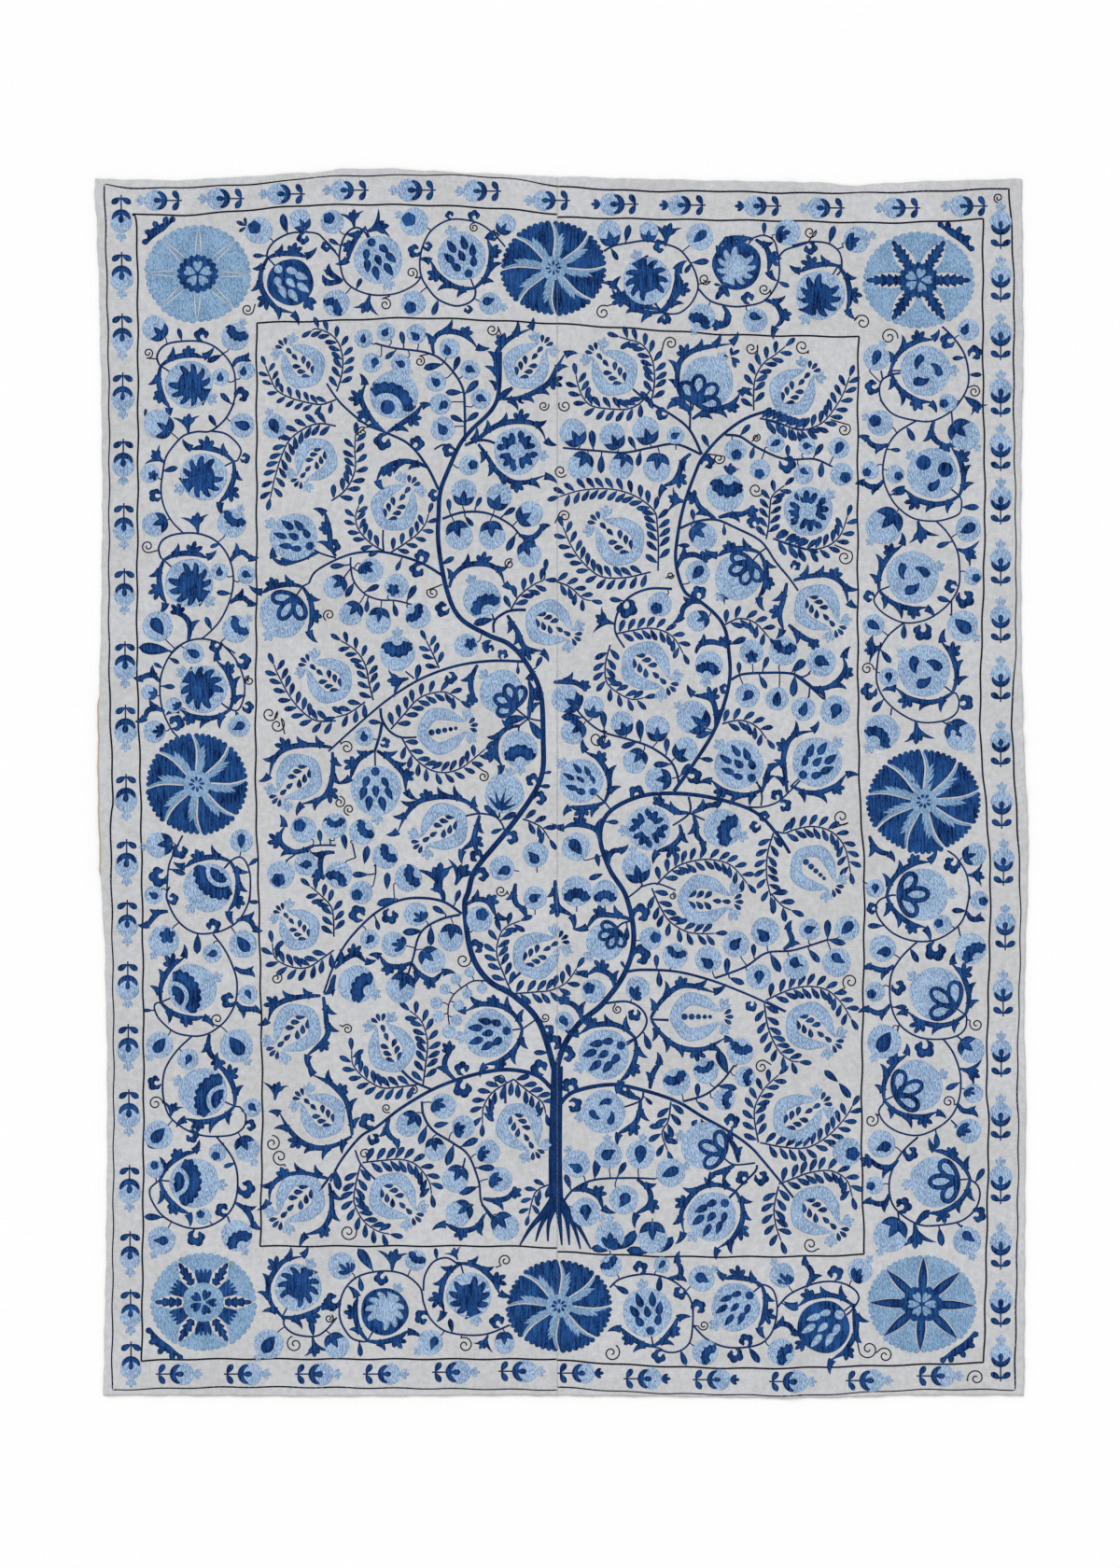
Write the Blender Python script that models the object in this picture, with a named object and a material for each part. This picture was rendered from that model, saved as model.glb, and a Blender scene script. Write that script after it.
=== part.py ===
"""Suzani cloth lying face up: two loom-width face panels seamed side by side over one lining.

Metres, +Z up, X across the cloth, +Y towards its top edge. The lining's underside is z = 0
wherever the cloth lies flat; fold ridges and edge ripples rise a few millimetres from there.
"""

from math import cos, hypot, pi

import bmesh
import bpy

OBJECT_NAME = "suzani_textile"

# All plan positions below are in steps of this length, measured from the cloth's centre.
STEP = 0.00175

PANEL_THICK = 0.0012
LINING_THICK = 0.0010
LAYER_GAP = 0.00035
SEAM_X = -4.5
SEAM_GAP = 0.0005

# Outline: (place along the edge, offset of the edge from the centre).
LEFT_EDGE = (
    (-656, -490.5), (-596, -489.5), (-496, -487.5), (-396, -486.5), (-296, -486.5),
    (-196, -488.5), (-96, -493), (4, -495), (104, -495), (154, -493.5), (204, -492.5),
    (304, -491.5), (404, -492.5), (504, -494.5), (604, -497.5), (648, -500),
)
RIGHT_EDGE = (
    (-656, 495.5), (-546, 496), (-446, 496.5), (-346, 497.5), (-246, 495.5), (-196, 496.5),
    (-96, 499.5), (-46, 500), (4, 497), (54, 494.5), (154, 492.5), (254, 492),
    (354, 492.5), (454, 494.5), (554, 494), (648, 493),
)
TOP_EDGE = (
    (-500, 647.5), (-406, 646), (-361, 649), (-271, 654), (-226, 658.5), (-181, 658.5),
    (-136, 656), (-91, 653.5), (-1, 650), (89, 647.5), (179, 645.5), (269, 644),
    (314, 640.5), (359, 643.5), (404, 645.5), (500, 647.5),
)
BOTTOM_EDGE = (
    (-500, -655.5), (-226, -656.5), (-46, -655.5), (89, -656.5), (179, -657.5),
    (224, -658.5), (314, -657.5), (359, -655.5), (500, -655.5),
)

# The lining is cut smaller than the face, except where it creeps out along the left edge.
LINING_INSET = 4.0
LINING_SHOWS = (-122, 114)
LINING_OVERHANG = 1.6
LINING_EASE = 30.0

# Lattice lines of the sheets, closer together across the ridges.
COLUMNS_LEFT = (-500, -486, -462, -420, -345, -273, -261, -249, -180, -90, -16, SEAM_X)
COLUMNS_RIGHT = (
    SEAM_X, 7, 80, 160, 235, 247, 259, 300, 328, 350, 372, 410, 448, 472, 486, 500,
)
ROWS = (
    -658.5, -644, -590, -521, -505, -489, -420, -340, -260, -180, -120, -70, -21, -8.5, 4,
    20, 33, 46, 60, 74, 90, 114, 170, 250, 340, 430, 484, 500, 516, 552, 585, 618, 644, 658.5,
)

# Heights are level over this last strip at each edge, so that both layers turn alike there.
LEVEL_X = 486
LEVEL_Y = 644

# Ridges: (start, end, half width, height in metres, whether the ends fade out).
RIDGES = (
    ((-261, -700), (-261, 700), 12, 0.0018, False),
    ((247, -700), (247, 700), 12, 0.0020, False),
    ((SEAM_X, -700), (SEAM_X, 700), 11.5, 0.0009, False),
    ((-60, -8.5), (700, -8.5), 12.5, 0.0018, True),
    ((-700, -505), (700, -505), 16, 0.0010, False),
    ((-700, 500), (700, 500), 16, 0.0008, False),
    ((338, 650), (350, 540), 24, 0.0022, True),
    ((380, 46), (520, 46), 13, 0.0026, True),
    ((410, 74), (520, 74), 14, 0.0022, True),
)
END_FADE = 60.0

# The left edge stands up a little where the lining shows.
LIFT_HEIGHT = 0.0024
LIFT_REACH = 40.0

FACE_COLOUR = (0.52, 0.54, 0.58)
SECOND_FACE_COLOUR = (0.51, 0.53, 0.58)
LINING_COLOUR = (0.50, 0.40, 0.28)


def clear_scene():
    """Remove every object that the scene starts with."""
    for item in list(bpy.data.objects):
        bpy.data.objects.remove(item, do_unlink=True)


def ease(t):
    """Smooth 0 to 1 step of a value limited to that range."""
    t = min(max(t, 0.0), 1.0)
    return (1 - cos(pi * t)) / 2


def along(points, place):
    """Offset of an edge at a place along it, eased between its listed points."""
    if place <= points[0][0]:
        return points[0][1]
    for (a, low), (b, high) in zip(points, points[1:]):
        if place <= b:
            return low + (high - low) * ease((place - a) / (b - a))
    return points[-1][1]


def ridge_height(ridge, x, y):
    """Height of one soft ridge at a place, zero beyond its half width."""
    (ax, ay), (bx, by), half, height, fades = ridge
    length = hypot(bx - ax, by - ay)
    ux = (bx - ax) / length
    uy = (by - ay) / length
    run = (x - ax) * ux + (y - ay) * uy
    off = abs((y - ay) * ux - (x - ax) * uy)
    if off >= half:
        return 0.0
    rise = height * ease(1 - off / half)
    if not fades:
        return rise
    return rise * ease(run / END_FADE) * ease((length - run) / END_FADE + 0.35)


def shown_share(y):
    """How far the lining has crept out of the left edge at a height: 0 hidden, 1 out."""
    low, high = LINING_SHOWS
    return ease((y - low) / LINING_EASE) * ease((high - y) / LINING_EASE)


def relief(x, y):
    """Height of the whole cloth above flat at a place."""
    x = min(max(x, -LEVEL_X), LEVEL_X)
    y = min(max(y, -LEVEL_Y), LEVEL_Y)
    tallest = max(ridge_height(ridge, x, y) for ridge in RIDGES)
    lift = LIFT_HEIGHT * shown_share(y) * ease(1 - (x + LEVEL_X) / LIFT_REACH)
    return max(tallest, lift)


def place_on_cloth(x, y):
    """Plan position in metres of a lattice place, with the outline's waves applied."""
    left = along(LEFT_EDGE, y)
    right = along(RIGHT_EDGE, y)
    top = along(TOP_EDGE, x)
    bottom = along(BOTTOM_EDGE, x)
    pull_x = (left + 500) if x < 0 else (right - 500)
    pull_y = (bottom + 658.5) if y < 0 else (top - 658.5)
    return (
        (x + pull_x * ease((abs(x) - 380) / 120)) * STEP,
        (y + pull_y * ease((abs(y) - 540) / 118.5)) * STEP,
    )


def sheet_object(name, columns, base, thick, colour, moved):
    """One closed sheet on the lattice, thickened straight up from its underside.

    Args:
        name: name of the object, its mesh and its material.
        columns: lattice columns that the sheet spans.
        base: height of its underside where the cloth is flat.
        thick: thickness in metres.
        colour: linear base colour.
        moved: function from lattice (x, y) to the shift in metres of a border vertex.
    """
    mesh = bmesh.new()
    bmesh.ops.create_grid(mesh, x_segments=len(columns) - 1, y_segments=len(ROWS) - 1, size=1)
    for vert in mesh.verts:
        column = columns[round((vert.co.x + 1) / 2 * (len(columns) - 1))]
        row = ROWS[round((vert.co.y + 1) / 2 * (len(ROWS) - 1))]
        x, y = place_on_cloth(column, row)
        dx, dy = moved(column, row)
        vert.co = (x + dx, y + dy, base + relief(column, row))
    top = bmesh.ops.extrude_face_region(mesh, geom=list(mesh.faces))
    raised = [item for item in top["geom"] if isinstance(item, bmesh.types.BMVert)]
    bmesh.ops.translate(mesh, verts=raised, vec=(0, 0, thick))
    bmesh.ops.recalc_face_normals(mesh, faces=list(mesh.faces))
    data = bpy.data.meshes.new(name)
    mesh.to_mesh(data)
    mesh.free()
    data.materials.append(cloth_material(name, colour))
    return bpy.data.objects.new(name, data)


def cloth_material(name, colour):
    """Rough dyed or bleached cloth."""
    material = bpy.data.materials.new(name)
    material.use_nodes = True
    shader = material.node_tree.nodes["Principled BSDF"]
    shader.inputs["Base Color"].default_value = (*colour, 1)
    shader.inputs["Roughness"].default_value = 0.92
    return material


def panel_shift(side):
    """Half the seam's gap, for the vertices along the seam only."""

    def shift(x, _):
        """Shift of one panel vertex."""
        return (side * SEAM_GAP / 2 if x == SEAM_X else 0.0, 0.0)

    return shift


def lining_shift(x, y):
    """Inset of the lining's border vertices, or its overhang on the left edge."""
    dx = 0.0
    dy = 0.0
    if x == COLUMNS_LEFT[0]:
        dx = LINING_INSET - (LINING_INSET + LINING_OVERHANG) * shown_share(y)
    if x == COLUMNS_RIGHT[-1]:
        dx = -LINING_INSET
    if y == ROWS[0]:
        dy = LINING_INSET
    if y == ROWS[-1]:
        dy = -LINING_INSET
    return (dx * STEP, dy * STEP)


def build():
    """Make the lining and the two face panels in a collection named for the object."""
    clear_scene()
    home = bpy.data.collections.new(OBJECT_NAME)
    bpy.context.scene.collection.children.link(home)
    face_base = LINING_THICK + LAYER_GAP
    all_columns = COLUMNS_LEFT + COLUMNS_RIGHT[1:]
    pieces = (
        sheet_object("lining", all_columns, 0.0, LINING_THICK, LINING_COLOUR, lining_shift),
        sheet_object("panel_left", COLUMNS_LEFT, face_base, PANEL_THICK, FACE_COLOUR,
                     panel_shift(-1)),
        sheet_object("panel_right", COLUMNS_RIGHT, face_base, PANEL_THICK, SECOND_FACE_COLOUR,
                     panel_shift(1)),
    )
    for piece in pieces:
        home.objects.link(piece)


build()
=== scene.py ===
"""Finish of the suzani: two embroidered loom-width panels seamed over a thin lining, lying face up.

The design is laid out on a chart whose steps are 1.75 mm, x to the right and y down the cloth,
with the cloth's middle at CHART_CENTRE. Headings are in degrees, 0 to the right and 90 towards
the cloth's top. Motifs are drawn by formula and placed one by one; stitching is modelled as padded
bands and patches that follow the cloth's own folds.
"""

import logging
from dataclasses import dataclass
from enum import Enum
from math import atan2, cos, degrees, hypot, pi, radians, sin
from typing import Callable, Iterable, Sequence

import bmesh
import bpy
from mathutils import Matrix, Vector


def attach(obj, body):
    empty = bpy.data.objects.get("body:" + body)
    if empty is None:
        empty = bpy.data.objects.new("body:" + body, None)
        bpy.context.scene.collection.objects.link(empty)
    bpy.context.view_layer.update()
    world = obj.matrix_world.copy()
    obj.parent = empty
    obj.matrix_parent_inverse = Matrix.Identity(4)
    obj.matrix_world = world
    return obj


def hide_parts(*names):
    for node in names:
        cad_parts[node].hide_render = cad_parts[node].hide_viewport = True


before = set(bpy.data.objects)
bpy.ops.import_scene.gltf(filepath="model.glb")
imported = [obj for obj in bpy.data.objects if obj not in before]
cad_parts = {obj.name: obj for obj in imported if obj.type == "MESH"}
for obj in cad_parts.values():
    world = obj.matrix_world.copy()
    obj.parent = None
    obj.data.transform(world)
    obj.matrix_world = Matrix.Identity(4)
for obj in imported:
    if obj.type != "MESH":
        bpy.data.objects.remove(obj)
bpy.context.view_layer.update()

LOG = logging.getLogger("suzani")

Spot = tuple[float, float]
Profile = Callable[[float], float]

CHART_STEP = 0.00175
CHART_CENTRE = (601.5, 839.5)
SEAM_COLUMN = 597.0
PHOTO_CENTRE = (600, 840)
PHOTO_HEIGHT_STEPS = 1680


def on_cloth(x: float, y: float) -> Spot:
    """Plan position in metres of a chart position."""
    return ((x - CHART_CENTRE[0]) * CHART_STEP, (CHART_CENTRE[1] - y) * CHART_STEP)


def walk(x: float, y: float, heading: float, distance: float) -> Spot:
    """Chart position reached by going a distance along a heading."""
    turn = radians(heading)
    return (x + cos(turn) * distance, y - sin(turn) * distance)


def ease(t: float) -> float:
    """Smooth 0 to 1 step of a value limited to that range."""
    t = min(max(t, 0.0), 1.0)
    return (1 - cos(pi * t)) / 2


def eased(points: Sequence[Spot], place: float) -> float:
    """Value at a place between listed (place, value) pairs, eased from one to the next.

    Args:
        points: (place, value) pairs, in rising order of place.
        place: where the value is wanted.

    Returns:
        The value there.
    """
    if place <= points[0][0]:
        return points[0][1]
    for (a, low), (b, high) in zip(points, points[1:]):
        if place <= b:
            return low + (high - low) * ease((place - a) / (b - a))
    return points[-1][1]


def smooth(points: Sequence[Spot], spacing: float = 2.2, closed: bool = False) -> list[Spot]:
    """Even curve through a few chart positions.

    Args:
        points: positions that the curve passes through.
        spacing: distance between the curve's own points, in steps.
        closed: whether it returns to its start.

    Returns:
        Points along the curve, the first and last ones included.
    """
    if closed:
        ends = [points[-1], *points, points[0], points[1]]
    else:
        ends = [points[0], *points, points[-1]]
    path = []
    for i in range(1, len(ends) - 2):
        a, b, c, d = ends[i - 1:i + 3]
        parts = max(2, round(hypot(c[0] - b[0], c[1] - b[1]) / spacing))
        for k in range(parts):
            t = k / parts
            path.append(tuple(
                0.5 * (2 * b[n] + (c[n] - a[n]) * t + (2 * a[n] - 5 * b[n] + 4 * c[n] - d[n]) * t**2
                       + (3 * b[n] - a[n] - 3 * c[n] + d[n]) * t**3)
                for n in (0, 1)))
    path.append(points[0] if closed else points[-1])
    return path


def arc(x: float, y: float, radius: float, start: float, sweep: float, spacing: float,
        grow: float = 0.0) -> list[Spot]:
    """Round path about a centre, spiralling out by grow over its length.

    Args:
        x: centre's column.
        y: centre's row.
        radius: radius where it starts.
        start: angle where it starts.
        sweep: angle that it goes round, counterclockwise if positive.
        spacing: distance between its points, in steps.
        grow: how much larger its radius is where it ends.

    Returns:
        Points along the path.
    """
    parts = max(3, round(abs(radians(sweep)) * (radius + grow / 2) / spacing))
    return [walk(x, y, start + sweep * k / parts, radius + grow * k / parts)
            for k in range(parts + 1)]


def bend(x: float, y: float, heading: float, length: float, turn: float, parts: int) -> list[Spot]:
    """Path that starts along a heading and turns evenly along its length.

    Args:
        x: column of its start.
        y: row of its start.
        heading: way that it starts.
        length: its length.
        turn: angle that it turns by, counterclockwise if positive.
        parts: number of straight parts.

    Returns:
        Points along the path.
    """
    path = [(x, y)]
    for k in range(parts):
        x, y = walk(x, y, heading + turn * (k + 0.5) / parts, length / parts)
        path.append((x, y))
    return path


def heading_at(path: Sequence[Spot], index: int) -> float:
    """Heading of a path at one of its points.

    Args:
        path: chart positions.
        index: which of them.

    Returns:
        The heading.
    """
    a = path[max(index - 1, 0)]
    b = path[min(index + 1, len(path) - 1)]
    return degrees(atan2(a[1] - b[1], b[0] - a[0]))


@dataclass(frozen=True)
class Ridge:
    """One soft fold across the cloth, in steps from its middle, with its height in metres."""

    start: Spot
    end: Spot
    half_width: float
    height: float
    fades: bool = False
    fade_run: float = 60.0

    def rise(self, x: float, y: float) -> float:
        """Height in metres of this fold at a place, zero beyond its half width.

        Args:
            x: steps to the right of the cloth's middle.
            y: steps up from it.

        Returns:
            The height.
        """
        along_x = self.end[0] - self.start[0]
        along_y = self.end[1] - self.start[1]
        length = hypot(along_x, along_y)
        along_x /= length
        along_y /= length
        off = abs((y - self.start[1]) * along_x - (x - self.start[0]) * along_y)
        if off >= self.half_width:
            return 0.0
        rise = self.height * ease(1 - off / self.half_width)
        if not self.fades:
            return rise
        run = (x - self.start[0]) * along_x + (y - self.start[1]) * along_y
        return rise * ease(run / self.fade_run) * ease((length - run) / self.fade_run + 0.35)


@dataclass(frozen=True)
class Cloth:
    """Outline, layers and folds of the lying cloth, in steps from its middle, or metres for _m."""

    half_wide: float = 500.0
    half_long: float = 658.5
    waves_from: Spot = (380.0, 540.0)
    folds_to: Spot = (486.0, 644.0)
    lattice_steps: Sequence[Spot] = ((15, 3.0), (26, 6.0))
    seam: float = -4.5
    seam_gap_m: float = 0.0005
    face_m: float = 0.0012
    lining_m: float = 0.0010
    layer_gap_m: float = 0.00035
    left: Sequence[Spot] = (
        (-656, -490.5), (-596, -489.5), (-496, -487.5), (-396, -486.5), (-296, -486.5),
        (-196, -488.5), (-96, -493), (4, -495), (104, -495), (154, -493.5), (204, -492.5),
        (304, -491.5), (404, -492.5), (504, -494.5), (604, -497.5), (648, -500),
    )
    right: Sequence[Spot] = (
        (-656, 495.5), (-546, 496), (-446, 496.5), (-346, 497.5), (-246, 495.5), (-196, 496.5),
        (-96, 499.5), (-46, 500), (4, 497), (54, 494.5), (154, 492.5), (254, 492),
        (354, 492.5), (454, 494.5), (554, 494), (648, 493),
    )
    top: Sequence[Spot] = (
        (-500, 647.5), (-406, 646), (-361, 649), (-271, 654), (-226, 658.5), (-181, 658.5),
        (-136, 656), (-91, 653.5), (-1, 650), (89, 647.5), (179, 645.5), (269, 644),
        (314, 640.5), (359, 643.5), (404, 645.5), (500, 647.5),
    )
    bottom: Sequence[Spot] = (
        (-500, -655.5), (-226, -656.5), (-46, -655.5), (89, -656.5), (179, -657.5),
        (224, -658.5), (314, -657.5), (359, -655.5), (500, -655.5),
    )
    ridges: Sequence[Ridge] = (
        Ridge((-261, -700), (-261, 700), 12, 0.0018),
        Ridge((247, -700), (247, 700), 12, 0.0020),
        Ridge((-4.5, -700), (-4.5, 700), 11.5, 0.0009),
        Ridge((-60, -8.5), (700, -8.5), 12.5, 0.0018, True),
        Ridge((-700, -505), (700, -505), 16, 0.0010),
        Ridge((-700, 500), (700, 500), 16, 0.0008),
        Ridge((338, 650), (350, 540), 24, 0.0022, True),
        Ridge((380, 46), (520, 46), 13, 0.0026, True),
        Ridge((410, 74), (520, 74), 14, 0.0022, True),
    )
    lining_shows: Spot = (-122, 114)
    lining_run: float = 30.0
    lift_m: float = 0.0024
    lift_run: float = 40.0

    def lining_out(self, y: float) -> float:
        """How far the lining has crept out of the left edge: 0 hidden, 1 fully out."""
        low, high = self.lining_shows
        return ease((y - low) / self.lining_run) * ease((high - y) / self.lining_run)

    def relief(self, x: float, y: float) -> float:
        """Height in metres of the cloth above flat at a place.

        Args:
            x: steps to the right of the cloth's middle.
            y: steps up from it.

        Returns:
            The height.
        """
        far_x, far_y = self.folds_to
        x = min(max(x, -far_x), far_x)
        y = min(max(y, -far_y), far_y)
        tallest = max(ridge.rise(x, y) for ridge in self.ridges)
        lift = self.lift_m * self.lining_out(y) * ease(1 - (x + far_x) / self.lift_run)
        return max(tallest, lift)

    def place(self, x: float, y: float) -> Spot:
        """Plan position in metres of a lattice place, with the outline's waves applied.

        Args:
            x: steps to the right of the cloth's middle.
            y: steps up from it.

        Returns:
            The position in metres.
        """
        wide = self.half_wide
        long = self.half_long
        from_x, from_y = self.waves_from
        pull_x = eased(self.left, y) + wide if x < 0 else eased(self.right, y) - wide
        pull_y = eased(self.bottom, x) + long if y < 0 else eased(self.top, x) - long
        return (
            (x + pull_x * ease((abs(x) - from_x) / (wide - from_x))) * CHART_STEP,
            (y + pull_y * ease((abs(y) - from_y) / (long - from_y))) * CHART_STEP,
        )

    def face_height(self, x_m: float, y_m: float) -> float:
        """Height in metres of the face cloth's top at a plan position in metres."""
        flat = self.lining_m + self.layer_gap_m + self.face_m
        return flat + self.relief(x_m / CHART_STEP, y_m / CHART_STEP)

    def lattice(self, low: float, high: float, marks: Sequence[float], wide: float) -> list[float]:
        """Lattice lines over a span, close together near the marks and wide apart elsewhere.

        Args:
            low: first line.
            high: last line.
            marks: places that need close lines.
            wide: distance between lines elsewhere.

        Returns:
            The lines' places in order.
        """
        lines = [low]
        while lines[-1] < high - 0.1:
            near = min(abs(lines[-1] + 2.0 - mark) for mark in marks)
            step = next((step for reach, step in self.lattice_steps if near < reach), wide)
            lines.append(lines[-1] + step)
        lines[-1] = high
        return lines


CLOTH = Cloth()


class Tone(Enum):
    """Which thread a piece of stitching is worked in."""

    DARK = "dark_thread"
    LIGHT = "light_thread"
    SKY = "sky_thread"
    STEM = "stem_thread"
    LINE = "line_thread"
    PLAIN = "plain_thread"


@dataclass(frozen=True)
class Padding:
    """How far stitching stands out of the cloth, in metres, by level of overlap."""

    bases: Sequence[float] = (0.0, 0.00070, 0.00100, 0.00130)
    full: float = 0.00075
    over: float = 0.00040
    lift: float = 0.00010
    step: float = 0.000004

    def rise(self, level: int) -> float:
        """Height of the top of stitching above its own rim."""
        return self.full if level == 0 else self.over

    def rim(self, level: int) -> float:
        """Height of the rim of stitching above the cloth."""
        return self.bases[level] + self.lift


class Needlework:
    """Collects padded stitching by thread, and lays it over the cloth's folds.

    Each vertex has a crest value, 0 at the rim of its stitching and 1 on top.
    """

    bench_size = 2500
    pad_rim = 1.1
    merge_m = 0.00002
    seam_clear_m = 0.0004

    def __init__(self, cloth: Cloth, padding: Padding) -> None:
        """Start with empty benches, one for each thread.

        Args:
            cloth: what is stitched on.
            padding: how far the stitching stands out.
        """
        self.cloth = cloth
        self.padding = padding
        self.count = 0
        self.flat_row = 0.0
        self.flat_share = 1.0
        self.benches = {tone: self.fresh(bmesh.new()) for tone in Tone}
        self.wholes = {tone: self.fresh(bmesh.new()) for tone in Tone}

    @staticmethod
    def fresh(mesh: bmesh.types.BMesh) -> bmesh.types.BMesh:
        """Empty mesh with a layer for its crest values.

        Args:
            mesh: the mesh, which is emptied.

        Returns:
            The same mesh.
        """
        mesh.clear()
        mesh.verts.layers.float.new("crest")
        return mesh

    def flatten(self, row: float = 0.0, share: float = 1.0) -> None:
        """Draw what follows flattened towards a chart row to a share of its height."""
        self.flat_row = row
        self.flat_share = share

    def plan(self, spot: Spot) -> Spot:
        """Plan position in metres of a chart position, flattened if that is asked for."""
        return on_cloth(spot[0], self.flat_row + (spot[1] - self.flat_row) * self.flat_share)

    def foot(self, level: int) -> float:
        """Height of the next stitching's rim, each one a hair above the one before."""
        self.count += 1
        return self.padding.rim(level) + self.count % 16 * self.padding.step

    def bench(self, tone: Tone) -> bmesh.types.BMesh:
        """Small mesh in progress of one thread, emptied into the whole once it is large.

        Args:
            tone: the thread.

        Returns:
            The mesh to draw on.
        """
        if len(self.benches[tone].verts) > self.bench_size:
            self.empty(tone)
        return self.benches[tone]

    def empty(self, tone: Tone) -> None:
        """Move what is on a bench into the whole of its thread.

        Args:
            tone: the thread.
        """
        data = bpy.data.meshes.new("bench")
        self.benches[tone].to_mesh(data)
        self.wholes[tone].from_mesh(data)
        bpy.data.meshes.remove(data)
        self.fresh(self.benches[tone])

    def band(self, tone: Tone, path: Sequence[Spot], left: Profile, right: Profile | None = None,
             level: int = 0, rows: int = 2) -> None:
        """Padded band of stitching along a path.

        Args:
            tone: thread that it is worked in.
            path: chart positions of its middle line.
            left: half width in steps on its left side, by share of its length.
            right: half width on its right side, the left one's if not given.
            level: how many other layers of stitching it lies over.
            rows: strips across it.
        """
        right = right or left
        steps = len(path) - 1
        spots = [Vector(self.plan(spot)) for spot in path]
        base = self.foot(level)
        rise = self.padding.rise(level)
        bench = self.bench(tone)
        crest = bench.verts.layers.float["crest"]
        ribs = []
        for i, spot in enumerate(spots):
            ahead = spots[min(i + 1, steps)] - spots[max(i - 1, 0)]
            ahead = ahead.normalized() if ahead.length > 1e-9 else Vector((1.0, 0.0))
            share = i / steps
            halves = (right(share), left(share))
            fall = 0.25 if i in (0, steps) else 1.0
            tall = rise * fall * min(1.0, 0.5 + (halves[0] + halves[1]) / 6)
            ribs.append((spot, Vector((-ahead.y, ahead.x)), halves, tall))
        made = bmesh.ops.create_grid(bench, x_segments=steps, y_segments=rows, size=1.0)
        for vert in made["verts"]:
            spot, out, halves, tall = ribs[round((vert.co.x + 1) / 2 * steps)]
            turn = round(vert.co.y * rows) / rows * pi / 2
            across = sin(turn)
            half = halves[1] if across > 0 else halves[0]
            spot = spot + out * (across * half * CHART_STEP)
            vert.co = (spot.x, spot.y, base + tall * cos(turn))
            vert[crest] = cos(turn)
            for face in vert.link_faces:
                face.smooth = True

    def pad(self, tone: Tone, centre: Spot, outline: Sequence[Spot], level: int) -> None:
        """Padded patch with a rounded rim, whose outline is seen whole from its centre.

        Args:
            tone: thread that it is worked in.
            centre: chart position that the rim draws in towards.
            outline: chart positions round it.
            level: how many other layers of stitching it lies over.
        """
        bench = self.bench(tone)
        crest = bench.verts.layers.float["crest"]
        made = bmesh.ops.create_circle(bench, cap_ends=True, segments=len(outline), radius=1.0)
        base = self.foot(level)
        rise = self.padding.rise(level)
        for vert, spot in zip(made["verts"], outline):
            vert.co = (*self.plan(spot), base)
        face = made["verts"][0].link_faces[0]
        face.normal_update()
        if face.normal.z < 0:
            face.normal_flip()
        middle = Vector((*self.plan(centre), 0.0))
        for draw, share in ((0.35 * self.pad_rim, 0.7), (0.65 * self.pad_rim, 1.0)):
            face = bmesh.ops.extrude_discrete_faces(bench, faces=[face])["faces"][0]
            for vert in face.verts:
                arm = vert.co - middle
                arm.z = 0.0
                keep = max(0.35, 1 - draw * CHART_STEP / max(arm.length, 1e-6))
                vert.co = (*(middle + arm * keep).xy, base + rise * share)
                vert[crest] = share

    def slice_folds(self, mesh: bmesh.types.BMesh) -> None:
        """Cut stitching along the cloth's folds, so that it can bend over them.

        Args:
            mesh: the stitching, not yet laid.
        """
        for ridge in self.cloth.ridges:
            start = Vector((*ridge.start, 0.0)) * CHART_STEP
            along = (Vector((*ridge.end, 0.0)) * CHART_STEP - start).normalized()
            out = Vector((-along.y, along.x, 0.0))
            half = ridge.half_width * CHART_STEP
            near = self.geometry_near(mesh, start, out, half)
            for share in (-1, -0.5, 0, 0.5, 1):
                cut = bmesh.ops.bisect_plane(mesh, geom=near, plane_co=start + out * share * half,
                                             plane_no=out, dist=1e-6)
                near = cut["geom"]

    @staticmethod
    def geometry_near(mesh: bmesh.types.BMesh, start: Vector, out: Vector, half: float) -> list:
        """Faces that reach a fold, with their edges and vertices.

        Args:
            mesh: the stitching.
            start: a place on the fold's line, in metres.
            out: direction across the fold.
            half: half the fold's width in metres.

        Returns:
            The vertices, edges and faces.
        """
        faces = []
        for face in mesh.faces:
            sides = [(vert.co - start).dot(out) for vert in face.verts]
            if max(sides) > -half and min(sides) < half:
                faces.append(face)
        edges = {edge for face in faces for edge in face.edges}
        verts = {vert for face in faces for vert in face.verts}
        return [*verts, *edges, *faces]

    def gathered(self, tone: Tone) -> bmesh.types.BMesh:
        """All stitching of one thread as one mesh, cut along the folds but not yet laid.

        Args:
            tone: the thread.

        Returns:
            The mesh.
        """
        self.empty(tone)
        whole = self.wholes[tone]
        bmesh.ops.remove_doubles(whole, verts=list(whole.verts), dist=self.merge_m)
        self.slice_folds(whole)
        return whole

    def laid(self, mesh: bmesh.types.BMesh, name: str) -> bpy.types.Object:
        """Piece made of stitching that is lifted onto the cloth's face.

        Args:
            mesh: the stitching, which is freed.
            name: the piece's name.

        Returns:
            The piece.
        """
        for vert in mesh.verts:
            vert.co.z += self.cloth.face_height(vert.co.x, vert.co.y)
        return piece_from(mesh, name)

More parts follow.
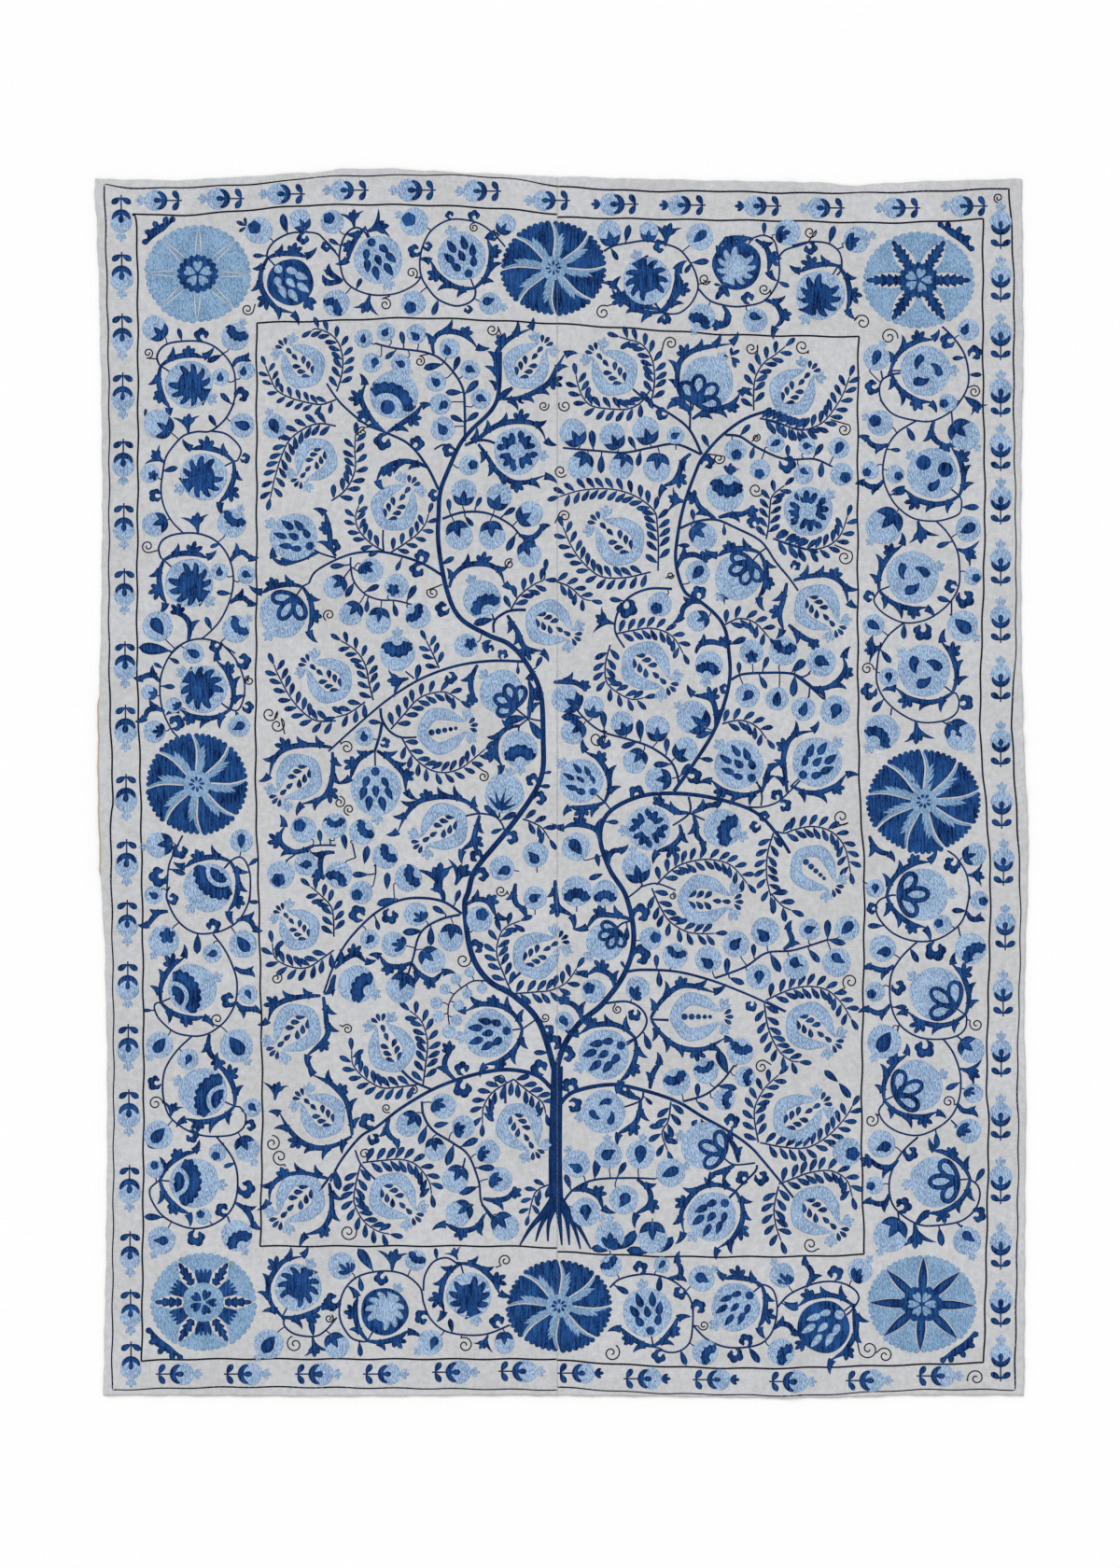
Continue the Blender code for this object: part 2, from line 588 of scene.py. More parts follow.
    def finish(self, tone: Tone) -> list[bpy.types.Object]:
        """Lay one thread's stitching over the cloth and part it at the seam.

        Args:
            tone: the thread.

        Returns:
            The stitching on the left panel and on the right panel.
        """
        whole = self.gathered(tone)
        pieces = []
        seam = (SEAM_COLUMN - CHART_CENTRE[0]) * CHART_STEP
        for side, name in ((-1, "left"), (1, "right")):
            part = whole.copy()
            edge = Vector((seam + side * self.seam_clear_m, 0.0, 0.0))
            bmesh.ops.bisect_plane(part, geom=[*part.verts, *part.edges, *part.faces],
                                   plane_co=edge, plane_no=(-side, 0.0, 0.0), dist=1e-7,
                                   clear_outer=True)
            pieces.append(self.laid(part, f"{tone.value}_{name}"))
        return pieces


def piece_from(mesh: bmesh.types.BMesh, name: str) -> bpy.types.Object:
    """Scene object made from a finished mesh, which is freed.

    Args:
        mesh: the finished mesh.
        name: the object's name.

    Returns:
        The object, linked to the scene.
    """
    data = bpy.data.meshes.new(name)
    mesh.to_mesh(data)
    mesh.free()
    piece = bpy.data.objects.new(name, data)
    bpy.context.scene.collection.objects.link(piece)
    return piece


def round_edge(seed: float) -> Profile:
    """Outline of a hand-drawn disc, as a share of its radius by angle."""
    return lambda a: 1 + 0.018 * sin(3 * a + seed) + 0.012 * sin(5 * a + 2 * seed)


def scallop_edge(lobes: int, depth: float) -> Profile:
    """Outline of round lobes with notches of a depth between them."""
    return lambda a: 1 - depth * (1 - abs(sin(lobes * a / 2)) ** 0.7)


def scalloped(radius: float, half: float, depth: float, lobes: float) -> Profile:
    """Half width of a scalloped side, drawn in at both ends; widths are shares of a radius."""
    return lambda t: (radius * (half + depth * abs(sin(lobes * pi * t)) ** 0.6) *
                      min(1.0, 0.4 + 6 * t, 6.4 - 6 * t))


def run_of(path: Sequence[Spot]) -> float:
    """Length of a path."""
    return sum(hypot(b[0] - a[0], b[1] - a[1]) for a, b in zip(path, path[1:]))


class Motifs:
    """Draws the design's motifs, each from a place, a heading and a size in steps."""

    leaf_pitch = 10.6
    leaf_taper = 0.9
    bare_foot = 0.06
    tooth_pitch = 17.0
    tooth_reach = 10.5
    blade_width = 5.2
    short_blade = 36
    hug_gap = 5.5
    berry_stalk = 6.0
    tendril_turns = 1.4
    bag_radius = 26.0

    def __init__(self, work: Needlework) -> None:
        """Draw onto a piece of needlework."""
        self.work = work
        self.grown: list[Spot] = []

    def anchor(self, x: float, y: float, heading: float, reach: float) -> Spot | None:
        """Nearest place on a stem within a reach that lies roughly along a heading.

        Args:
            x: column that is looked from.
            y: row that is looked from.
            heading: way that is looked along.
            reach: furthest distance of the stem.

        Returns:
            The place on the stem, or None if there is none in reach.
        """
        found = None
        for spot in self.grown:
            apart = hypot(spot[0] - x, spot[1] - y)
            if 0.5 < apart < reach:
                way = degrees(atan2(y - spot[1], spot[0] - x))
                if abs((way - heading + 180) % 360 - 180) < 65:
                    found = spot
                    reach = apart
        return found

    def stalk(self, x: float, y: float, heading: float, length: float, reach: float,
              width: float = 1.3) -> None:
        """Thin stalk from a fruit's rim that bends to the nearest stem, if one is in reach.

        Args:
            x: column of its start.
            y: row of its start.
            heading: way that it starts.
            length: its length if no stem is in reach.
            reach: furthest distance of a stem.
            width: its width.
        """
        near = self.anchor(x, y, heading, reach)
        half = walk(x, y, heading, min(length, reach) / 2)
        ends = near or walk(x, y, heading, length)
        self.work.band(Tone.STEM, smooth([(x, y), half, ends] if near else [(x, y), ends]),
                       lambda t: width / 2)

    def stem(self, points: Sequence[Spot], width: float, end: float | None = None) -> None:
        """Line of stem stitch through a few positions, from one width to another.

        Args:
            points: positions that it passes, from its foot.
            width: width at its foot.
            end: width at its tip, the same as at its foot if not given.
        """
        last = width if end is None else end
        path = smooth(points)
        self.grown += path
        self.work.band(Tone.STEM, path, lambda t: (width + (last - width) * t) / 2)

    def leaf(self, x: float, y: float, heading: float, length: float, turn: float = 0.0) -> None:
        """Single leaf whose foot reaches back to the nearest stem.

        Args:
            x: column of its foot.
            y: row of its foot.
            heading: way that it grows.
            length: its length.
            turn: angle that it bends by.
        """
        near = self.anchor(x, y, heading + 180, 8.0)
        if near:
            self.work.band(Tone.STEM, [near, (x, y), walk(x, y, heading, 1.5)], lambda t: 0.8)
        self.leaflet(x, y, heading, length * 1.12, length * 0.43, turn)

    def leaflet(self, x: float, y: float, heading: float, length: float, width: float,
                turn: float = 0.0, tone: Tone = Tone.DARK, level: int = 0) -> None:
        """Small leaf or seed with a narrow foot and a round tip.

        Args:
            x: column of its foot.
            y: row of its foot.
            heading: way that it grows.
            length: its length.
            width: its greatest width.
            turn: angle that it bends by.
            tone: thread that it is worked in.
            level: how many other layers of stitching it lies over.
        """
        parts = 7 if length > 6 else 5
        self.work.band(tone, bend(x, y, heading, length, turn, parts),
                       lambda t: width / 2 * max(sin(pi * t ** 1.45), 0.0) ** 0.55, level=level)

    def thorn(self, x: float, y: float, heading: float, length: float, width: float,
              turn: float = 0.0, tone: Tone = Tone.DARK, level: int = 0) -> None:
        """Curved spike, widest at its base."""
        self.work.band(tone, bend(x, y, heading, length, turn, 5),
                       lambda t: width / 2 * (1 - t) ** 0.75 + 0.05, level=level)

    def spiral(self, x: float, y: float, radius: float, start: float, hand: int,
               tail: Spot | None = None) -> None:
        """Thin tendril that winds out of its centre and leaves at an angle.

        Args:
            x: centre's column.
            y: centre's row.
            radius: radius where it leaves.
            start: angle round the centre where it leaves.
            hand: 1 if it winds out counterclockwise, -1 if clockwise.
            tail: position that its line runs on to.
        """
        sweep = hand * 360 * self.tendril_turns
        points = arc(x, y, 1.3, start - sweep, sweep, 1.5, radius * 1.12 - 1.3)
        if tail:
            points += smooth([points[-1], tail])[1:]
        self.work.band(Tone.LINE, points, lambda t: 0.72)

    def curl(self, x: float, y: float, heading: float, size: float, hand: int) -> None:
        """Curled leaf with three lobes on its outer side.

        Args:
            x: column of its base.
            y: row of its base.
            heading: way that it grows.
            size: overall size.
            hand: 1 if it curls clockwise, -1 if counterclockwise.
        """
        radius = size * 0.28
        centre = walk(x, y, heading, radius + size * 0.06)
        path = [(x, y)] + arc(*centre, radius, heading + 180 - hand * 15, -hand * 300, 0.9,
                              -radius * 0.5)

        def body(t: float) -> float:
            """Half width of the leaf's body."""
            return size * (0.035 + 0.09 * sin(pi * min(t * 0.92 + 0.02, 1.0)))

        def lobed(t: float) -> float:
            """Half width with the lobes."""
            lobe = 0.25 + 0.75 * abs(sin(4.5 * pi * t)) ** 0.7
            return body(t) + size * 0.22 * min(3.2 * t, 1.0) * lobe * (1.02 - t) ** 0.4

        sides = (lobed, body) if hand > 0 else (body, lobed)
        self.work.band(Tone.DARK, path, *sides)

    def spray(self, points: Sequence[Spot], length: float, width: float) -> None:
        """Thin spine with pairs of leaflets, smaller towards its tip.

        Args:
            points: positions that the spine passes, from its base.
            length: length of the lowest leaflets.
            width: width of the lowest leaflets.
        """
        path = smooth(points, 1.4)
        self.work.band(Tone.STEM, path, lambda t: 0.95 - 0.25 * t)
        last = len(path) - 1
        pairs = round(run_of(path) / self.leaf_pitch - 0.3)
        gap = (1 - self.bare_foot) / (pairs + 0.3)
        for k in range(pairs):
            for side, lag in ((1, 0.0), (-1, 0.42)):
                share = min(self.bare_foot + gap * (k + lag), 1.0)
                spot = path[round(share * last)]
                size = 1 - (1 - self.leaf_taper) * share
                lean = heading_at(path, round(share * last)) + side * (57 + 6 * sin(5 * k + side))
                root = walk(*spot, lean, 0.7)
                self.leaflet(*root, lean, length * size, width * size, -side * 12)
        self.leaflet(*path[-1], heading_at(path, last), length * self.leaf_taper,
                     width * self.leaf_taper)

    def frond(self, points: Sequence[Spot], side: int) -> None:
        """Slender blade with thorn-like teeth on one side, one of them a lobed tuft if it is long.

        Args:
            points: positions that the blade passes, from its base.
            side: 1 if the teeth are on its left, -1 if on its right.
        """
        width = self.blade_width
        path = smooth(points, 1.3)
        last = len(path) - 1

        def blade(t: float) -> float:
            """Half width on the smooth side."""
            return width * (0.20 + 0.20 * sin(pi * t)) * min(1.0, 5 * (1 - t)) + 0.15

        def jagged(t: float) -> float:
            """Half width on the toothed side."""
            return width * (0.30 + 0.42 * sin(pi * t)) * min(1.0, 4 * (1 - t)) + 0.15

        self.work.band(Tone.DARK, path, *((jagged, blade) if side > 0 else (blade, jagged)))
        run = run_of(path)
        teeth = max(1, round(run / self.tooth_pitch))
        reach = self.tooth_reach * min(1.0, 0.45 + run / 85)
        palm = teeth // 2 if run > self.short_blade else teeth
        for k in range(teeth):
            index = round((k + 0.62) / teeth * last)
            way = heading_at(path, index)
            root = walk(*path[index], way + side * 90, width * 0.1)
            size = reach * (0.9 + 0.12 * sin(2.1 * k + points[0][0]))
            if k == palm:
                for lean, share in ((4, 1.1), (36, 1.45), (68, 1.4), (102, 1.0)):
                    self.leaflet(*root, way + side * lean, size * share, reach * 0.52,
                                 side * (lean - 50) * 0.4)
            else:
                self.thorn(*root, way + side * 26, size * 1.6, 8.8, side * 52)

    def hug(self, x: float, y: float, radius: float, heading: float, left: float,
            right: float) -> None:
        """Fruit's stalk joint with toothed blades round one or both sides of the fruit.

        Args:
            x: fruit's column.
            y: fruit's row.
            radius: fruit's radius.
            heading: from the fruit's middle towards its stalk.
            left: angle that the counterclockwise blade covers, 0 for none.
            right: angle that the clockwise blade covers, 0 for none.
        """
        gap = self.hug_gap
        joint = walk(x, y, heading, radius + gap + 5)
        self.work.band(Tone.STEM, [joint, walk(x, y, heading, radius - 1)], lambda t: 0.9)
        self.stalk(*joint, heading, 2, 26, 1.8)
        for side, sweep in ((1, left), (-1, right)):
            if sweep:
                points = [joint]
                for share, lift in ((0.2, 2.0), (0.42, 0.0), (0.7, 0.0), (0.87, 1.0), (1.0, 4.0)):
                    points.append(walk(x, y, heading + side * sweep * share, radius + gap + lift))
                self.frond(points, -side)

    def blot(self, tone: Tone, x: float, y: float, radius: float, edge: Profile,
             count: int, level: int = 0, turn: float = 0.0) -> None:
        """Padded patch round a centre, its outline given by angle.

        Args:
            tone: thread that it is worked in.
            x: centre's column.
            y: centre's row.
            radius: radius that the outline's shares are taken of.
            edge: the outline's share of it, by angle in radians.
            count: points round the outline.
            level: how many other layers of stitching it lies over.
            turn: angle that the outline is turned by.
        """
        outline = []
        for k in range(count):
            a = 2 * pi * k / count
            outline.append(walk(x, y, degrees(a) + turn, radius * edge(a)))
        self.work.pad(tone, (x, y), outline, level)

    def disc(self, x: float, y: float, radius: float, tone: Tone = Tone.LIGHT,
             level: int = 0) -> None:
        """Hand-drawn disc."""
        count = max(8, min(40, round(radius * 1.6)))
        self.blot(tone, x, y, radius, round_edge(x + y), count, level)

    def crown(self, x: float, y: float, heading: float, size: float = 9.0,
              tone: Tone = Tone.LIGHT) -> None:
        """Small tuft of three narrow petals at a fruit's tip.

        Args:
            x: column of its foot.
            y: row of its foot.
            heading: way that it grows.
            size: length of its middle petal.
            tone: thread that it is worked in.
        """
        for k in (-1, 0, 1):
            length = size * (0.85 if k else 1.0)
            self.leaflet(x, y, heading + k * (100 / 3), length, size * 0.36, 0.0, tone)

    def crowned(self, x: float, y: float, radius: float, heading: float,
                size: float = 12.0) -> None:
        """Light disc with a light crown opposite its stalk."""
        self.disc(x, y, radius)
        self.crown(*walk(x, y, heading + 180, radius - 2), heading + 180, size)

    def berry(self, x: float, y: float, radius: float, heading: float, core: str,
              crown: bool) -> None:
        """Small light fruit with a dark core.

        Args:
            x: its column.
            y: its row.
            radius: its radius.
            heading: from its middle towards its stalk.
            core: cap, blob, far, near, notch, drop, dot, side or none.
            crown: whether a light tuft stands opposite the stalk.
        """
        self.disc(x, y, radius)
        self.stalk(*walk(x, y, heading, radius - 0.5), heading, self.berry_stalk, 22)
        if crown:
            self.crown(*walk(x, y, heading + 180, radius - 1), heading + 180)
        if core == "cap":
            self.tulip(*walk(x, y, heading, radius * 0.88), heading + 180, radius)
        elif core == "blob":
            self.blot(Tone.DARK, *walk(x, y, heading, radius * 0.4), radius * 0.56,
                      scallop_edge(5, 0.34), 20, 1, heading)
        elif core == "far":
            self.blot(Tone.DARK, *walk(x, y, heading + 180, radius * 0.42), radius * 0.52,
                      scallop_edge(5, 0.14), 20, 1, heading + 90)
        elif core in ("notch", "near"):
            self.cap(x, y, radius, heading if core == "near" else heading + 180)
        elif core == "drop":
            self.leaflet(*walk(x, y, heading, radius * 0.7), heading + 175, radius * 1.4,
                         radius * 0.92, 20, level=1)
        elif core == "dot":
            side = 1 if sin(x * 1.7 + y) > 0 else -1
            way = heading + side * 115
            self.work.band(Tone.DARK, bend(*walk(x, y, way, radius * 0.62), way + 165,
                                           radius * 1.15, side * 40, 9),
                           lambda t: radius * 0.46 * eased(((0, 0.1), (0.25, 0.45), (0.6, 1),
                                                            (0.85, 0.85), (1, 0.3)), t), level=1)
        elif core == "side":
            for lean, size in ((-72, 0.8), (-36, 0.9), (0, 1.15), (40, 1.0)):
                self.leaflet(*walk(x, y, heading, radius * 0.9), heading + 180 + lean,
                             radius * size, radius * 0.46, -lean * 0.4, level=1)

    def tulip(self, x: float, y: float, heading: float, size: float) -> None:
        """Three pointed lobes that fan out of a berry's stalk, the outer two along its rim.

        Args:
            x: column of its foot.
            y: row of its foot.
            heading: way that its middle lobe grows.
            size: radius of its berry.
        """
        for lean in (-78, 0, 78):
            self.work.band(Tone.DARK, bend(x, y, heading + lean, size * 1.04, -lean * 0.55, 7),
                           lambda t: size * 0.3 * sin(pi * (0.28 + 0.72 * t)) + 0.1, level=1)

    def bag(self, x: float, y: float, heading: float, radius: float, beads: bool) -> None:
        """Open-mouthed pear-shaped fruit with seeds that spill out of its mouth.

        Args:
            x: column of its middle.
            y: row of its middle.
            heading: from its middle towards its mouth.
            radius: radius of its round end.
            beads: whether its seeds are a row of round beads instead of paired grains.
        """
        scale = radius / self.bag_radius

        def at(along: float, left: float) -> Spot:
            """Chart position from a place along the fruit and to its left."""
            return walk(*walk(x, y, heading, along * scale), heading + 90, left * scale)

        lip = ((30, 7.2), (24, 7.0), (18, 10.6), (10, 15.3), (0, 18.3), (-10, 16.6))
        points = [at(a, -b) for a, b in lip] + [at(-21, 0)] + [at(a, b) for a, b in lip[::-1]]
        girth = ((0, 1.2), (0.1, 1.7), (0.2, 3.8), (0.36, 6.1), (0.6, 6.9), (1.0, 5.5))
        self.work.band(Tone.LIGHT, smooth(points),
                       lambda t: scale * eased(girth, 1 - abs(2 * t - 1)), rows=4)
        for side in (1, -1):
            self.crown(*at(27, side * 8.5), heading + side * 52, 13 * scale)
        if beads:
            for along, size in ((-11, 3.6), (-3.5, 3.4), (3.5, 3.0), (10, 2.5), (15.5, 2.2)):
                self.disc(*at(along, 0), size * scale, Tone.DARK)
        else:
            for along in (-15, -7.5, 0.5):
                for side in (1, -1):
                    self.leaflet(*at(along, side * 1.6), heading + side * 46, 10.4 * scale,
                                 5.6 * scale)
            for along in (8.5, 18):
                self.leaflet(*at(along, 0), heading - 4, 9.4 * scale, 5.2 * scale)
        for lean in (-38, 0, 38):
            self.leaflet(*walk(*at(27, 0), heading + lean, 4 * scale), heading + lean * 0.9,
                         9.2 * scale, 4.6 * scale)

    def sun(self, x: float, y: float, radius: float, heading: float) -> None:
        """Light disc with a dark whirl of tongues and a light notch by the stalk.

        Args:
            x: its column.
            y: its row.
            radius: its radius.
            heading: from its middle towards its stalk.
        """
        self.disc(x, y, radius)
        self.whirl(x, y, radius, heading, Tone.DARK)
        self.crown(*walk(x, y, heading + 180, radius - 2), heading + 180, 13)

    def whirl(self, x: float, y: float, radius: float, heading: float, tone: Tone) -> None:
        """Round patch with hooked tongues, and a broad one out to the rim opposite the stalk.

        Args:
            x: column of its fruit.
            y: row of its fruit.
            radius: radius of the round that it fills.
            heading: from the fruit's middle towards its stalk.
            tone: thread that it is worked in.
        """
        heart = walk(x, y, heading + 180, radius * 0.06)
        self.blot(tone, *heart, radius * 0.56, round_edge(x), 24, 1)
        self.work.band(tone, bend(*walk(*heart, heading + 180, radius * 0.25), heading + 172,
                                  radius * 0.62, 16, 6),
                       lambda t: radius * (0.2 + 0.2 * t * t),
                       lambda t: radius * (0.2 + 0.26 * t * t), level=1)
        for side in (1, -1):
            for lean in (34, 69, 104, 139):
                root = walk(*heart, heading + side * lean, radius * 0.38)
                self.work.band(tone, bend(*root, heading + side * (lean + 16), radius * 0.56,
                                          -side * (44 + 0.25 * lean), 8),
                               lambda t: radius * 0.2 * (1.02 - t) ** 0.36, level=1)

    def sun_ring(self, x: float, y: float, radius: float, heading: float) -> None:
        """Dark disc with a light whirl of tongues, so that a dark ring is left round it.

        Args:
            x: its column.
            y: its row.
            radius: its radius.
            heading: from its middle towards its stalk.
        """
        self.disc(x, y, radius, Tone.DARK)
        self.whirl(x, y, radius * 0.88, heading, Tone.LIGHT)
        self.crown(*walk(x, y, heading + 180, radius - 2), heading + 180, 12, Tone.DARK)

    def seeded(self, x: float, y: float, radius: float, heading: float,
               reverse: bool = False) -> None:
        """Disc with seven drop-shaped seeds, dark on light or the reverse.

        Args:
            x: its column.
            y: its row.
            radius: its radius.
            heading: from its middle towards its stalk.
            reverse: whether its seeds are light on dark.
        """
        ground, seed = (Tone.DARK, Tone.LIGHT) if reverse else (Tone.LIGHT, Tone.DARK)
        self.disc(x, y, radius, ground)
        self.crown(*walk(x, y, heading + 180, radius - 2), heading + 180, 13, ground)
        self.disc(*walk(x, y, heading, radius * 0.76), radius * 0.19, seed, 1)
        mouth = walk(x, y, heading, radius * 1.15)
        for lean, reach, size in ((180, 0.04, 0.4), (48, 0.52, 0.4), (100, 0.52, 0.46),
                                  (150, 0.58, 0.5), (-155, 0.6, 0.5), (-104, 0.54, 0.46),
                                  (-52, 0.5, 0.4)):
            spot = walk(x, y, heading + lean, radius * reach)
            way = degrees(atan2(mouth[1] - spot[1], spot[0] - mouth[0]))
            self.leaflet(*walk(*spot, way, radius * size * 0.66), way + 180,
                         radius * size * 1.32, radius * 0.33, 8, seed, 1)

    def loops(self, x: float, y: float, radius: float, heading: float, petals: int = 3,
              reach: float = 1.08) -> None:
        """Light disc with three or four outlined petals that fan out from the stalk's side.

        Args:
            x: its column.
            y: its row.
            radius: its radius.
            heading: from its middle towards its stalk.
            petals: three or four.
            reach: length of its middle petals as a share of its radius.
        """
        self.crowned(x, y, radius, heading)
        root = walk(x, y, heading, radius * 0.88)
        for lean in (-54, 0, 54) if petals == 3 else (-66, -22, 22, 66):
            way = heading + 180 + lean
            length = reach * radius * (1.0 if abs(lean) < 30 else 0.88)
            self.leaflet(*root, way + 27, radius * 0.5, radius * 0.26, level=1)
            outline = []
            for k in range(14):
                a = 2 * pi * k / 14
                spot = walk(*root, way, length * (1 - cos(a)) / 2)
                outline.append(walk(*spot, way + 90, radius * 0.25 * sin(a) *
                                    (0.6 + 0.6 * (1 - cos(a)) / 2)))
            self.work.band(Tone.DARK, smooth(outline, 2.0, True), lambda t: radius * 0.1,
                           level=1)

    def shell(self, x: float, y: float, radius: float, heading: float) -> None:
        """Light disc with a dark scalloped arch round a core on the stalk's side.

        Args:
            x: its column.
            y: its row.
            radius: its radius.
            heading: from its middle towards its stalk.
        """
        self.crowned(x, y, radius, heading)
        eye = walk(x, y, heading, radius * 0.85)
        self.work.band(Tone.DARK, arc(*eye, radius * 0.88, heading + 112, 136, 1.4),
                       lambda t: radius * 0.27, scalloped(radius, 0.18, 0.14, 8.5), level=1)
        self.work.band(Tone.DARK, arc(*eye, radius * 0.24, heading + 100, 160, 1.5),
                       lambda t: radius * 0.2, lambda t: radius * 0.24, level=1)

    def sprigs(self, x: float, y: float, radius: float, heading: float) -> None:
        """Light disc with four dark lobed curls round its middle.

        Args:
            x: its column.
            y: its row.
            radius: its radius.
            heading: from its middle towards its stalk.
        """
        self.crowned(x, y, radius, heading)
        for k in range(4):
            path = arc(x, y, radius * 0.4, heading + 20 + 90 * k, 70, 1.0, radius * 0.12)
            self.work.band(Tone.DARK, path, lambda t: radius * 0.12,
                           lambda t: radius * (0.10 + 0.32 * abs(sin(2.5 * pi * t)) ** 0.7),
                           level=1)
            self.leaflet(*path[-1], heading + 110 + 90 * k, radius * 0.4, radius * 0.2, -60,
                         level=1)

    def commas(self, x: float, y: float, radius: float, heading: float) -> None:
        """Light disc with three dark comma-shaped drops.

        Args:
            x: its column.
            y: its row.
            radius: its radius.
            heading: from its middle towards its stalk.
        """
        self.crowned(x, y, radius, heading)
        for lean in (60, 180, 300):
            way = heading + lean
            self.comma(*walk(x, y, way - 26, radius * 0.58), way + 76, radius * 0.72)

    def comma(self, x: float, y: float, heading: float, length: float) -> None:
        """Dark drop with a round head and a bent tail.

        Args:
            x: column of its round end.
            y: row of its round end.
            heading: way that it starts.
            length: its length.
        """
        self.work.band(Tone.DARK, bend(x, y, heading, length, 95, 8),
                       lambda t: length * 0.29 * max(sin(pi * t ** 0.52), 0.0) ** 0.75 + 0.1,
                       level=1)

    def feather(self, x: float, y: float, heading: float, length: float, width: float,
                teeth: int) -> None:
        """Straight leaf with pointed teeth on both sides.

        Args:
            x: column of its foot.
            y: row of its foot.
            heading: way that it grows.
            length: its length.
            width: its greatest width.
            teeth: teeth on each side.
        """

        def half(t: float) -> float:
            """Half width with the teeth."""
            tooth = 0.42 + 0.58 * ((teeth * t + 0.3) % 1.0)
            return width / 2 * (max(sin(pi * (0.2 + 0.8 * t)), 0.0) ** 0.8 * tooth) + 0.1

        self.work.band(Tone.DARK, bend(x, y, heading, length, 0.0, teeth * 6), half)

    def wedge(self, x: float, y: float, heading: float, spread: float, inner: float,
              outer: float, tone: Tone, gap: float, opening: float, lobes: float,
              lobe_size: float, level: int = 0, bow: float = 0.0) -> None:
        """Sector-shaped petal of a rosette with a lobed outer edge.

        Args:
            x: rosette's column.
            y: rosette's row.
            heading: way that the petal points.
            spread: its whole angle before the bare ground is taken off.
            inner: radius of its inner edge.
            outer: radius of its outer edge.
            tone: thread that it is worked in.
            gap: bare ground between neighbours at the rim, in steps.
            opening: further bare ground between them, widest near the foot.
            lobes: lobes along its outer edge.
            lobe_size: depth of the lobes as a share of the radius.
            level: how many other layers of stitching it lies over.
            bow: angle that its sides bow counterclockwise half way out.
        """

        def side(share: float) -> tuple[float, float]:
            """Half angle and radius of the petal's side at a share of the way out.

            Args:
                share: share of the way out.

            Returns:
                The half angle and the radius.
            """
            radius = inner + (outer * (1 - lobe_size) * 0.99 - inner) * share
            bare = gap + opening * sin(pi * (0.3 + 0.7 * share))
            return max(spread / 2 - degrees(bare / 2 / radius), 1.5), radius

        outline = []
        for k in range(6):
            half, radius = side(k / 5)
            outline.append(walk(x, y, heading - half + bow * sin(pi * k / 5), radius))
        parts = max(6, round(lobes * 4))
        half = side(1.0)[0]
        for k in range(parts + 1):
            share = k / parts
            notch = 1 - abs(sin(pi * lobes * share)) ** 0.7
            outline.append(walk(x, y, heading - half + 2 * half * share,
                                outer * (1 - lobe_size * notch)))
        for k in range(6):
            half, radius = side(1 - k / 5)
            outline.append(walk(x, y, heading + half + bow * sin(pi * k / 5), radius))
        half = side(0.0)[0]
        outline.append(walk(x, y, heading + half / 3, inner))
        outline.append(walk(x, y, heading - half / 3, inner))
        self.work.pad(tone, walk(x, y, heading, inner + (outer - inner) * 0.58), outline, level)

    def hearts(self, x: float, y: float, count: int, reach: float, turn: float, tone: Tone,
               level: int) -> None:
        """Ring of small hearts that point at a rosette's middle.

        Args:
            x: rosette's column.
            y: rosette's row.
            count: number of hearts.
            reach: how far out they reach.
            turn: heading of the first.
            tone: thread that they are worked in.
            level: how many other layers of stitching they lie over.
        """
        for k in range(count):
            way = turn + 360 * k / count
            for lean in (-1, 1):
                self.leaflet(*walk(x, y, way, reach * 0.14), way + lean * 75 / count, reach * 0.86,
                             reach * 2.2 / count, 0.0, tone, level)

    def fleur(self, x: float, y: float, heading: float, size: float) -> None:
        """Small branching leaf: a narrow foot, two pointed blades and a lobed tuft.

        Args:
            x: column of its foot.
            y: row of its foot.
            heading: way that it grows.
            size: its overall size.
        """
        self.work.band(Tone.DARK, bend(x, y, heading, size * 0.5, 8, 6),
                       lambda t: size * (0.05 + 0.1 * t))
        fork = walk(x, y, heading + 3, size * 0.36)
        self.thorn(*fork, heading + 42, size * 0.85, size * 0.26, 36)
        self.thorn(*fork, heading - 26, size * 0.78, size * 0.24, -52)
        for lean, length in ((16, 0.5), (-8, 0.62), (-36, 0.52)):
            self.leaflet(*fork, heading + lean, size * length, size * 0.24, lean * 0.3)

    def coils(self, x: float, y: float, radius: float, heading: float) -> None:
        """Light disc with four outlined petals that fan out from the stalk's side."""
        self.loops(x, y, radius, heading, 4, 1.0)

    def fan(self, x: float, y: float, radius: float, heading: float) -> None:
        """Light disc with a dark scalloped fan, a light ring and a dark eye by the stalk.

        Args:
            x: its column.
            y: its row.
            radius: its radius.
            heading: from its middle towards its stalk.
        """
        self.crowned(x, y, radius, heading)
        eye = walk(x, y, heading, radius * 0.7)
        self.work.band(Tone.DARK, arc(*eye, radius * 0.9, heading + 112, 136, 1.3),
                       lambda t: radius * 0.28, scalloped(radius, 0.24, 0.13, 7.5), level=1)
        self.blot(Tone.DARK, *walk(*eye, heading + 180, radius * 0.12), radius * 0.31,
                  round_edge(x), 18, 1)

    def cap(self, x: float, y: float, radius: float, heading: float) -> None:
        """Dark scalloped cap over one side of a disc, round a light notch at its rim.

        Args:
            x: column of its disc.
            y: row of its disc.
            radius: radius of its disc.
            heading: from the disc's middle towards the side that it covers.
        """
        eye = walk(x, y, heading, radius * 0.75)
        self.work.band(Tone.DARK, arc(*eye, radius * 0.66, heading + 100, 160, 1.3),
                       lambda t: radius * 0.38, scalloped(radius, 0.22, 0.18, 6.5), level=1)

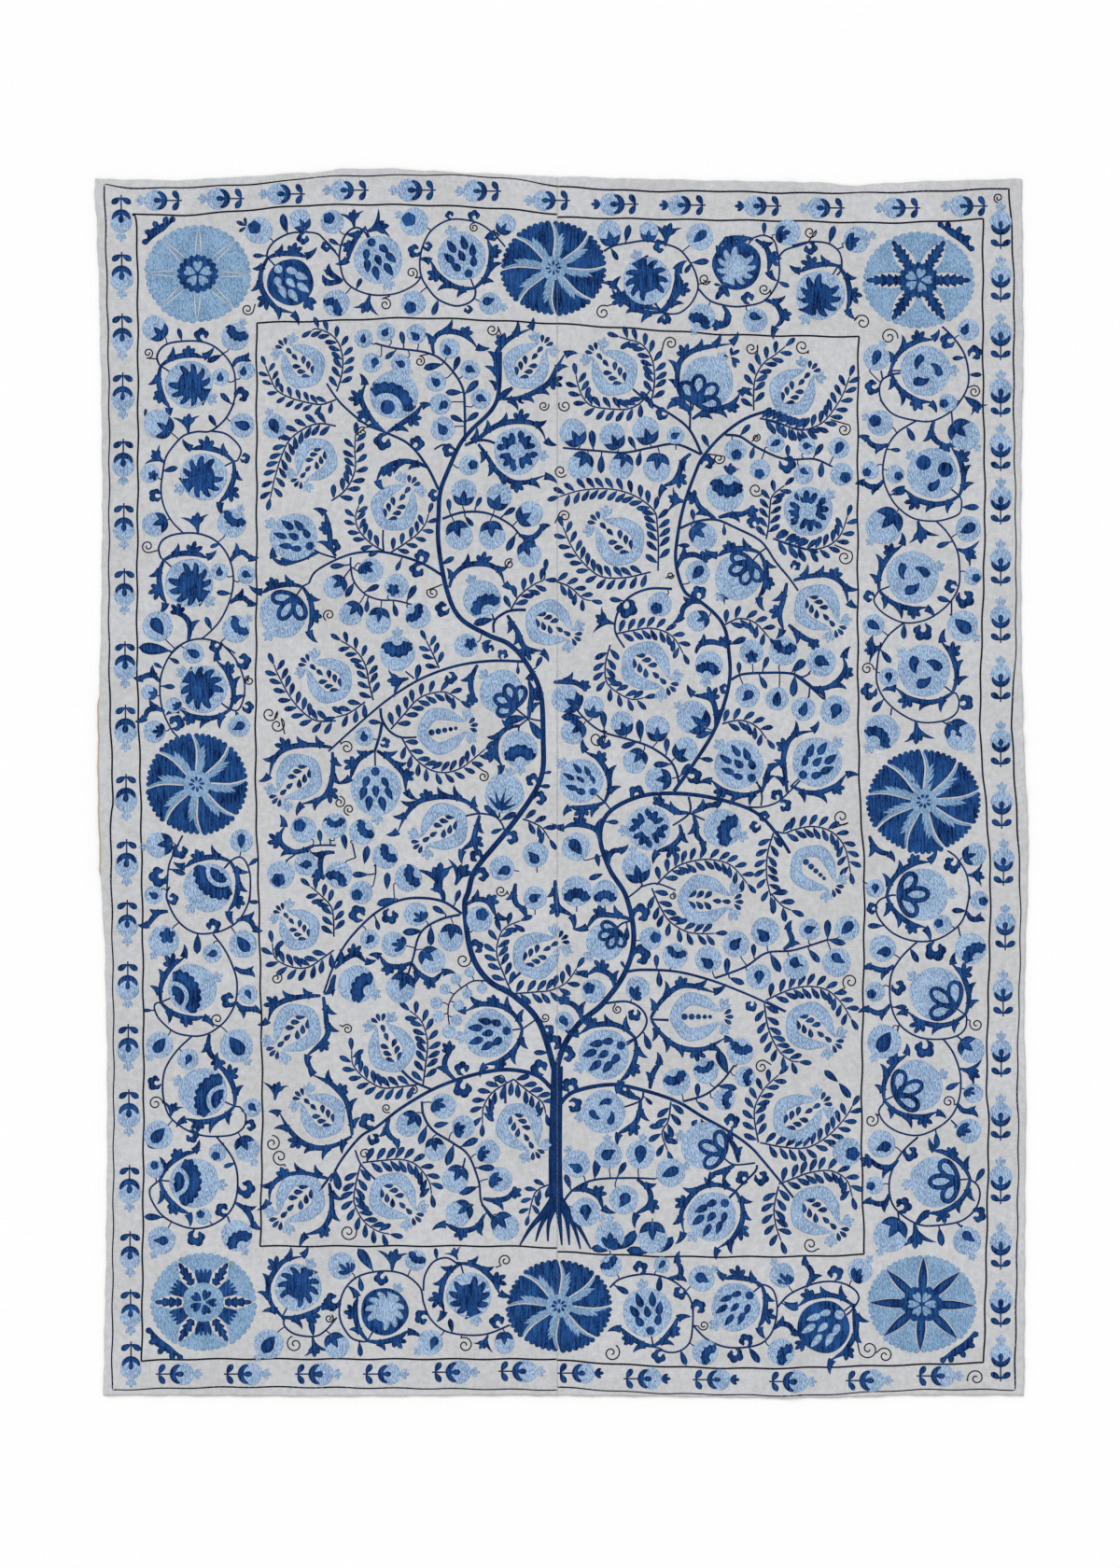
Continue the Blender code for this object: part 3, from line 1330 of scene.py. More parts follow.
    def scallop(self, x: float, y: float, radius: float, heading: float) -> None:
        """Light disc with a dark scalloped cap under its crown.

        Args:
            x: its column.
            y: its row.
            radius: its radius.
            heading: from its middle towards its stalk.
        """
        self.disc(x, y, radius)
        self.crown(*walk(x, y, heading, radius - 2), heading, 12)
        self.cap(x, y, radius, heading)

    def hood(self, x: float, y: float, radius: float, heading: float) -> None:
        """Light disc with a dark scalloped cap on its stalk's side."""
        self.crowned(x, y, radius, heading)
        self.cap(x, y, radius, heading)

    def arches(self, x: float, y: float, radius: float, heading: float) -> None:
        """Light disc with a dark scalloped cap and a dark crown opposite its stalk.

        Args:
            x: its column.
            y: its row.
            radius: its radius.
            heading: from its middle towards its stalk.
        """
        self.disc(x, y, radius)
        self.crown(*walk(x, y, heading + 180, radius), heading + 180, 13, Tone.DARK)
        self.cap(x, y, radius, heading + 180)

    def plant(self, x: float, y: float, radius: float, heading: float) -> None:
        """Light disc with five dark blades that fan out of its stalk's side.

        Args:
            x: its column.
            y: its row.
            radius: its radius.
            heading: from its middle towards its stalk.
        """
        self.crowned(x, y, radius, heading, 11)
        for lean in (-72, -36, 0, 36, 72):
            self.thorn(*walk(x, y, heading, radius * 0.8), heading + 180 + lean,
                       radius * (1.25 - abs(lean) * 0.005), radius * 0.28, -lean * 0.4, level=1)

    def sun_dark(self, x: float, y: float, radius: float, heading: float) -> None:
        """Dark disc with a light whirl of tongues and a light crown.

        Args:
            x: its column.
            y: its row.
            radius: its radius.
            heading: from its middle towards its stalk.
        """
        self.disc(x, y, radius, Tone.DARK)
        self.whirl(x, y, radius * 0.9, heading, Tone.LIGHT)
        self.crown(*walk(x, y, heading + 180, radius - 2), heading + 180, 12)

    def fruit(self, kind: str, x: float, y: float, radius: float, heading: float) -> None:
        """Large fruit of a named kind.

        Args:
            kind: method that draws it, or seeded_dark or discs.
            x: its column.
            y: its row.
            radius: its radius.
            heading: from its middle towards its stalk.
        """
        if kind == "seeded_dark":
            self.seeded(x, y, radius, heading, True)
        elif kind == "discs":
            self.crowned(x, y, radius, heading)
            for lean in (170, 55):
                self.disc(*walk(x, y, heading + lean, radius * 0.54), radius * 0.31, Tone.DARK, 1)
            self.comma(*walk(x, y, heading - 70, radius * 0.6), heading + 30, radius * 0.66)
        else:
            getattr(self, kind)(x, y, radius, heading)


STEM_FOOT_FILL = 1.3
STEM_TIP_FILL = 1.35
LEAFLET_LENGTH_FILL = 1.09
LEAFLET_WIDTH_FILL = 0.43


@dataclass(frozen=True)
class Sheet:
    """One enlarged sheet of the chart: motifs placed one by one, in the sheet's own fine units.

    Rows begin with a place unless they say otherwise: fruits (kind, x, y, radius, heading to the
    stalk, angle of the left blade, angle of the right blade), berries (x, y, radius, heading to
    the stalk, core, whether it has a crown), curls (x, y, heading, size, hand), leaves (x, y,
    heading, length, turn), spirals (x, y, radius, start, hand, tail x, tail y), fleurs (x, y,
    heading, size), fronds (side of the teeth, places...), stems (width at each end, places...),
    bags (x, y, heading of the mouth, radius, whether it holds beads) and sprays (leaflet length,
    places...). Stems and leaflets are worked fuller than they are charted, by the fills above.
    """

    corner: Spot
    fruits: Sequence[tuple] = ()
    berries: Sequence[tuple] = ()
    curls: Sequence[tuple] = ()
    leaves: Sequence[tuple] = ()
    spirals: Sequence[tuple] = ()
    fleurs: Sequence[tuple] = ()
    fronds: Sequence[tuple] = ()
    stems: Sequence[tuple] = ()
    bags: Sequence[tuple] = ()
    sprays: Sequence[tuple] = ()
    fine: float = 5.807

    def spot(self, x: float, y: float) -> Spot:
        """Chart position of a place on this sheet."""
        return (self.corner[0] + x / self.fine, self.corner[1] + y / self.fine)

    def spots(self, places: Sequence[Spot]) -> list[Spot]:
        """Chart positions of several places on this sheet."""
        return [self.spot(*place) for place in places]

    def grow(self, motifs: Motifs) -> None:
        """Work the stems, sprays and serrated leaves of this sheet.

        Args:
            motifs: what draws.
        """
        fine = self.fine
        for first, last, *places in self.stems:
            motifs.stem(self.spots(places), first / fine * STEM_FOOT_FILL,
                        last / fine * STEM_TIP_FILL)
        for length, *places in self.sprays:
            motifs.spray(self.spots(places), length / fine * LEAFLET_LENGTH_FILL,
                         length / fine * LEAFLET_WIDTH_FILL)
        for side, *places in self.fronds:
            motifs.frond(self.spots(places), side)

    def bear(self, motifs: Motifs) -> None:
        """Work the fruit, small leaves and tendrils of this sheet, once all stems are there.

        Args:
            motifs: what draws.
        """
        fine = self.fine
        for kind, x, y, radius, heading, left, right in self.fruits:
            spot = self.spot(x, y)
            if left or right:
                motifs.hug(*spot, radius / fine, heading, left, right)
            motifs.fruit(kind, *spot, radius / fine, heading)
        for x, y, radius, heading, core, *crown in self.berries:
            motifs.berry(*self.spot(x, y), radius / fine, heading, core, bool(crown))
        for x, y, heading, size, hand in self.curls:
            motifs.curl(*self.spot(x, y), heading, size / fine, hand)
        for x, y, heading, length, *turn in self.leaves:
            motifs.leaf(*self.spot(x, y), heading, length / fine, *turn)
        for x, y, radius, start, hand, *tail in self.spirals:
            end = self.spot(*tail) if tail else None
            motifs.spiral(*self.spot(x, y), radius / fine, start, hand, end)
        for x, y, heading, size in self.fleurs:
            motifs.fleur(*self.spot(x, y), heading, size / fine)
        for x, y, heading, radius, *beads in self.bags:
            motifs.bag(*self.spot(x, y), heading, radius / fine, bool(beads))


SHEETS = (
    Sheet(  # top left corner
        (90, 170),
        fruits=(("seeded_dark", 1285, 770, 145, 133, 150, 84), ("sun", 655, 1405, 148, 147, 92, 94)),
        berries=(
            (1090, 450, 84, -35, "far"), (1345, 380, 66, -60, "cap"), (440, 1055, 78, -42, "cap"),
            (940, 1110, 86, -118, "notch", True), (850, 1360, 54, -28, "dot"),
            (1008, 1320, 56, -130, "dot"),
        ),
        curls=(
            (1372, 462, -95, 92, -1), (1535, 535, 195, 78, 1), (742, 1140, 95, 108, 1),
            (940, 1490, 20, 112, 1),
        ),
        leaves=(
            (1268, 465, 118, 115, -30), (1128, 605, 180, 70), (608, 1132, 105, 72),
            (858, 1222, 205, 92), (915, 1525, 135, 84), (1010, 420, 100, 50), (1010, 420, 155, 62),
            (1010, 425, 215, 50), (1375, 872, -20, 72), (1375, 872, -55, 82), (1380, 872, -95, 60),
        ),
        spirals=((1018, 938, 34, -20, 1, 1066, 905), (400, 1210, 30, -110, -1, 462, 1248)),
        fronds=((1, (928, 1295), (950, 1262), (992, 1250), (1045, 1262)),),
        stems=(
            (10, 8, (1137, 612), (1150, 560), (1200, 505), (1300, 462), (1440, 465), (1500, 510),
             (1568, 580)),
            (10, 8, (468, 1282), (455, 1230), (490, 1172), (560, 1143), (700, 1136), (800, 1163),
             (880, 1230), (925, 1300), (941, 1370), (940, 1480), (915, 1568)),
        ),
        bags=((1360, 1290, 133, 142),),
        sprays=(
            (70, (1568, 1500), (1480, 1530), (1400, 1520), (1290, 1490), (1200, 1440), (1150, 1340),
             (1130, 1290)),
        ),
    ),
    Sheet(  # left border, upper part, and the field beside it
        (90, 430),
        fruits=(
            ("sun", 745, 470, 146, 27, 96, 94), ("sun", 655, 1130, 150, 138, 92, 92),
            ("seeded", 1308, 845, 148, -30, 0, 0), ("loops", 1240, 1325, 146, 55, 88, 98),
        ),
        berries=(
            (462, 140, 90, -35, "cap"), (985, 150, 76, 160, "drop"), (410, 450, 60, -28, "blob"),
            (438, 765, 76, 18, "cap"), (920, 758, 90, -120, "notch", True), (845, 1060, 54, -30, "dot"),
            (1010, 1080, 58, -140, "dot"), (460, 1400, 94, -58, "drop"),
            (945, 1418, 86, -140, "notch", True), (1185, 155, 76, -70, "drop", True),
        ),
        curls=((972, 358, 15, 78, -1), (482, 600, 150, 100, 1)),
        leaves=(
            (825, 160, 122, 80), (490, 436, 14, 88), (848, 885, 200, 62), (915, 1197, 175, 82),
            (795, 1422, 115, 82), (535, 1555, 168, 168, 14), (378, 98, 80, 48),
        ),
        spirals=((398, 903, 36, -70, 1, 468, 925), (1525, 1330, 34, -120, 1)),
        fleurs=((650, 200, 92, 130), (505, 385, 140, 120), (710, 820, 95, 135)),
        fronds=(
            (1, (910, 1000), (945, 958), (990, 945), (1042, 995)),
            (1, (910, 1258), (950, 1232), (1000, 1232), (1036, 1278)),
            (-1, (648, 1492), (655, 1400), (620, 1340), (552, 1316)),
            (1, (1568, 965), (1540, 900), (1530, 800), (1495, 672)),
            (-1, (1460, 940), (1350, 985), (1230, 1010), (1150, 950)),
        ),
        stems=(
            (10, 8, (935, 10), (880, 110), (790, 185), (700, 190), (620, 215), (560, 275), (510, 350),
             (490, 450), (480, 560), (500, 660), (550, 750), (618, 820)),
            (10, 8, (790, 185), (880, 202), (950, 258), (978, 312), (955, 370)),
            (10, 8, (480, 975), (465, 920), (490, 865), (560, 830), (680, 820), (780, 845), (850, 895),
             (900, 970), (927, 1060), (927, 1160), (900, 1260), (850, 1360), (790, 1430), (730, 1480)),
            (10, 8, (545, 1568), (580, 1530), (650, 1492), (730, 1478), (820, 1495), (890, 1535),
             (940, 1568)),
            (10, 8, (1405, 905), (1470, 945), (1568, 975)),
            (9, 8, (1220, 225), (1250, 240), (1285, 235)),
        ),
        bags=((1440, 365, -128, 138),),
        sprays=(
            (84, (1568, 155), (1480, 140), (1390, 160), (1285, 235), (1230, 340), (1190, 470),
             (1160, 600)),
        ),
    ),
    Sheet(  # top border and field, left of the seam
        (350, 170),
        fruits=(
            ("seeded", 322, 628, 150, 112, 78, 0), ("seeded", 840, 610, 150, -68, 110, 112),
            ("fan", 420, 1470, 150, -118, 0, 0),
        ),
        berries=(
            (35, 395, 74, -50, "far"), (545, 395, 88, -25, "far", True), (1115, 408, 62, -120, "cap"),
            (60, 900, 84, 45, "notch"), (540, 900, 78, 55, "far"), (1018, 903, 70, 165, "dot", True),
            (230, 1120, 58, -30, "dot"), (368, 1080, 58, -60, "dot"), (558, 1090, 62, -80, "dot"),
            (282, 1272, 62, 40, "dot"), (460, 1275, 60, 40, "dot"), (765, 1182, 64, -110, "dot"),
            (680, 1388, 64, 20, "dot"), (892, 1315, 62, -140, "dot"), (708, 1528, 66, 10, "dot"),
            (960, 1495, 64, -140, "dot"),
        ),
        curls=(
            (586, 580, 165, 100, 1), (600, 542, 0, 72, -1), (775, 375, 105, 64, 1),
            (918, 392, 85, 88, 1), (1072, 482, 190, 74, -1), (872, 915, -80, 66, 1),
        ),
        leaves=(
            (80, 540, 150, 70), (185, 812, 65, 68), (695, 880, -110, 92), (480, 1165, 100, 84),
            (430, 1195, 218, 76), (720, 1280, 192, 108), (790, 1325, 70, 92), (860, 1465, 45, 108),
            (845, 1455, 180, 96), (1155, 1420, -138, 100),
        ),
        spirals=(
            (918, 430, 26, 100, -1, 935, 395), (530, 712, 34, -60, -1, 590, 735),
            (365, 908, 36, 120, 1, 395, 855), (580, 1262, 30, 95, 1, 640, 1215),
            (1030, 1065, 36, 30, 1, 1090, 1110), (1350, 1538, 30, 20, 1), (1482, 1538, 36, 150, -1),
        ),
        fleurs=((172, 430, 95, 120), (270, 850, -110, 130), (250, 455, 20, 150)),
        fronds=(
            (-1, (100, 765), (60, 745), (20, 720), (-20, 690)),
            (-1, (90, 770), (50, 775), (10, 780), (-30, 765)),
            (1, (668, 1215), (662, 1150), (700, 1095), (770, 1080), (850, 1100), (910, 1145),
             (948, 1200)),
            (1, (1068, 1490), (1072, 1390), (1060, 1280), (1075, 1190), (1160, 1110), (1290, 1052)),
            (-1, (1080, 1492), (1190, 1488), (1290, 1450), (1380, 1390), (1430, 1300), (1495, 1195)),
        ),
        stems=(
            (10, 8, (0, 530), (60, 590), (82, 622)),
            (10, 8, (262, 500), (235, 455), (190, 430), (140, 450), (100, 510), (80, 600), (90, 690),
             (118, 765), (190, 820), (300, 850), (430, 840), (540, 790), (590, 735)),
            (10, 8, (925, 805), (922, 860), (880, 900), (800, 917), (700, 880), (640, 820), (590, 735),
             (580, 640), (600, 540), (650, 450), (740, 390), (830, 378), (950, 405), (1040, 470),
             (1112, 550)),
            (20, 16, (1065, 1500), (1110, 1470), (1155, 1425)),
        ),
        bags=((1245, 1290, 52, 148),),
        sprays=(
            (80, (62, 1450), (85, 1380), (100, 1300), (98, 1230), (75, 1150), (20, 1090), (-60, 1060),
             (-90, 1070)),
        ),
    ),
    Sheet(  # field, upper left
        (350, 430),
        fruits=(
            ("sprigs", 1185, 310, 146, 170, 0, 0), ("hood", 965, 1230, 118, -62, 0, 0),
            ("scallop", 440, 1568, 110, 90, 0, 0),
        ),
        berries=(
            (722, 172, 76, 10, "dot"), (885, 400, 62, 190, "far"), (855, 562, 78, -95, "cap"),
            (1075, 590, 80, -110, "cap"), (1265, 700, 80, -150, "cap"), (825, 838, 86, 110, "cap"),
            (1028, 838, 84, 95, "cap"), (1260, 955, 76, 115, "cap"), (275, 1052, 78, 150, "side"),
            (435, 1150, 76, -130, "blob"), (50, 1155, 72, 40, "cap"), (150, 1322, 74, 50, "cap"),
            (322, 1370, 78, 80, "cap"), (568, 1335, 80, 140, "near"), (868, 1520, 74, 20, "blob"),
        ),
        curls=(
            (375, 205, -110, 130, -1), (540, 300, 70, 110, -1), (800, 310, 165, 100, 1),
            (705, 575, 185, 92, 1), (590, 1010, 95, 110, -1), (590, 1015, -120, 112, -1),
            (765, 1290, 175, 112, 1), (240, 140, 120, 90, -1), (1010, 1560, 60, 60, 1),
            (20, 930, 60, 100, -1), (1230, 10, 120, 60, 1),
        ),
        leaves=(
            (855, 130, 155, 86), (865, 128, 35, 90), (765, 690, 95, 76), (925, 665, 62, 72),
            (1095, 712, 32, 84), (860, 715, -50, 74), (1175, 830, -118, 104), (715, 1015, 30, 82),
            (465, 985, -115, 70), (240, 1185, 25, 88), (170, 1130, -120, 92), (255, 1230, -95, 76),
            (415, 1255, -75, 80), (500, 1240, 60, 100), (120, 1020, 185, 90), (1040, 1355, 190, 118, 8),
        ),
        spirals=(
            (222, 195, 32, 60, -1, 178, 215), (1455, 435, 38, -30, 1),
            (1480, 715, 34, 170, 1, 1420, 760), (1137, 1012, 30, 60, -1, 1095, 1055),
            (660, 1190, 34, 160, -1, 720, 1140),
        ),
        fronds=(
            (1, (860, 275), (940, 240), (1010, 185), (1090, 145), (1190, 130), (1290, 145), (1345, 200),
             (1368, 275)),
            (-1, (945, 265), (1000, 340), (1060, 430), (1150, 495), (1240, 500), (1320, 475),
             (1385, 450)),
            (1, (628, 410), (560, 380), (470, 370), (380, 400), (330, 450), (305, 525)),
            (1, (765, 1160), (790, 1090), (860, 1030), (950, 1015), (1030, 1030), (1085, 1080),
             (1112, 1165)),
            (-1, (1125, 1330), (1190, 1430), (1240, 1530), (1360, 1555)),
            (-1, (1195, 830), (1270, 845), (1320, 810), (1345, 755)),
            (1, (360, 190), (293, 123), (238, 36), (218, -39), (255, -127)),
            (-1, (380, 190), (511, 103), (566, 59), (604, 1)),
            (-1, (1000, 1568), (980, 1530), (985, 1490)),
        ),
        stems=(
            (14, 12, (860, 275), (940, 245), (1000, 245), (1048, 262)),
            (12, 8, (800, 305), (770, 280), (720, 272), (670, 300)),
            (9, 8, (150, 970), (150, 1030), (170, 1120), (240, 1200), (330, 1235), (430, 1240),
             (530, 1265)),
            (10, 8, (355, 940), (350, 870), (352, 800)),
            (12, 14, (1040, 1440), (1042, 1370), (1100, 1320), (1160, 1300), (1240, 1298)),
            (10, 8, (1048, 1380), (1030, 1325)),
            (7, 7, (150, 1030), (200, 1060)),
            (7, 7, (150, 1040), (105, 1100)),
        ),
        bags=((425, 660, 55, 150), (1382, 1382, -28, 148)),
        sprays=(
            (84, (30, 620), (110, 560), (160, 480), (180, 400), (175, 300), (180, 210)),
            (78, (350, 930), (270, 880), (200, 800), (180, 720), (200, 650)),
            (76, (400, 940), (480, 890), (560, 830), (610, 770), (635, 700)),
            (84, (1145, 1300), (1200, 1210), (1290, 1140), (1350, 1110), (1360, 1060)),
        ),
    ),
    Sheet(  # top border and field, right of the seam
        (600, 170),
        fruits=(
            ("sun", 540, 760, 150, -68, 98, 112), ("sun_ring", 1100, 665, 152, 62, 0, 0),
            ("coils", 918, 1390, 162, -120, 0, 0),
        ),
        berries=(
            (305, 460, 76, -78, "cap"), (553, 450, 60, -95, "cap"), (870, 487, 84, -140, "drop"),
            (1415, 460, 82, 190, "side"), (882, 988, 84, 60, "notch", True),
            (1215, 1005, 76, 130, "dot"),
        ),
        curls=(
            (660, 545, 190, 100, -1), (1180, 905, 100, 96, 1), (1545, 520, -80, 100, 1),
            (650, 965, -90, 84, 1),
        ),
        leaves=(
            (408, 520, 78, 100), (318, 560, -60, 76), (822, 648, 5, 96), (820, 650, -125, 70),
            (1270, 475, 90, 72), (1355, 765, -25, 72), (650, 970, -60, 62), (645, 970, -125, 62),
            (1010, 790, -60, 76), (1015, 800, -120, 82), (1000, 790, 30, 44), (1005, 790, 170, 44),
            (1060, 1225, 30, 60), (1060, 1235, -30, 62), (1065, 1230, 90, 50), (1070, 1240, -70, 60),
            (1050, 1240, 150, 40),
        ),
        spirals=(
            (900, 750, 34, -20, 1, 862, 782), (268, 958, 42, 60, -1, 330, 905),
            (1270, 812, 34, 0, 1, 1310, 840), (688, 1150, 38, 170, 1, 628, 1215),
            (1190, 1180, 38, 30, 1, 1230, 1245),
        ),
        fleurs=((655, 540, 80, 150),),
        fronds=(
            (-1, (645, 960), (690, 890), (735, 820), (740, 740), (720, 685)),
            (-1, (610, 940), (520, 925), (420, 905), (345, 850), (318, 788)),
            (-1, (1015, 915), (1050, 970), (1040, 1030), (965, 1062)),
            (1, (1270, 880), (1340, 910), (1375, 980), (1360, 1030), (1312, 1060)),
            (1, (1205, 500), (1120, 490), (1040, 500), (975, 560)),
            (1, (1215, 505), (1280, 560), (1300, 640), (1290, 725)),
            (1, (800, 1560), (745, 1450), (735, 1340), (755, 1260), (830, 1200), (950, 1170),
             (1090, 1150)),
        ),
        stems=(
            (10, 8, (272, 578), (330, 545), (430, 525), (530, 512), (640, 530), (740, 565), (805, 640),
             (845, 720), (858, 808), (820, 895), (755, 955), (690, 968), (640, 955)),
            (10, 8, (858, 808), (935, 885), (1050, 918), (1150, 918), (1270, 885), (1345, 790),
             (1365, 700), (1355, 600), (1330, 510), (1265, 478), (1200, 495)),
            (10, 8, (1358, 615), (1400, 570), (1480, 545), (1568, 515)),
            (8, 8, (1200, 495), (1172, 530)),
            (8, 8, (640, 955), (580, 895)),
            (10, 8, (820, 1568), (835, 1505)),
            (10, 8, (650, 1568), (550, 1510), (452, 1432)),
        ),
        bags=((335, 1330, 133, 150), (1450, 1450, 50, 150)),
        sprays=(
            (84, (560, 1540), (585, 1420), (585, 1310), (560, 1220), (500, 1150), (420, 1125),
             (370, 1110)),
            (84, (560, 1440), (505, 1515), (430, 1556), (340, 1560), (200, 1540), (140, 1480),
             (110, 1400), (100, 1350)),
            (84, (1205, 1568), (1205, 1440), (1220, 1350), (1270, 1270), (1340, 1220), (1400, 1170)),
        ),
    ),
    Sheet(  # top right corner
        (850, 170),
        fruits=(("sun", 165, 850, 152, 58, 82, 98), ("commas", 822, 1320, 156, 180, 108, 112)),
        berries=(
            (395, 505, 82, 195, "side", True), (515, 1240, 80, -115, "drop", True),
            (1088, 1065, 68, -150, "dot"), (960, 1520, 58, 10, "far"),
        ),
        curls=((1005, 1140, 165, 116, 1), (1090, 1230, 20, 110, 1), (535, 1420, 175, 112, 1)),
        leaves=(
            (225, 525, 75, 100), (1092, 1345, 0, 72), (1062, 1478, -42, 120, 20), (1065, 1238, 185, 70),
        ),
        spirals=(
            (103, 458, 36, 20, 1, 92, 520), (430, 1020, 46, 170, 1, 400, 985),
            (595, 1110, 48, 20, -1, 650, 1120), (55, 1170, 42, -30, 1, 90, 1215),
            (1275, 245, 28, -90, 1), (1125, 1450, 34, 90, 1, 1085, 1425),
        ),
        stems=(
            (10, 8, (-10, 545), (75, 522), (140, 518), (220, 530), (280, 575), (300, 625)),
            (10, 8, (300, 625), (298, 690), (270, 728)),
            (7, 7, (270, 565), (312, 550)),
            (10, 8, (925, 1045), (1000, 1120), (1060, 1210), (1085, 1300), (1088, 1400), (1050, 1490),
             (980, 1568)),
            (10, 8, (665, 1335), (610, 1345), (555, 1375), (535, 1430), (545, 1500), (590, 1568)),
            (8, 8, (555, 1375), (545, 1320)),
        ),
    ),
    Sheet(  # upper field, right of the seam
        (600, 430),
        fruits=(("coils", 1105, 1095, 142, 48, 95, 105), ("arches", 1030, 570, 116, -100, 0, 0)),
        berries=(
            (80, 192, 84, -62, "cap"), (325, 215, 80, -65, "cap"), (533, 178, 84, -72, "cap"),
            (718, 215, 56, -88, "dot"), (125, 402, 82, 58, "cap"), (382, 408, 77, 72, "cap"),
            (603, 418, 86, 82, "cap"), (1090, 305, 68, 105, "far"), (1245, 425, 64, 80, "far"),
            (1340, 262, 58, -155, "drop"), (893, 842, 84, 140, "cap"), (857, 1066, 76, -132, "drop"),
            (620, 1263, 76, 52, "far"), (855, 1366, 66, 22, "cap"),
        ),
        curls=(
            (672, 82, 165, 96, 1), (878, 395, 15, 108, 1), (1215, 790, 95, 100, 1),
            (1365, 372, -15, 130, -1), (872, 1235, 110, 110, -1), (412, 1228, -95, 150, 1),
        ),
        leaves=(
            (207, 298, 95, 108), (258, 330, -92, 108), (470, 298, 118, 82), (500, 312, -100, 86),
            (928, 288, 118, 84), (1122, 212, 48, 82), (1207, 280, -105, 74), (1418, 352, 92, 74),
            (832, 748, 98, 72), (1020, 768, -88, 62), (728, 896, -2, 72), (392, 1242, 172, 78),
            (1060, 1512, 22, 96),
        ),
        spirals=(
            (1220, 227, 24, 60, 1, 1192, 252), (988, 357, 34, 20, 1, 922, 328),
            (1218, 550, 42, -20, 1, 1262, 565), (688, 1083, 20, 0, 1, 655, 1100),
        ),
        fleurs=((338, 1385, 160, 135), (785, 628, 165, 125), (1060, 480, 80, 85), (970, 1195, -20, 90)),
        fronds=(
            (-1, (822, 110), (880, 72), (980, 45), (1062, 15), (1108, -30), (1120, -78)),
            (1, (812, 90), (800, 45), (760, 15), (690, 0)),
            (1, (812, 325), (758, 372), (738, 440), (700, 500), (618, 535)),
            (1, (968, 730), (915, 690), (865, 645), (838, 565)),
            (-1, (985, 722), (1060, 700), (1140, 695), (1205, 650)),
            (1, (732, 1035), (765, 975), (840, 960), (912, 1000)),
            (-1, (882, 1256), (820, 1252), (768, 1295), (760, 1370)),
            (1, (845, 1568), (875, 1518), (950, 1502), (1040, 1528)),
            (-1, (1412, 1130), (1395, 1230), (1370, 1330), (1395, 1445)),
        ),
        sprays=(
            (86, (610, 1055), (612, 900), (605, 770), (590, 690), (520, 622), (420, 570), (290, 545),
             (130, 555), (0, 592)),
            (84, (565, 1062), (400, 1098), (250, 1088), (140, 1000), (70, 900), (20, 785)),
            (82, (345, 1448), (440, 1428), (560, 1412), (665, 1440), (725, 1495), (765, 1568)),
            (84, (1022, 1392), (1115, 1352), (1215, 1380), (1300, 1470)),
            (82, (1282, 858), (1298, 770), (1305, 670), (1320, 590), (1395, 525)),
            (84, (1242, 108), (1340, 125), (1440, 165), (1540, 178)),
            (84, (1325, 855), (1420, 885), (1530, 918)),
            (80, (-30, 1120), (60, 1155), (140, 1225), (190, 1240)),
        ),
        bags=((370, 870, 138, 158),),
    ),
    Sheet(  # upper right border and the field's edge
        (850, 430),
        fruits=(
            ("discs", 865, 448, 156, -40, 100, 118), ("commas", 742, 1095, 162, 202, 98, 100),
            ("sprigs", 92, 685, 152, -142, 0, 0),
        ),
        berries=(
            (540, 135, 80, -22, "far", True), (1065, 212, 96, 135, "cap", True),
            (478, 430, 56, 32, "far"), (633, 455, 58, 155, "far"), (562, 780, 112, 48, "cap", True),
            (1088, 795, 80, -155, "drop"), (1117, 1090, 56, 152, "far"), (500, 1395, 68, -35, "drop"),
            (1055, 1400, 96, 138, "drop", True), (85, 280, 54, -120, "dot"),
            (283, 292, 66, -122, "drop"), (64, 455, 62, 120, "dot"), (300, 455, 72, 140, "far"),
        ),
        curls=(
            (1022, 1152, 190, 100, -1), (1030, 1190, -38, 140, -1), (506, 1218, 185, 88, -1),
            (822, 1382, -115, 140, 1), (-12, 1045, 30, 80, 1),
        ),
        leaves=(
            (705, 158, -62, 92), (598, 300, -5, 64), (608, 582, 15, 88), (1050, 660, 0, 96),
            (978, 876, 200, 84), (982, 1250, 162, 84), (690, 1385, -92, 88), (128, 345, 55, 88),
            (178, 375, -95, 92),
        ),
        spirals=((315, 176, 38, 40, 1, 232, 115), (320, 972, 46, 40, 1, 255, 895)),
        fleurs=((775, 745, -78, 150), (1020, 920, -22, 140), (1110, -10, -60, 100)),
        fronds=(
            (1, (598, 268), (530, 278), (480, 258), (455, 208)),
            (1, (558, 492), (525, 525), (470, 525), (425, 488)),
            (-1, (878, 122), (865, 190), (900, 250), (968, 275)),
            (-1, (548, 1530), (500, 1540), (455, 1490)),
            (1, (0, 1118), (110, 1092), (220, 1090), (310, 1150), (345, 1278)),
            (-1, (-30, 1390), (40, 1450), (100, 1485), (160, 1492)),
        ),
        stems=(
            (9, 8, (540, -10), (620, 80), (760, 120), (870, 122), (980, 65), (1040, 0)),
            (9, 8, (765, 122), (655, 190), (590, 275), (560, 385), (560, 480), (590, 570), (650, 660),
             (750, 730), (880, 747), (985, 725), (1040, 690), (1048, 620)),
            (9, 8, (890, 748), (960, 820), (1020, 930), (1035, 1040), (1030, 1150), (985, 1240),
             (900, 1320), (800, 1370), (680, 1378), (560, 1320), (502, 1245), (525, 1190)),
            (9, 8, (688, 1380), (600, 1450), (545, 1530), (528, 1580)),
            (8, 8, (985, 65), (990, 130)),
            (8, 8, (985, 1240), (985, 1330)),
        ),
        sprays=(
            (84, (-209, 105), (-58, 151), (47, 180), (151, 151), (221, 93), (302, -29), (349, -151)),
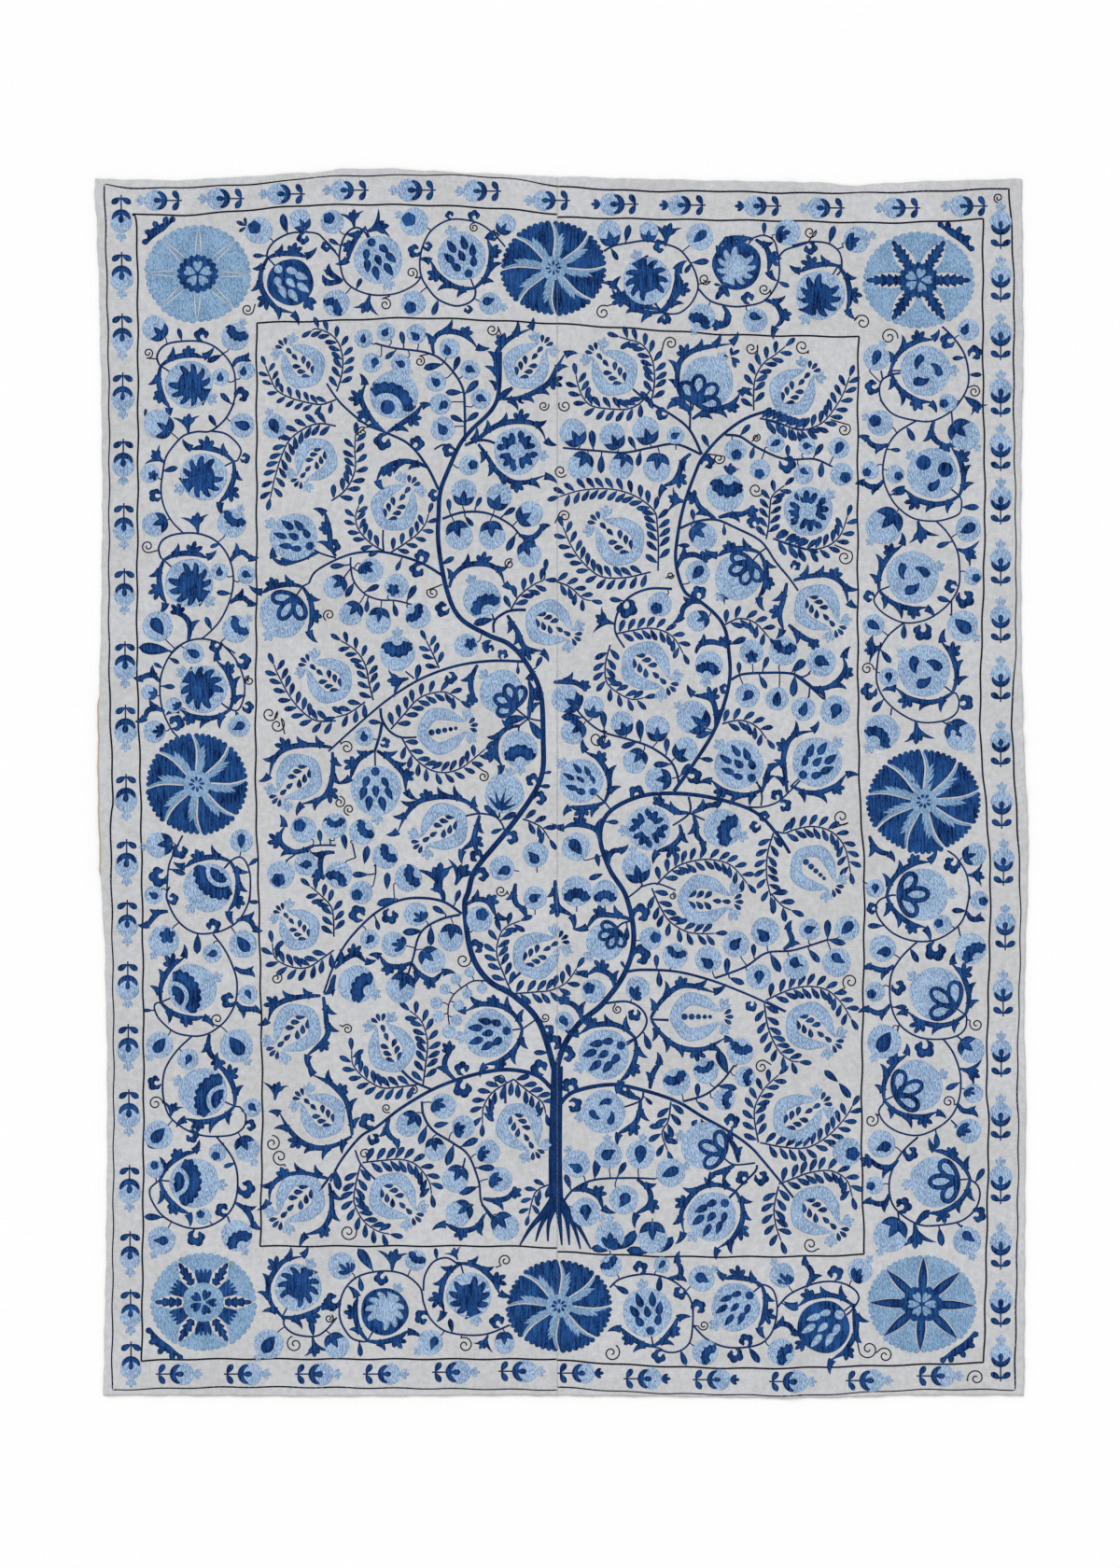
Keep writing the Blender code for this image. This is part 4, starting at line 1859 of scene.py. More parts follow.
            (84, (-128, 855), (-23, 896), (87, 925), (180, 913), (250, 880), (300, 820), (335, 720)),
        ),
        bags=((150, 1288, -46, 150),),
        fine=5.815,
    ),
    Sheet(  # left border's middle and the field's left edge
        (90, 690),
        fruits=(("sun", 742, 280, 148, -38, 108, 108),),
        berries=(
            (680, 58, 66, 150, "drop"), (403, 300, 48, -22, "cap"), (558, 380, 50, -20, "side"),
            (438, 545, 70, 4, "side"), (965, 510, 70, 95, "dot"), (465, 1250, 80, 8, "cap", True),
            (980, 1225, 72, -95, "drop"), (1365, 1155, 82, -48, "far"), (1225, 1435, 86, 65, "far"),
            (1380, 1370, 72, 68, "dot"),
        ),
        curls=(
            (546, 528, 60, 118, -1), (945, 106, 5, 118, -1), (985, 388, 0, 90, -1),
            (850, -5, 205, 96, 1), (592, 1242, -75, 118, -1), (525, 1432, 188, 150, 1),
        ),
        leaves=(
            (530, 86, -28, 66), (492, 152, 150, 60), (484, 262, -4, 76), (535, 42, 174, 176),
            (542, 1402, -18, 86), (1022, 1380, 38, 68), (1472, 1240, 95, 78),
        ),
        spirals=(
            (1030, 228, 28, 90, -1, 1000, 242), (1155, 435, 46, 20, 1, 1185, 462),
            (1202, 505, 44, 60, 1, 1250, 562),
        ),
        fronds=(
            (-1, (470, 235), (430, 200), (380, 205), (350, 236)),
            (-1, (502, 422), (450, 405), (400, 420), (378, 482)),
            (-1, (1542, 645), (1400, 632), (1260, 655), (1180, 730), (1152, 845)),
            (1, (1545, 672), (1542, 820), (1505, 930), (1440, 972), (1330, 1000)),
            (1, (1430, 1252), (1320, 1290), (1240, 1250), (1222, 1190), (1260, 1120)),
            (-1, (1560, 1298), (1492, 1310), (1475, 1380), (1490, 1455)),
        ),
        stems=(
            (9, 8, (605, 5), (530, 80), (480, 200), (475, 330), (500, 440), (550, 540), (590, 582)),
            (9, 8, (850, -10), (940, 90), (990, 200), (1000, 300), (975, 390), (940, 415), (870, 382)),
            (9, 8, (615, 1190), (560, 1300), (525, 1400), (515, 1590)),
            (9, 8, (880, 1390), (920, 1345), (970, 1325), (1010, 1360), (1035, 1450), (1032, 1600)),
            (8, 8, (945, 415), (948, 448)),
            (10, 8, (1568, 1252), (1400, 1262), (1255, 1350)),
        ),
        sprays=((84, (1568, 478), (1450, 478), (1370, 430), (1290, 340), (1222, 220), (1182, 130)),),
        bags=((1525, 225, 142, 146), (1335, 830, -135, 150)),
    ),
    Sheet(  # middle of the field, left of the seam
        (350, 690),
        fruits=(
            ("coils", 1090, 300, 138, -44, 0, 0), ("scallop", 1200, 652, 112, -88, 0, 0),
            ("seeded", 308, 912, 156, 92, 0, 0), ("plant", 1105, 930, 122, -105, 0, 0),
        ),
        berries=(
            (235, 575, 60, -15, "dot"), (50, 1130, 78, -92, "notch"), (220, 1170, 80, -140, "notch"),
            (365, 1320, 80, -140, "notch"), (508, 1455, 86, 205, "notch"), (75, 1435, 84, 60, "notch"),
            (215, 1545, 72, 30, "far"), (1090, 1395, 78, -10, "dot"), (1300, 1310, 80, -85, "dot"),
        ),
        curls=(
            (760, 175, -80, 94, 1), (1085, 95, 60, 80, 1), (332, 620, 20, 80, -1),
            (1310, 870, 150, 98, -1), (1285, 965, 0, 104, 1), (1110, 1195, -20, 104, 1),
            (960, 1350, 140, 104, -1), (925, 1440, 0, 104, 1),
        ),
        leaves=(
            (1245, 460, 180, 130, 25), (1258, 475, -55, 130), (1085, 1095, 25, 95),
            (1065, 1075, 140, 100), (1095, 1150, 200, 70), (558, 228, 80, 95), (1300, 150, 62, 74),
            (345, 490, 175, 78), (1190, 130, -90, 54), (1320, 885, 0, 66), (1345, 805, 10, 50),
            (235, 1370, 80, 106), (120, 1280, 100, 92), (260, 1435, 180, 92), (375, 1530, 88, 100),
        ),
        spirals=(
            (125, 645, 38, 150, 1, 85, 600), (80, 985, 34, 90, 1), (140, 1030, 32, -90, 1),
            (975, 825, 32, 90, 1, 905, 742), (1085, 1535, 34, 0, 1, 1130, 1560),
        ),
        fleurs=((510, 215, 190, 140), (710, 1540, 95, 190), (800, 1500, 62, 160)),
        fronds=(
            (-1, (940, 130), (905, 215), (905, 290), (935, 358)),
            (-1, (1255, 465), (1262, 380), (1272, 300), (1250, 205)),
            (-1, (1200, 510), (1120, 530), (1062, 600), (1062, 700), (1105, 778)),
            (-1, (295, 665), (205, 720), (165, 790), (145, 855)),
            (1, (312, 665), (400, 730), (478, 820), (492, 935)),
            (-1, (955, 1060), (870, 985), (760, 955), (650, 962), (560, 995), (485, 1080), (435, 1192)),
            (1, (950, 1065), (925, 1150), (900, 1230), (820, 1298)),
        ),
        stems=(
            (14, 9, (335, 400), (345, 470), (390, 540), (460, 580), (560, 580)),
            (16, 12, (345, 490), (330, 570), (300, 665)),
            (10, 8, (865, 1070), (950, 1055), (1040, 1070), (1085, 1110), (1110, 1165)),
            (9, 8, (1195, 545), (1200, 510), (1255, 465)),
            (9, 8, (1175, 400), (1255, 460), (1345, 480)),
            (9, 8, (1075, 1030), (1075, 1080)),
            (9, 8, (300, 665), (303, 782)),
            (8, 8, (545, 215), (490, 170)),
            (8, 8, (160, 1240), (180, 1330)),
            (8, 8, (305, 1370), (305, 1430)),
            (8, 8, (20, 1210), (25, 1250)),
        ),
        sprays=(
            (84, (400, 530), (480, 440), (560, 350), (640, 310), (740, 300), (830, 352)),
            (82, (465, 580), (540, 700), (640, 780), (740, 800), (840, 770), (920, 710), (985, 655)),
            (80, (290, 350), (265, 250), (240, 130), (180, 40), (90, -20)),
            (84, (240, 360), (140, 430), (60, 455)),
            (84, (1220, 1090), (1280, 1110), (1340, 1145), (1385, 1212)),
            (78, (700, 150), (660, 60), (620, -20)),
        ),
        bags=((715, 540, 10, 150, True), (730, 1140, 215, 152)),
    ),
    Sheet(  # lower left border and the field's edge
        (90, 950),
        fruits=(
            ("shell", 745, 5, 146, 50, 98, 108), ("shell", 650, 610, 146, 204, 100, 105),
            ("shell", 715, 1232, 146, -24, 98, 105),
        ),
        berries=(
            (420, 50, 56, 35, "dot"), (955, 345, 84, 125, "drop"), (770, 400, 58, 80, "dot"),
            (985, 645, 58, 180, "dot"), (455, 950, 80, 50, "drop", True),
            (915, 955, 100, 125, "drop", True), (625, 1035, 64, 130, "dot"),
            (1010, 1325, 56, 200, "dot"), (445, 1490, 86, 45, "drop"), (480, 325, 92, 55, "blob", True),
        ),
        curls=(
            (500, 75, 10, 84, -1), (775, 275, 95, 104, -1), (910, 690, 160, 110, 1),
            (465, 1185, 160, 104, 1), (965, 1430, -10, 84, 1), (625, 1465, -60, 98, 1),
        ),
        leaves=((683, 282, -92, 110), (980, 92, 0, 62), (412, 742, 180, 54)),
        spirals=(
            (800, 795, 38, -40, 1, 835, 820), (430, 1300, 40, 0, -1, 475, 1300), (1155, 550, 34, 90, 1),
            (1130, 1540, 44, 90, 1),
        ),
        fleurs=((515, 1385, 70, 104), (1145, 1280, 80, 120)),
        fronds=(
            (-1, (505, 150), (450, 160), (410, 200), (370, 255)),
            (1, (915, 208), (960, 195), (1000, 215), (1028, 275)),
            (-1, (905, 482), (950, 505), (990, 500), (1018, 475)),
            (-1, (915, 690), (945, 722), (1000, 730), (1045, 720)),
            (-1, (755, 885), (750, 950), (770, 1010), (840, 1055)),
            (-1, (1420, 655), (1300, 665), (1200, 690), (1130, 740), (1100, 830)),
            (1, (1435, 660), (1450, 800), (1450, 900), (1320, 1030)),
        ),
        stems=(
            (9, 8, (515, 0), (495, 60), (540, 170), (600, 240), (680, 280), (770, 278), (850, 255),
             (930, 200), (985, 100), (1000, 0)),
            (9, 8, (775, 285), (840, 370), (890, 470), (918, 570), (910, 690), (860, 790), (790, 855),
             (720, 890), (640, 895), (540, 870), (450, 790), (422, 720), (440, 695)),
            (9, 8, (645, 900), (570, 970), (510, 1050), (478, 1130), (475, 1250), (510, 1370),
             (600, 1450), (700, 1490), (800, 1498), (900, 1485), (960, 1440), (970, 1370), (935, 1320)),
        ),
        sprays=(
            (84, (1500, 380), (1430, 430), (1340, 485), (1240, 480), (1150, 430), (1130, 340)),
            (80, (1500, 300), (1490, 140), (1430, 60), (1360, 0)),
        ),
        bags=((1290, 255, 134, 128), (1275, 850, 226, 150), (1430, 1370, 139, 140)),
        fine=5.6,
    ),
    Sheet(  # middle of the field, right of the seam
        (600, 690),
        fruits=(
            ("seeded", 130, 850, 136, -42, 132, 78), ("seeded", 1112, 750, 152, -46, 48, 112),
            ("sprigs", 550, 1145, 138, 5, 0, 0), ("scallop", 1010, 1145, 118, -22, 0, 0),
            ("scallop", 925, 130, 86, -100, 0, 0),
        ),
        berries=(
            (825, 455, 102, -38, "cap", True), (1190, 50, 76, -85, "blob"),
            (1388, 45, 90, -105, "notch"), (1166, 320, 76, 112, "dot"), (1350, 342, 72, 80, "drop"),
            (35, 342, 88, -32, "cap"), (210, 388, 64, -100, "cap"), (385, 490, 72, -70, "cap"),
            (605, 522, 76, -92, "cap"), (780, 655, 76, -140, "cap"), (80, 550, 76, 38, "cap"),
            (465, 730, 76, 50, "cap"), (605, 845, 78, 5, "cap"), (100, 1262, 88, -55, "drop"),
            (475, 1385, 92, -78, "cap", True),
        ),
        curls=(
            (292, 572, -105, 104, -1), (1052, 282, 165, 76, 1), (468, 968, 70, 112, 1),
            (788, 828, 15, 118, -1), (1368, 972, 130, 92, -1), (1368, 985, -40, 96, 1),
            (1268, 1105, 80, 84, 1), (1248, 1125, 190, 88, 1),
        ),
        leaves=(
            (138, 458, 178, 118), (122, 400, 82, 78), (275, 528, 94, 100), (502, 600, 94, 118),
            (478, 612, 198, 92), (662, 682, 88, 88), (688, 748, 182, 98), (748, 822, 52, 90),
            (948, 545, 198, 98), (868, 712, -8, 78), (1115, 190, 92, 72), (1262, 160, 68, 80),
            (1240, 195, -62, 86), (1442, 175, 48, 98), (1460, 198, -95, 118), (286, 1106, -2, 72),
            (242, 1388, 100, 78), (268, 1430, 200, 86),
        ),
        spirals=((228, 588, 52, 60, 1, 292, 545), (700, 1568, 20, 90, 1)),
        fronds=(
            (-1, (798, 1052), (720, 1050), (660, 1015), (580, 988)),
            (1, (822, 1055), (880, 1028), (930, 1008), (998, 1010)),
            (1, (742, 1122), (748, 1190), (690, 1255), (580, 1297)),
            (-1, (832, 1068), (850, 1120), (858, 1190), (912, 1250)),
            (-1, (965, 522), (965, 430), (932, 345), (802, 315)),
            (1, (1415, 925), (1402, 800), (1395, 700), (1430, 600), (1500, 555), (1600, 540)),
            (-1, (248, 1240), (225, 1165), (150, 1132), (60, 1130), (0, 1165)),
            (1, (-40, 240), (60, 240), (110, 252), (166, 296)),
            (1, (302, 1378), (310, 1320), (345, 1288), (396, 1300)),
        ),
        stems=(
            (9, 12, (80, 360), (130, 440), (250, 540), (420, 592), (560, 640), (680, 722), (725, 800),
             (740, 872)),
            (9, 8, (1250, 1005), (1255, 940), (1222, 850)),
            (9, 8, (1150, 1012), (1250, 1015), (1350, 985), (1425, 920), (1500, 842)),
            (9, 8, (500, 1475), (505, 1510), (410, 1588)),
            (14, 8, (1320, 1150), (1380, 1225), (1432, 1302)),
            (13, 11, (1065, 222), (1130, 190), (1260, 180), (1440, 185), (1530, 235), (1600, 300)),
            (12, 8, (800, 950), (806, 1050), (700, 1130)),
            (10, 8, (806, 1052), (900, 1096)),
            (9, 8, (505, 1510), (600, 1490), (720, 1532)),
        ),
        sprays=(
            (84, (312, 5), (282, 130), (292, 240), (370, 310), (450, 345), (520, 335)),
            (84, (1008, 497), (1120, 475), (1220, 512), (1285, 590)),
            (84, (600, 1498), (690, 1410), (780, 1362), (920, 1340), (1060, 1375), (1165, 1490)),
            (84, (1328, 1175), (1292, 1300), (1285, 1440), (1310, 1568)),
        ),
        bags=((535, 140, -40, 158),),
    ),
    Sheet(  # right border's middle and the field's right edge
        (850, 690),
        fruits=(
            ("commas", 815, 165, 162, -38, 104, 118), ("seeded", 145, 735, 154, -137, 122, 0),
            ("scallop", 550, 548, 110, -128, 0, 0),
        ),
        berries=(
            (592, 207, 60, 155, "dot"), (1040, 570, 94, 128, "cap", True), (1132, 1310, 72, 195, "cap"),
            (508, 1522, 58, 150, "dot"), (175, 112, 90, -140, "dot"), (62, 405, 74, 68, "drop"),
            (260, 415, 92, 132, "dot"),
        ),
        curls=((1030, 385, 35, 118, -1), (520, 278, 190, 126, 1), (1028, 1345, 210, 126, 1)),
        leaves=((545, 38, -52, 92), (560, 348, 228, 94), (10, 172, 45, 86)),
        spirals=((460, 155, 36, 0, -1, 522, 162), (300, 1078, 48, -40, 1, 240, 1150)),
        fleurs=((762, 482, -85, 150), (1078, 1438, -5, 120), (545, 30, 190, 110)),
        fronds=(
            (-1, (474, 1195), (508, 1262), (560, 1297), (626, 1303)),
            (-1, (100, 268), (200, 270), (280, 220), (322, 140), (298, 58)),
        ),
        stems=(
            (9, 8, (545, -10), (525, 100), (522, 250), (600, 380), (760, 480), (920, 482), (1010, 435),
             (1032, 360), (1012, 305)),
            (8, 8, (930, 484), (988, 518)),
            (8, 8, (612, 400), (606, 445)),
            (9, 8, (960, 1288), (1020, 1335), (1080, 1440), (1100, 1590)),
            (11, 9, (10, 195), (100, 265), (190, 345)),
            (8, 8, (102, 270), (96, 335)),
            (9, 8, (10, 195), (60, 205), (105, 180)),
        ),
        sprays=(
            (84, (-105, 1169), (-52, 1178), (6, 1157), (122, 1137), (240, 1172), (320, 1268),
             (355, 1420)),
        ),
        bags=((125, 1400, -42, 150, True),),
        fine=5.815,
    ),
    Sheet(  # lower field, left of the seam
        (350, 950),
        fruits=(("scallop", 180, 585, 112, -28, 0, 0), ("seeded", 970, 880, 146, 8, 136, 112)),
        berries=(
            (535, 165, 72, -35, "side"), (745, 310, 78, 82, "cap"), (915, 195, 78, -122, "far"),
            (403, 345, 76, -8, "side"), (635, 440, 78, 135, "cap"), (258, 315, 58, 112, "dot"),
            (445, 610, 88, 68, "cap"), (1250, 68, 70, -90, "dot"), (1425, 805, 58, -58, "drop"),
            (490, 1425, 76, 52, "cap"), (700, 1315, 76, 165, "side"), (820, 1440, 70, 208, "side"),
            (775, 555, 34, -60, "none"), (858, 512, 32, -60, "none"), (710, 615, 34, -30, "none"),
            (843, 640, 32, 90, "none"), (933, 610, 32, 90, "none"), (658, 697, 38, 0, "none"),
            (793, 712, 34, 150, "none"), (670, 778, 36, 20, "none"), (780, 800, 36, 150, "none"),
            (735, 870, 42, 90, "none"),
        ),
        curls=(
            (218, 203, 120, 126, 1), (372, 130, -72, 118, -1), (865, 385, 30, 104, 1),
            (1300, 850, -30, 84, 1), (1335, 978, 50, 126, 1), (1400, 1010, 0, 114, 1),
            (1300, 1130, 110, 122, 1), (820, 1132, 92, 104, 1), (815, 1160, -80, 130, -1),
            (282, 1440, 130, 122, 1), (255, 1488, -35, 90, -1),
        ),
        leaves=(
            (420, 72, 196, 112), (770, 100, 70, 78), (715, 165, 150, 84), (575, 266, 184, 108),
            (625, 236, -90, 106), (295, 190, -75, 66), (1328, 995, 180, 78), (600, 1436, -112, 106),
            (735, 1416, 192, 86), (805, 1560, 25, 104),
        ),
        spirals=(
            (820, 440, 44, 40, 1, 868, 408), (125, 855, 28, 150, 1, 78, 830),
            (1310, 785, 26, 200, -1, 1280, 812), (520, 1220, 26, 120, 1, 500, 1188),
            (1045, 1160, 32, 230, 1, 1030, 1192), (360, 1328, 26, -60, 1, 378, 1358),
        ),
        fronds=(
            (1, (512, 452), (440, 475), (360, 465), (312, 398)),
            (-1, (515, 460), (560, 520), (640, 555), (708, 495)),
            (1, (50, 492), (110, 440), (180, 412), (248, 466)),
            (-1, (52, 528), (38, 590), (38, 658)),
            (-1, (702, 95), (690, 40), (660, 20), (618, 15)),
            (1, (842, 108), (900, 80), (970, 98), (1022, 192)),
            (-1, (1135, -20), (1130, 60), (1150, 110), (1206, 132)),
            (-1, (1372, -40), (1380, 60), (1400, 122), (1496, 186)),
            (1, (772, 1156), (722, 1100), (715, 1040), (762, 960)),
            (-1, (378, 1390), (365, 1450), (390, 1500), (446, 1534)),
            (-1, (152, 1492), (140, 1400), (110, 1280), (30, 1190), (-34, 1152), (-106, 1120)),
        ),
        stems=(
            (14, 10, (450, 1102), (530, 1172), (640, 1220)),
            (8, 13, (1110, 565), (1166, 512)),
            (12, 9, (1072, 1300), (1072, 1185)),
            (8, 6, (960, 565), (880, 566), (820, 600), (765, 645), (735, 700), (728, 760), (735, 822)),
        ),
        sprays=(
            (84, (1110, 635), (1060, 520), (1020, 400), (1040, 290), (1080, 240), (1160, 205)),
            (84, (1120, 642), (1250, 632), (1350, 620), (1440, 572), (1500, 490)),
            (84, (578, 1190), (595, 1060), (605, 930), (570, 810), (500, 745)),
            (84, (545, 1186), (430, 1202), (330, 1205), (230, 1150), (160, 1070), (150, 985)),
            (84, (1122, 1155), (1000, 1230), (942, 1320), (935, 1420)),
            (84, (1122, 1155), (1200, 1220), (1290, 1290), (1315, 1360)),
        ),
        bags=((1258, 410, 32, 146), (385, 970, 112, 146), (1160, 1440, -58, 146)),
        fine=5.6,
    ),
    Sheet(  # lower field, right of the seam
        (600, 950),
        fruits=(
            ("coils", 270, 330, 112, 42, 0, 0), ("seeded", 265, 1005, 150, 28, 122, 98),
            ("commas", 262, 1350, 130, 12, 0, 0),
        ),
        berries=(
            (100, 28, 92, -90, "near"), (270, 38, 78, -90, "near"), (545, 310, 68, 190, "far"),
            (690, 415, 76, -110, "notch"), (890, 435, 80, -72, "dot"), (1055, 345, 80, -68, "dot"),
            (1230, 270, 86, -82, "dot"), (1192, 540, 76, 150, "dot"), (1415, 480, 78, 122, "dot"),
            (200, 625, 72, -32, "far"), (465, 610, 72, -118, "side"), (1080, 990, 80, -105, "notch"),
            (1110, 1140, 62, 172, "notch"), (875, 1105, 76, -70, "notch"),
            (700, 1170, 82, -68, "notch"), (985, 1275, 66, 172, "notch"),
        ),
        curls=(
            (440, 182, 20, 130, 1), (430, 432, 15, 144, 1), (82, 1236, 125, 120, -1),
            (52, 1288, -40, 108, 1), (466, 736, -130, 94, 1), (1166, 688, -135, 84, 1),
            (846, 1394, -125, 100, 1), (1025, 1450, 92, 110, -1),
        ),
        leaves=(
            (402, 236, -92, 82), (580, 492, 92, 78), (592, 505, -86, 88), (1000, 530, 88, 94),
            (1163, 425, 92, 76), (1015, 546, -22, 88), (1262, 402, -62, 114), (505, 880, -70, 94),
            (508, 1262, -45, 58), (1008, 1126, 114, 142), (948, 1195, -8, 104), (825, 1268, 90, 82),
            (820, 1288, -36, 80), (392, 492, 120, 48),
        ),
        spirals=((345, 735, 26, 120, -1, 330, 700), (1210, 1080, 38, 40, -1, 1268, 1068)),
        fronds=(
            (-1, (422, 196), (330, 178), (220, 180), (150, 268)),
            (1, (545, 790), (600, 700), (700, 610), (800, 600), (945, 642)),
            (-1, (550, 802), (620, 892), (720, 960), (860, 970), (1006, 898)),
            (-1, (482, 1276), (430, 1262), (380, 1242), (332, 1224)),
            (1, (482, 1282), (470, 1360), (440, 1420), (330, 1492)),
            (1, (540, 1212), (560, 1130), (590, 1075), (622, 1046)),
            (-1, (330, 612), (300, 535), (220, 502), (150, 540)),
            (-1, (136, 820), (110, 745), (60, 702), (-5, 700)),
            (-1, (1340, 376), (1385, 330), (1375, 280), (1348, 230)),
        ),
        stems=(
            (9, 12, (540, 796), (652, 800)),
            (10, 8, (500, 1225), (485, 1282), (386, 1322)),
            (9, 9, (422, 205), (370, 222), (335, 255)),
            (11, 8, (1240, 690), (1356, 748)),
        ),
        sprays=(
            (84, (550, 8), (600, 120), (660, 210), (760, 270), (850, 282), (925, 280)),
            (90, (1265, 40), (1330, 112), (1385, 140)),
            (84, (1225, 700), (1250, 850), (1310, 980), (1380, 1040), (1430, 1050)),
            (84, (1190, 1535), (1165, 1350), (1220, 1220), (1310, 1130)),
            (90, (665, 1290), (650, 1400), (612, 1480), (645, 1580)),
        ),
        bags=((810, 780, 0, 150, True), (862, 80, -3, 156), (1425, 1385, 32, 152)),
        fine=5.6,
    ),
    Sheet(  # right border, lower half, and the field's edge
        (850, 950),
        fruits=(
            ("loops", 775, 45, 156, 182, 98, 112), ("loops", 855, 640, 158, -36, 104, 118),
            ("loops", 740, 1195, 154, 204, 112, 104),
        ),
        berries=(
            (1115, 82, 56, 168, "far"), (895, 225, 56, -15, "far"), (535, 370, 80, -28, "dot"),
            (1062, 370, 94, 128, "notch"), (490, 630, 60, 32, "far"), (545, 930, 102, 58, "drop", True),
            (1070, 980, 78, 140, "cap"), (1080, 1240, 58, 155, "side"), (1052, 1465, 74, 165, "side"),
            (98, 258, 64, -95, "dot"), (322, 248, 74, -135, "drop"), (260, 455, 86, 115, "dot"),
        ),
        curls=(
            (506, 130, 190, 84, -1), (842, 326, -72, 150, -1), (590, 588, -15, 108, -1),
            (800, 916, -112, 140, 1),
        ),
        leaves=(
            (1036, 145, 178, 80), (535, 235, 180, 82), (700, 370, -60, 88), (600, 722, 0, 74),
            (997, 1175, 206, 84), (855, 1470, -85, 88), (205, 312, 90, 104), (212, 320, -12, 94),
            (90, 375, -50, 94), (268, 1172, 140, 98), (272, 1176, -52, 104),
        ),
        spirals=(
            (1098, 825, 38, 150, -1, 1045, 798), (468, 1400, 40, 60, 1, 512, 1370),
            (930, 1290, 34, -30, -1, 984, 1302), (342, 570, 44, 230, 1, 275, 622),
        ),
        fleurs=((1000, 1090, -20, 136),),
        fronds=(
            (1, (602, 470), (560, 495), (500, 490), (440, 458)),
            (1, (580, 705), (540, 745), (490, 750), (430, 714)),
            (-1, (1040, 148), (1066, 186), (1100, 188), (1126, 152)),
            (-1, (985, 1300), (1018, 1338), (1062, 1338), (1096, 1312)),
        ),
        stems=(
            (9, 8, (1055, -10), (1050, 80), (1020, 190), (960, 260), (850, 320), (720, 325), (600, 280),
             (520, 200), (495, 130), (520, 78), (600, 48)),
            (9, 8, (745, 328), (650, 420), (590, 520), (578, 640), (600, 760), (660, 850), (760, 905),
             (880, 915), (980, 895), (1030, 850), (1040, 790)),
            (9, 8, (900, 915), (960, 1000), (1000, 1120), (1000, 1240), (965, 1350), (890, 1430),
             (760, 1490), (640, 1475), (550, 1420), (512, 1350), (540, 1300)),
            (8, 8, (988, 238), (1000, 292)),
            (8, 8, (632, 830), (622, 872)),
            (8, 8, (980, 895), (1022, 928)),
            (8, 8, (945, 1400), (992, 1446)),
        ),
        sprays=(
            (84, (-168, 683), (-73, 638), (11, 608), (112, 599), (210, 625), (290, 700), (345, 790)),
            (84, (-200, 1535), (-60, 1562), (80, 1565), (200, 1500), (300, 1400), (352, 1320)),
        ),
        bags=((100, 840, -34, 150),),
        fine=5.6,
    ),
    Sheet(  # bottom left corner
        (90, 1220),
        fruits=(("shell", 640, 255, 142, 176, 92, 98), ("sun", 1240, 860, 136, -118, 88, 168)),
        berries=(
            (775, 80, 52, 60, "far"), (412, 175, 52, -84, "far"), (945, 60, 72, 118, "cap", True),
            (692, 450, 48, -40, "far"), (450, 588, 80, 62, "dot", True),
            (885, 560, 90, 118, "notch", True), (1070, 1190, 86, 52, "drop", True),
        ),
        curls=((893, 275, -10, 124, -1), (640, 525, -70, 122, -1), (832, 436, 135, 98, 1)),
        leaves=((456, 455, 178, 96), (876, 140, 200, 64), (1330, 1144, 100, 88), (415, 60, 150, 52)),
        spirals=(
            (1137, 105, 44, -60, 1, 1168, 162), (1222, 1190, 44, 110, -1, 1206, 1142),
            (1420, 1040, 24, 60, 1, 1450, 1050),
        ),
        fleurs=((1325, 1150, -80, 120),),
        fronds=(
            (1, (878, 372), (930, 410), (965, 460), (976, 522)),
            (-1, (1416, 232), (1280, 206), (1150, 226), (1084, 290), (1075, 388)),
            (1, (1420, 255), (1432, 400), (1395, 500), (1330, 542), (1252, 558)),
            (1, (1552, -16), (1460, 32), (1363, 49), (1265, 16), (1184, -65), (1125, -168)),
        ),
        stems=(
            (9, 8, (770, -10), (860, 110), (890, 220), (880, 350), (830, 440), (740, 500), (640, 520),
             (540, 495), (450, 440), (390, 350), (384, 290), (420, 254)),
            (9, 8, (1165, 1030), (1160, 1080), (1220, 1130), (1330, 1145), (1400, 1110), (1465, 1035)),
            (8, 8, (832, 448), (846, 492)),
            (9, 13, (1440, 200), (1356, 312)),
        ),
        bags=((1250, 345, -133, 148),),
        fine=5.407,
    ),
    Sheet(  # bottom border and field, left of the seam
        (350, 1220),
        fruits=(("sun_dark", 335, 1000, 138, -120, 88, 98), ("sun", 825, 905, 132, 105, 118, 108)),
        berries=(
            (85, 735, 78, -35, "side"), (515, 705, 62, -118, "notch"), (630, 65, 64, 100, "cap"),
            (935, 75, 70, 192, "side"), (745, 235, 76, 62, "cap"), (1005, 235, 70, 180, "side"),
            (765, 432, 76, 38, "cap"), (1035, 510, 80, 128, "cap"), (60, 1200, 72, 120, "cap"),
            (600, 1180, 74, 35, "dot", True), (1030, 1185, 60, 92, "cap"),
        ),
        curls=(
            (82, 928, 190, 124, 1), (330, 772, -100, 98, -1), (590, 1022, 205, 102, -1),
            (1002, 1096, 102, 104, 1),
        ),
        leaves=(
            (190, 800, -80, 78), (190, 1180, -85, 74), (728, 1125, 100, 78), (638, 700, 96, 62),
            (268, 762, 124, 138), (735, 35, -108, 114), (868, 168, 0, 96), (876, 278, 200, 104),
            (905, 450, -105, 92), (48, 178, -78, 110),
        ),
        spirals=(
            (220, 88, 32, -60, -1, 238, 130), (125, 540, 44, -20, 1, 176, 518),
            (1035, 705, 34, 230, 1, 978, 745), (800, 1195, 42, 120, 1, 782, 1140),
        ),
        fleurs=((760, 702, 112, 80), (378, 765, 82, 138), (936, 1136, -118, 100)),
        fronds=(
            (-1, (905, 345), (980, 352), (1050, 335), (1092, 278)),
            (1, (912, 440), (860, 510), (770, 526), (668, 480)),
        ),
        stems=(
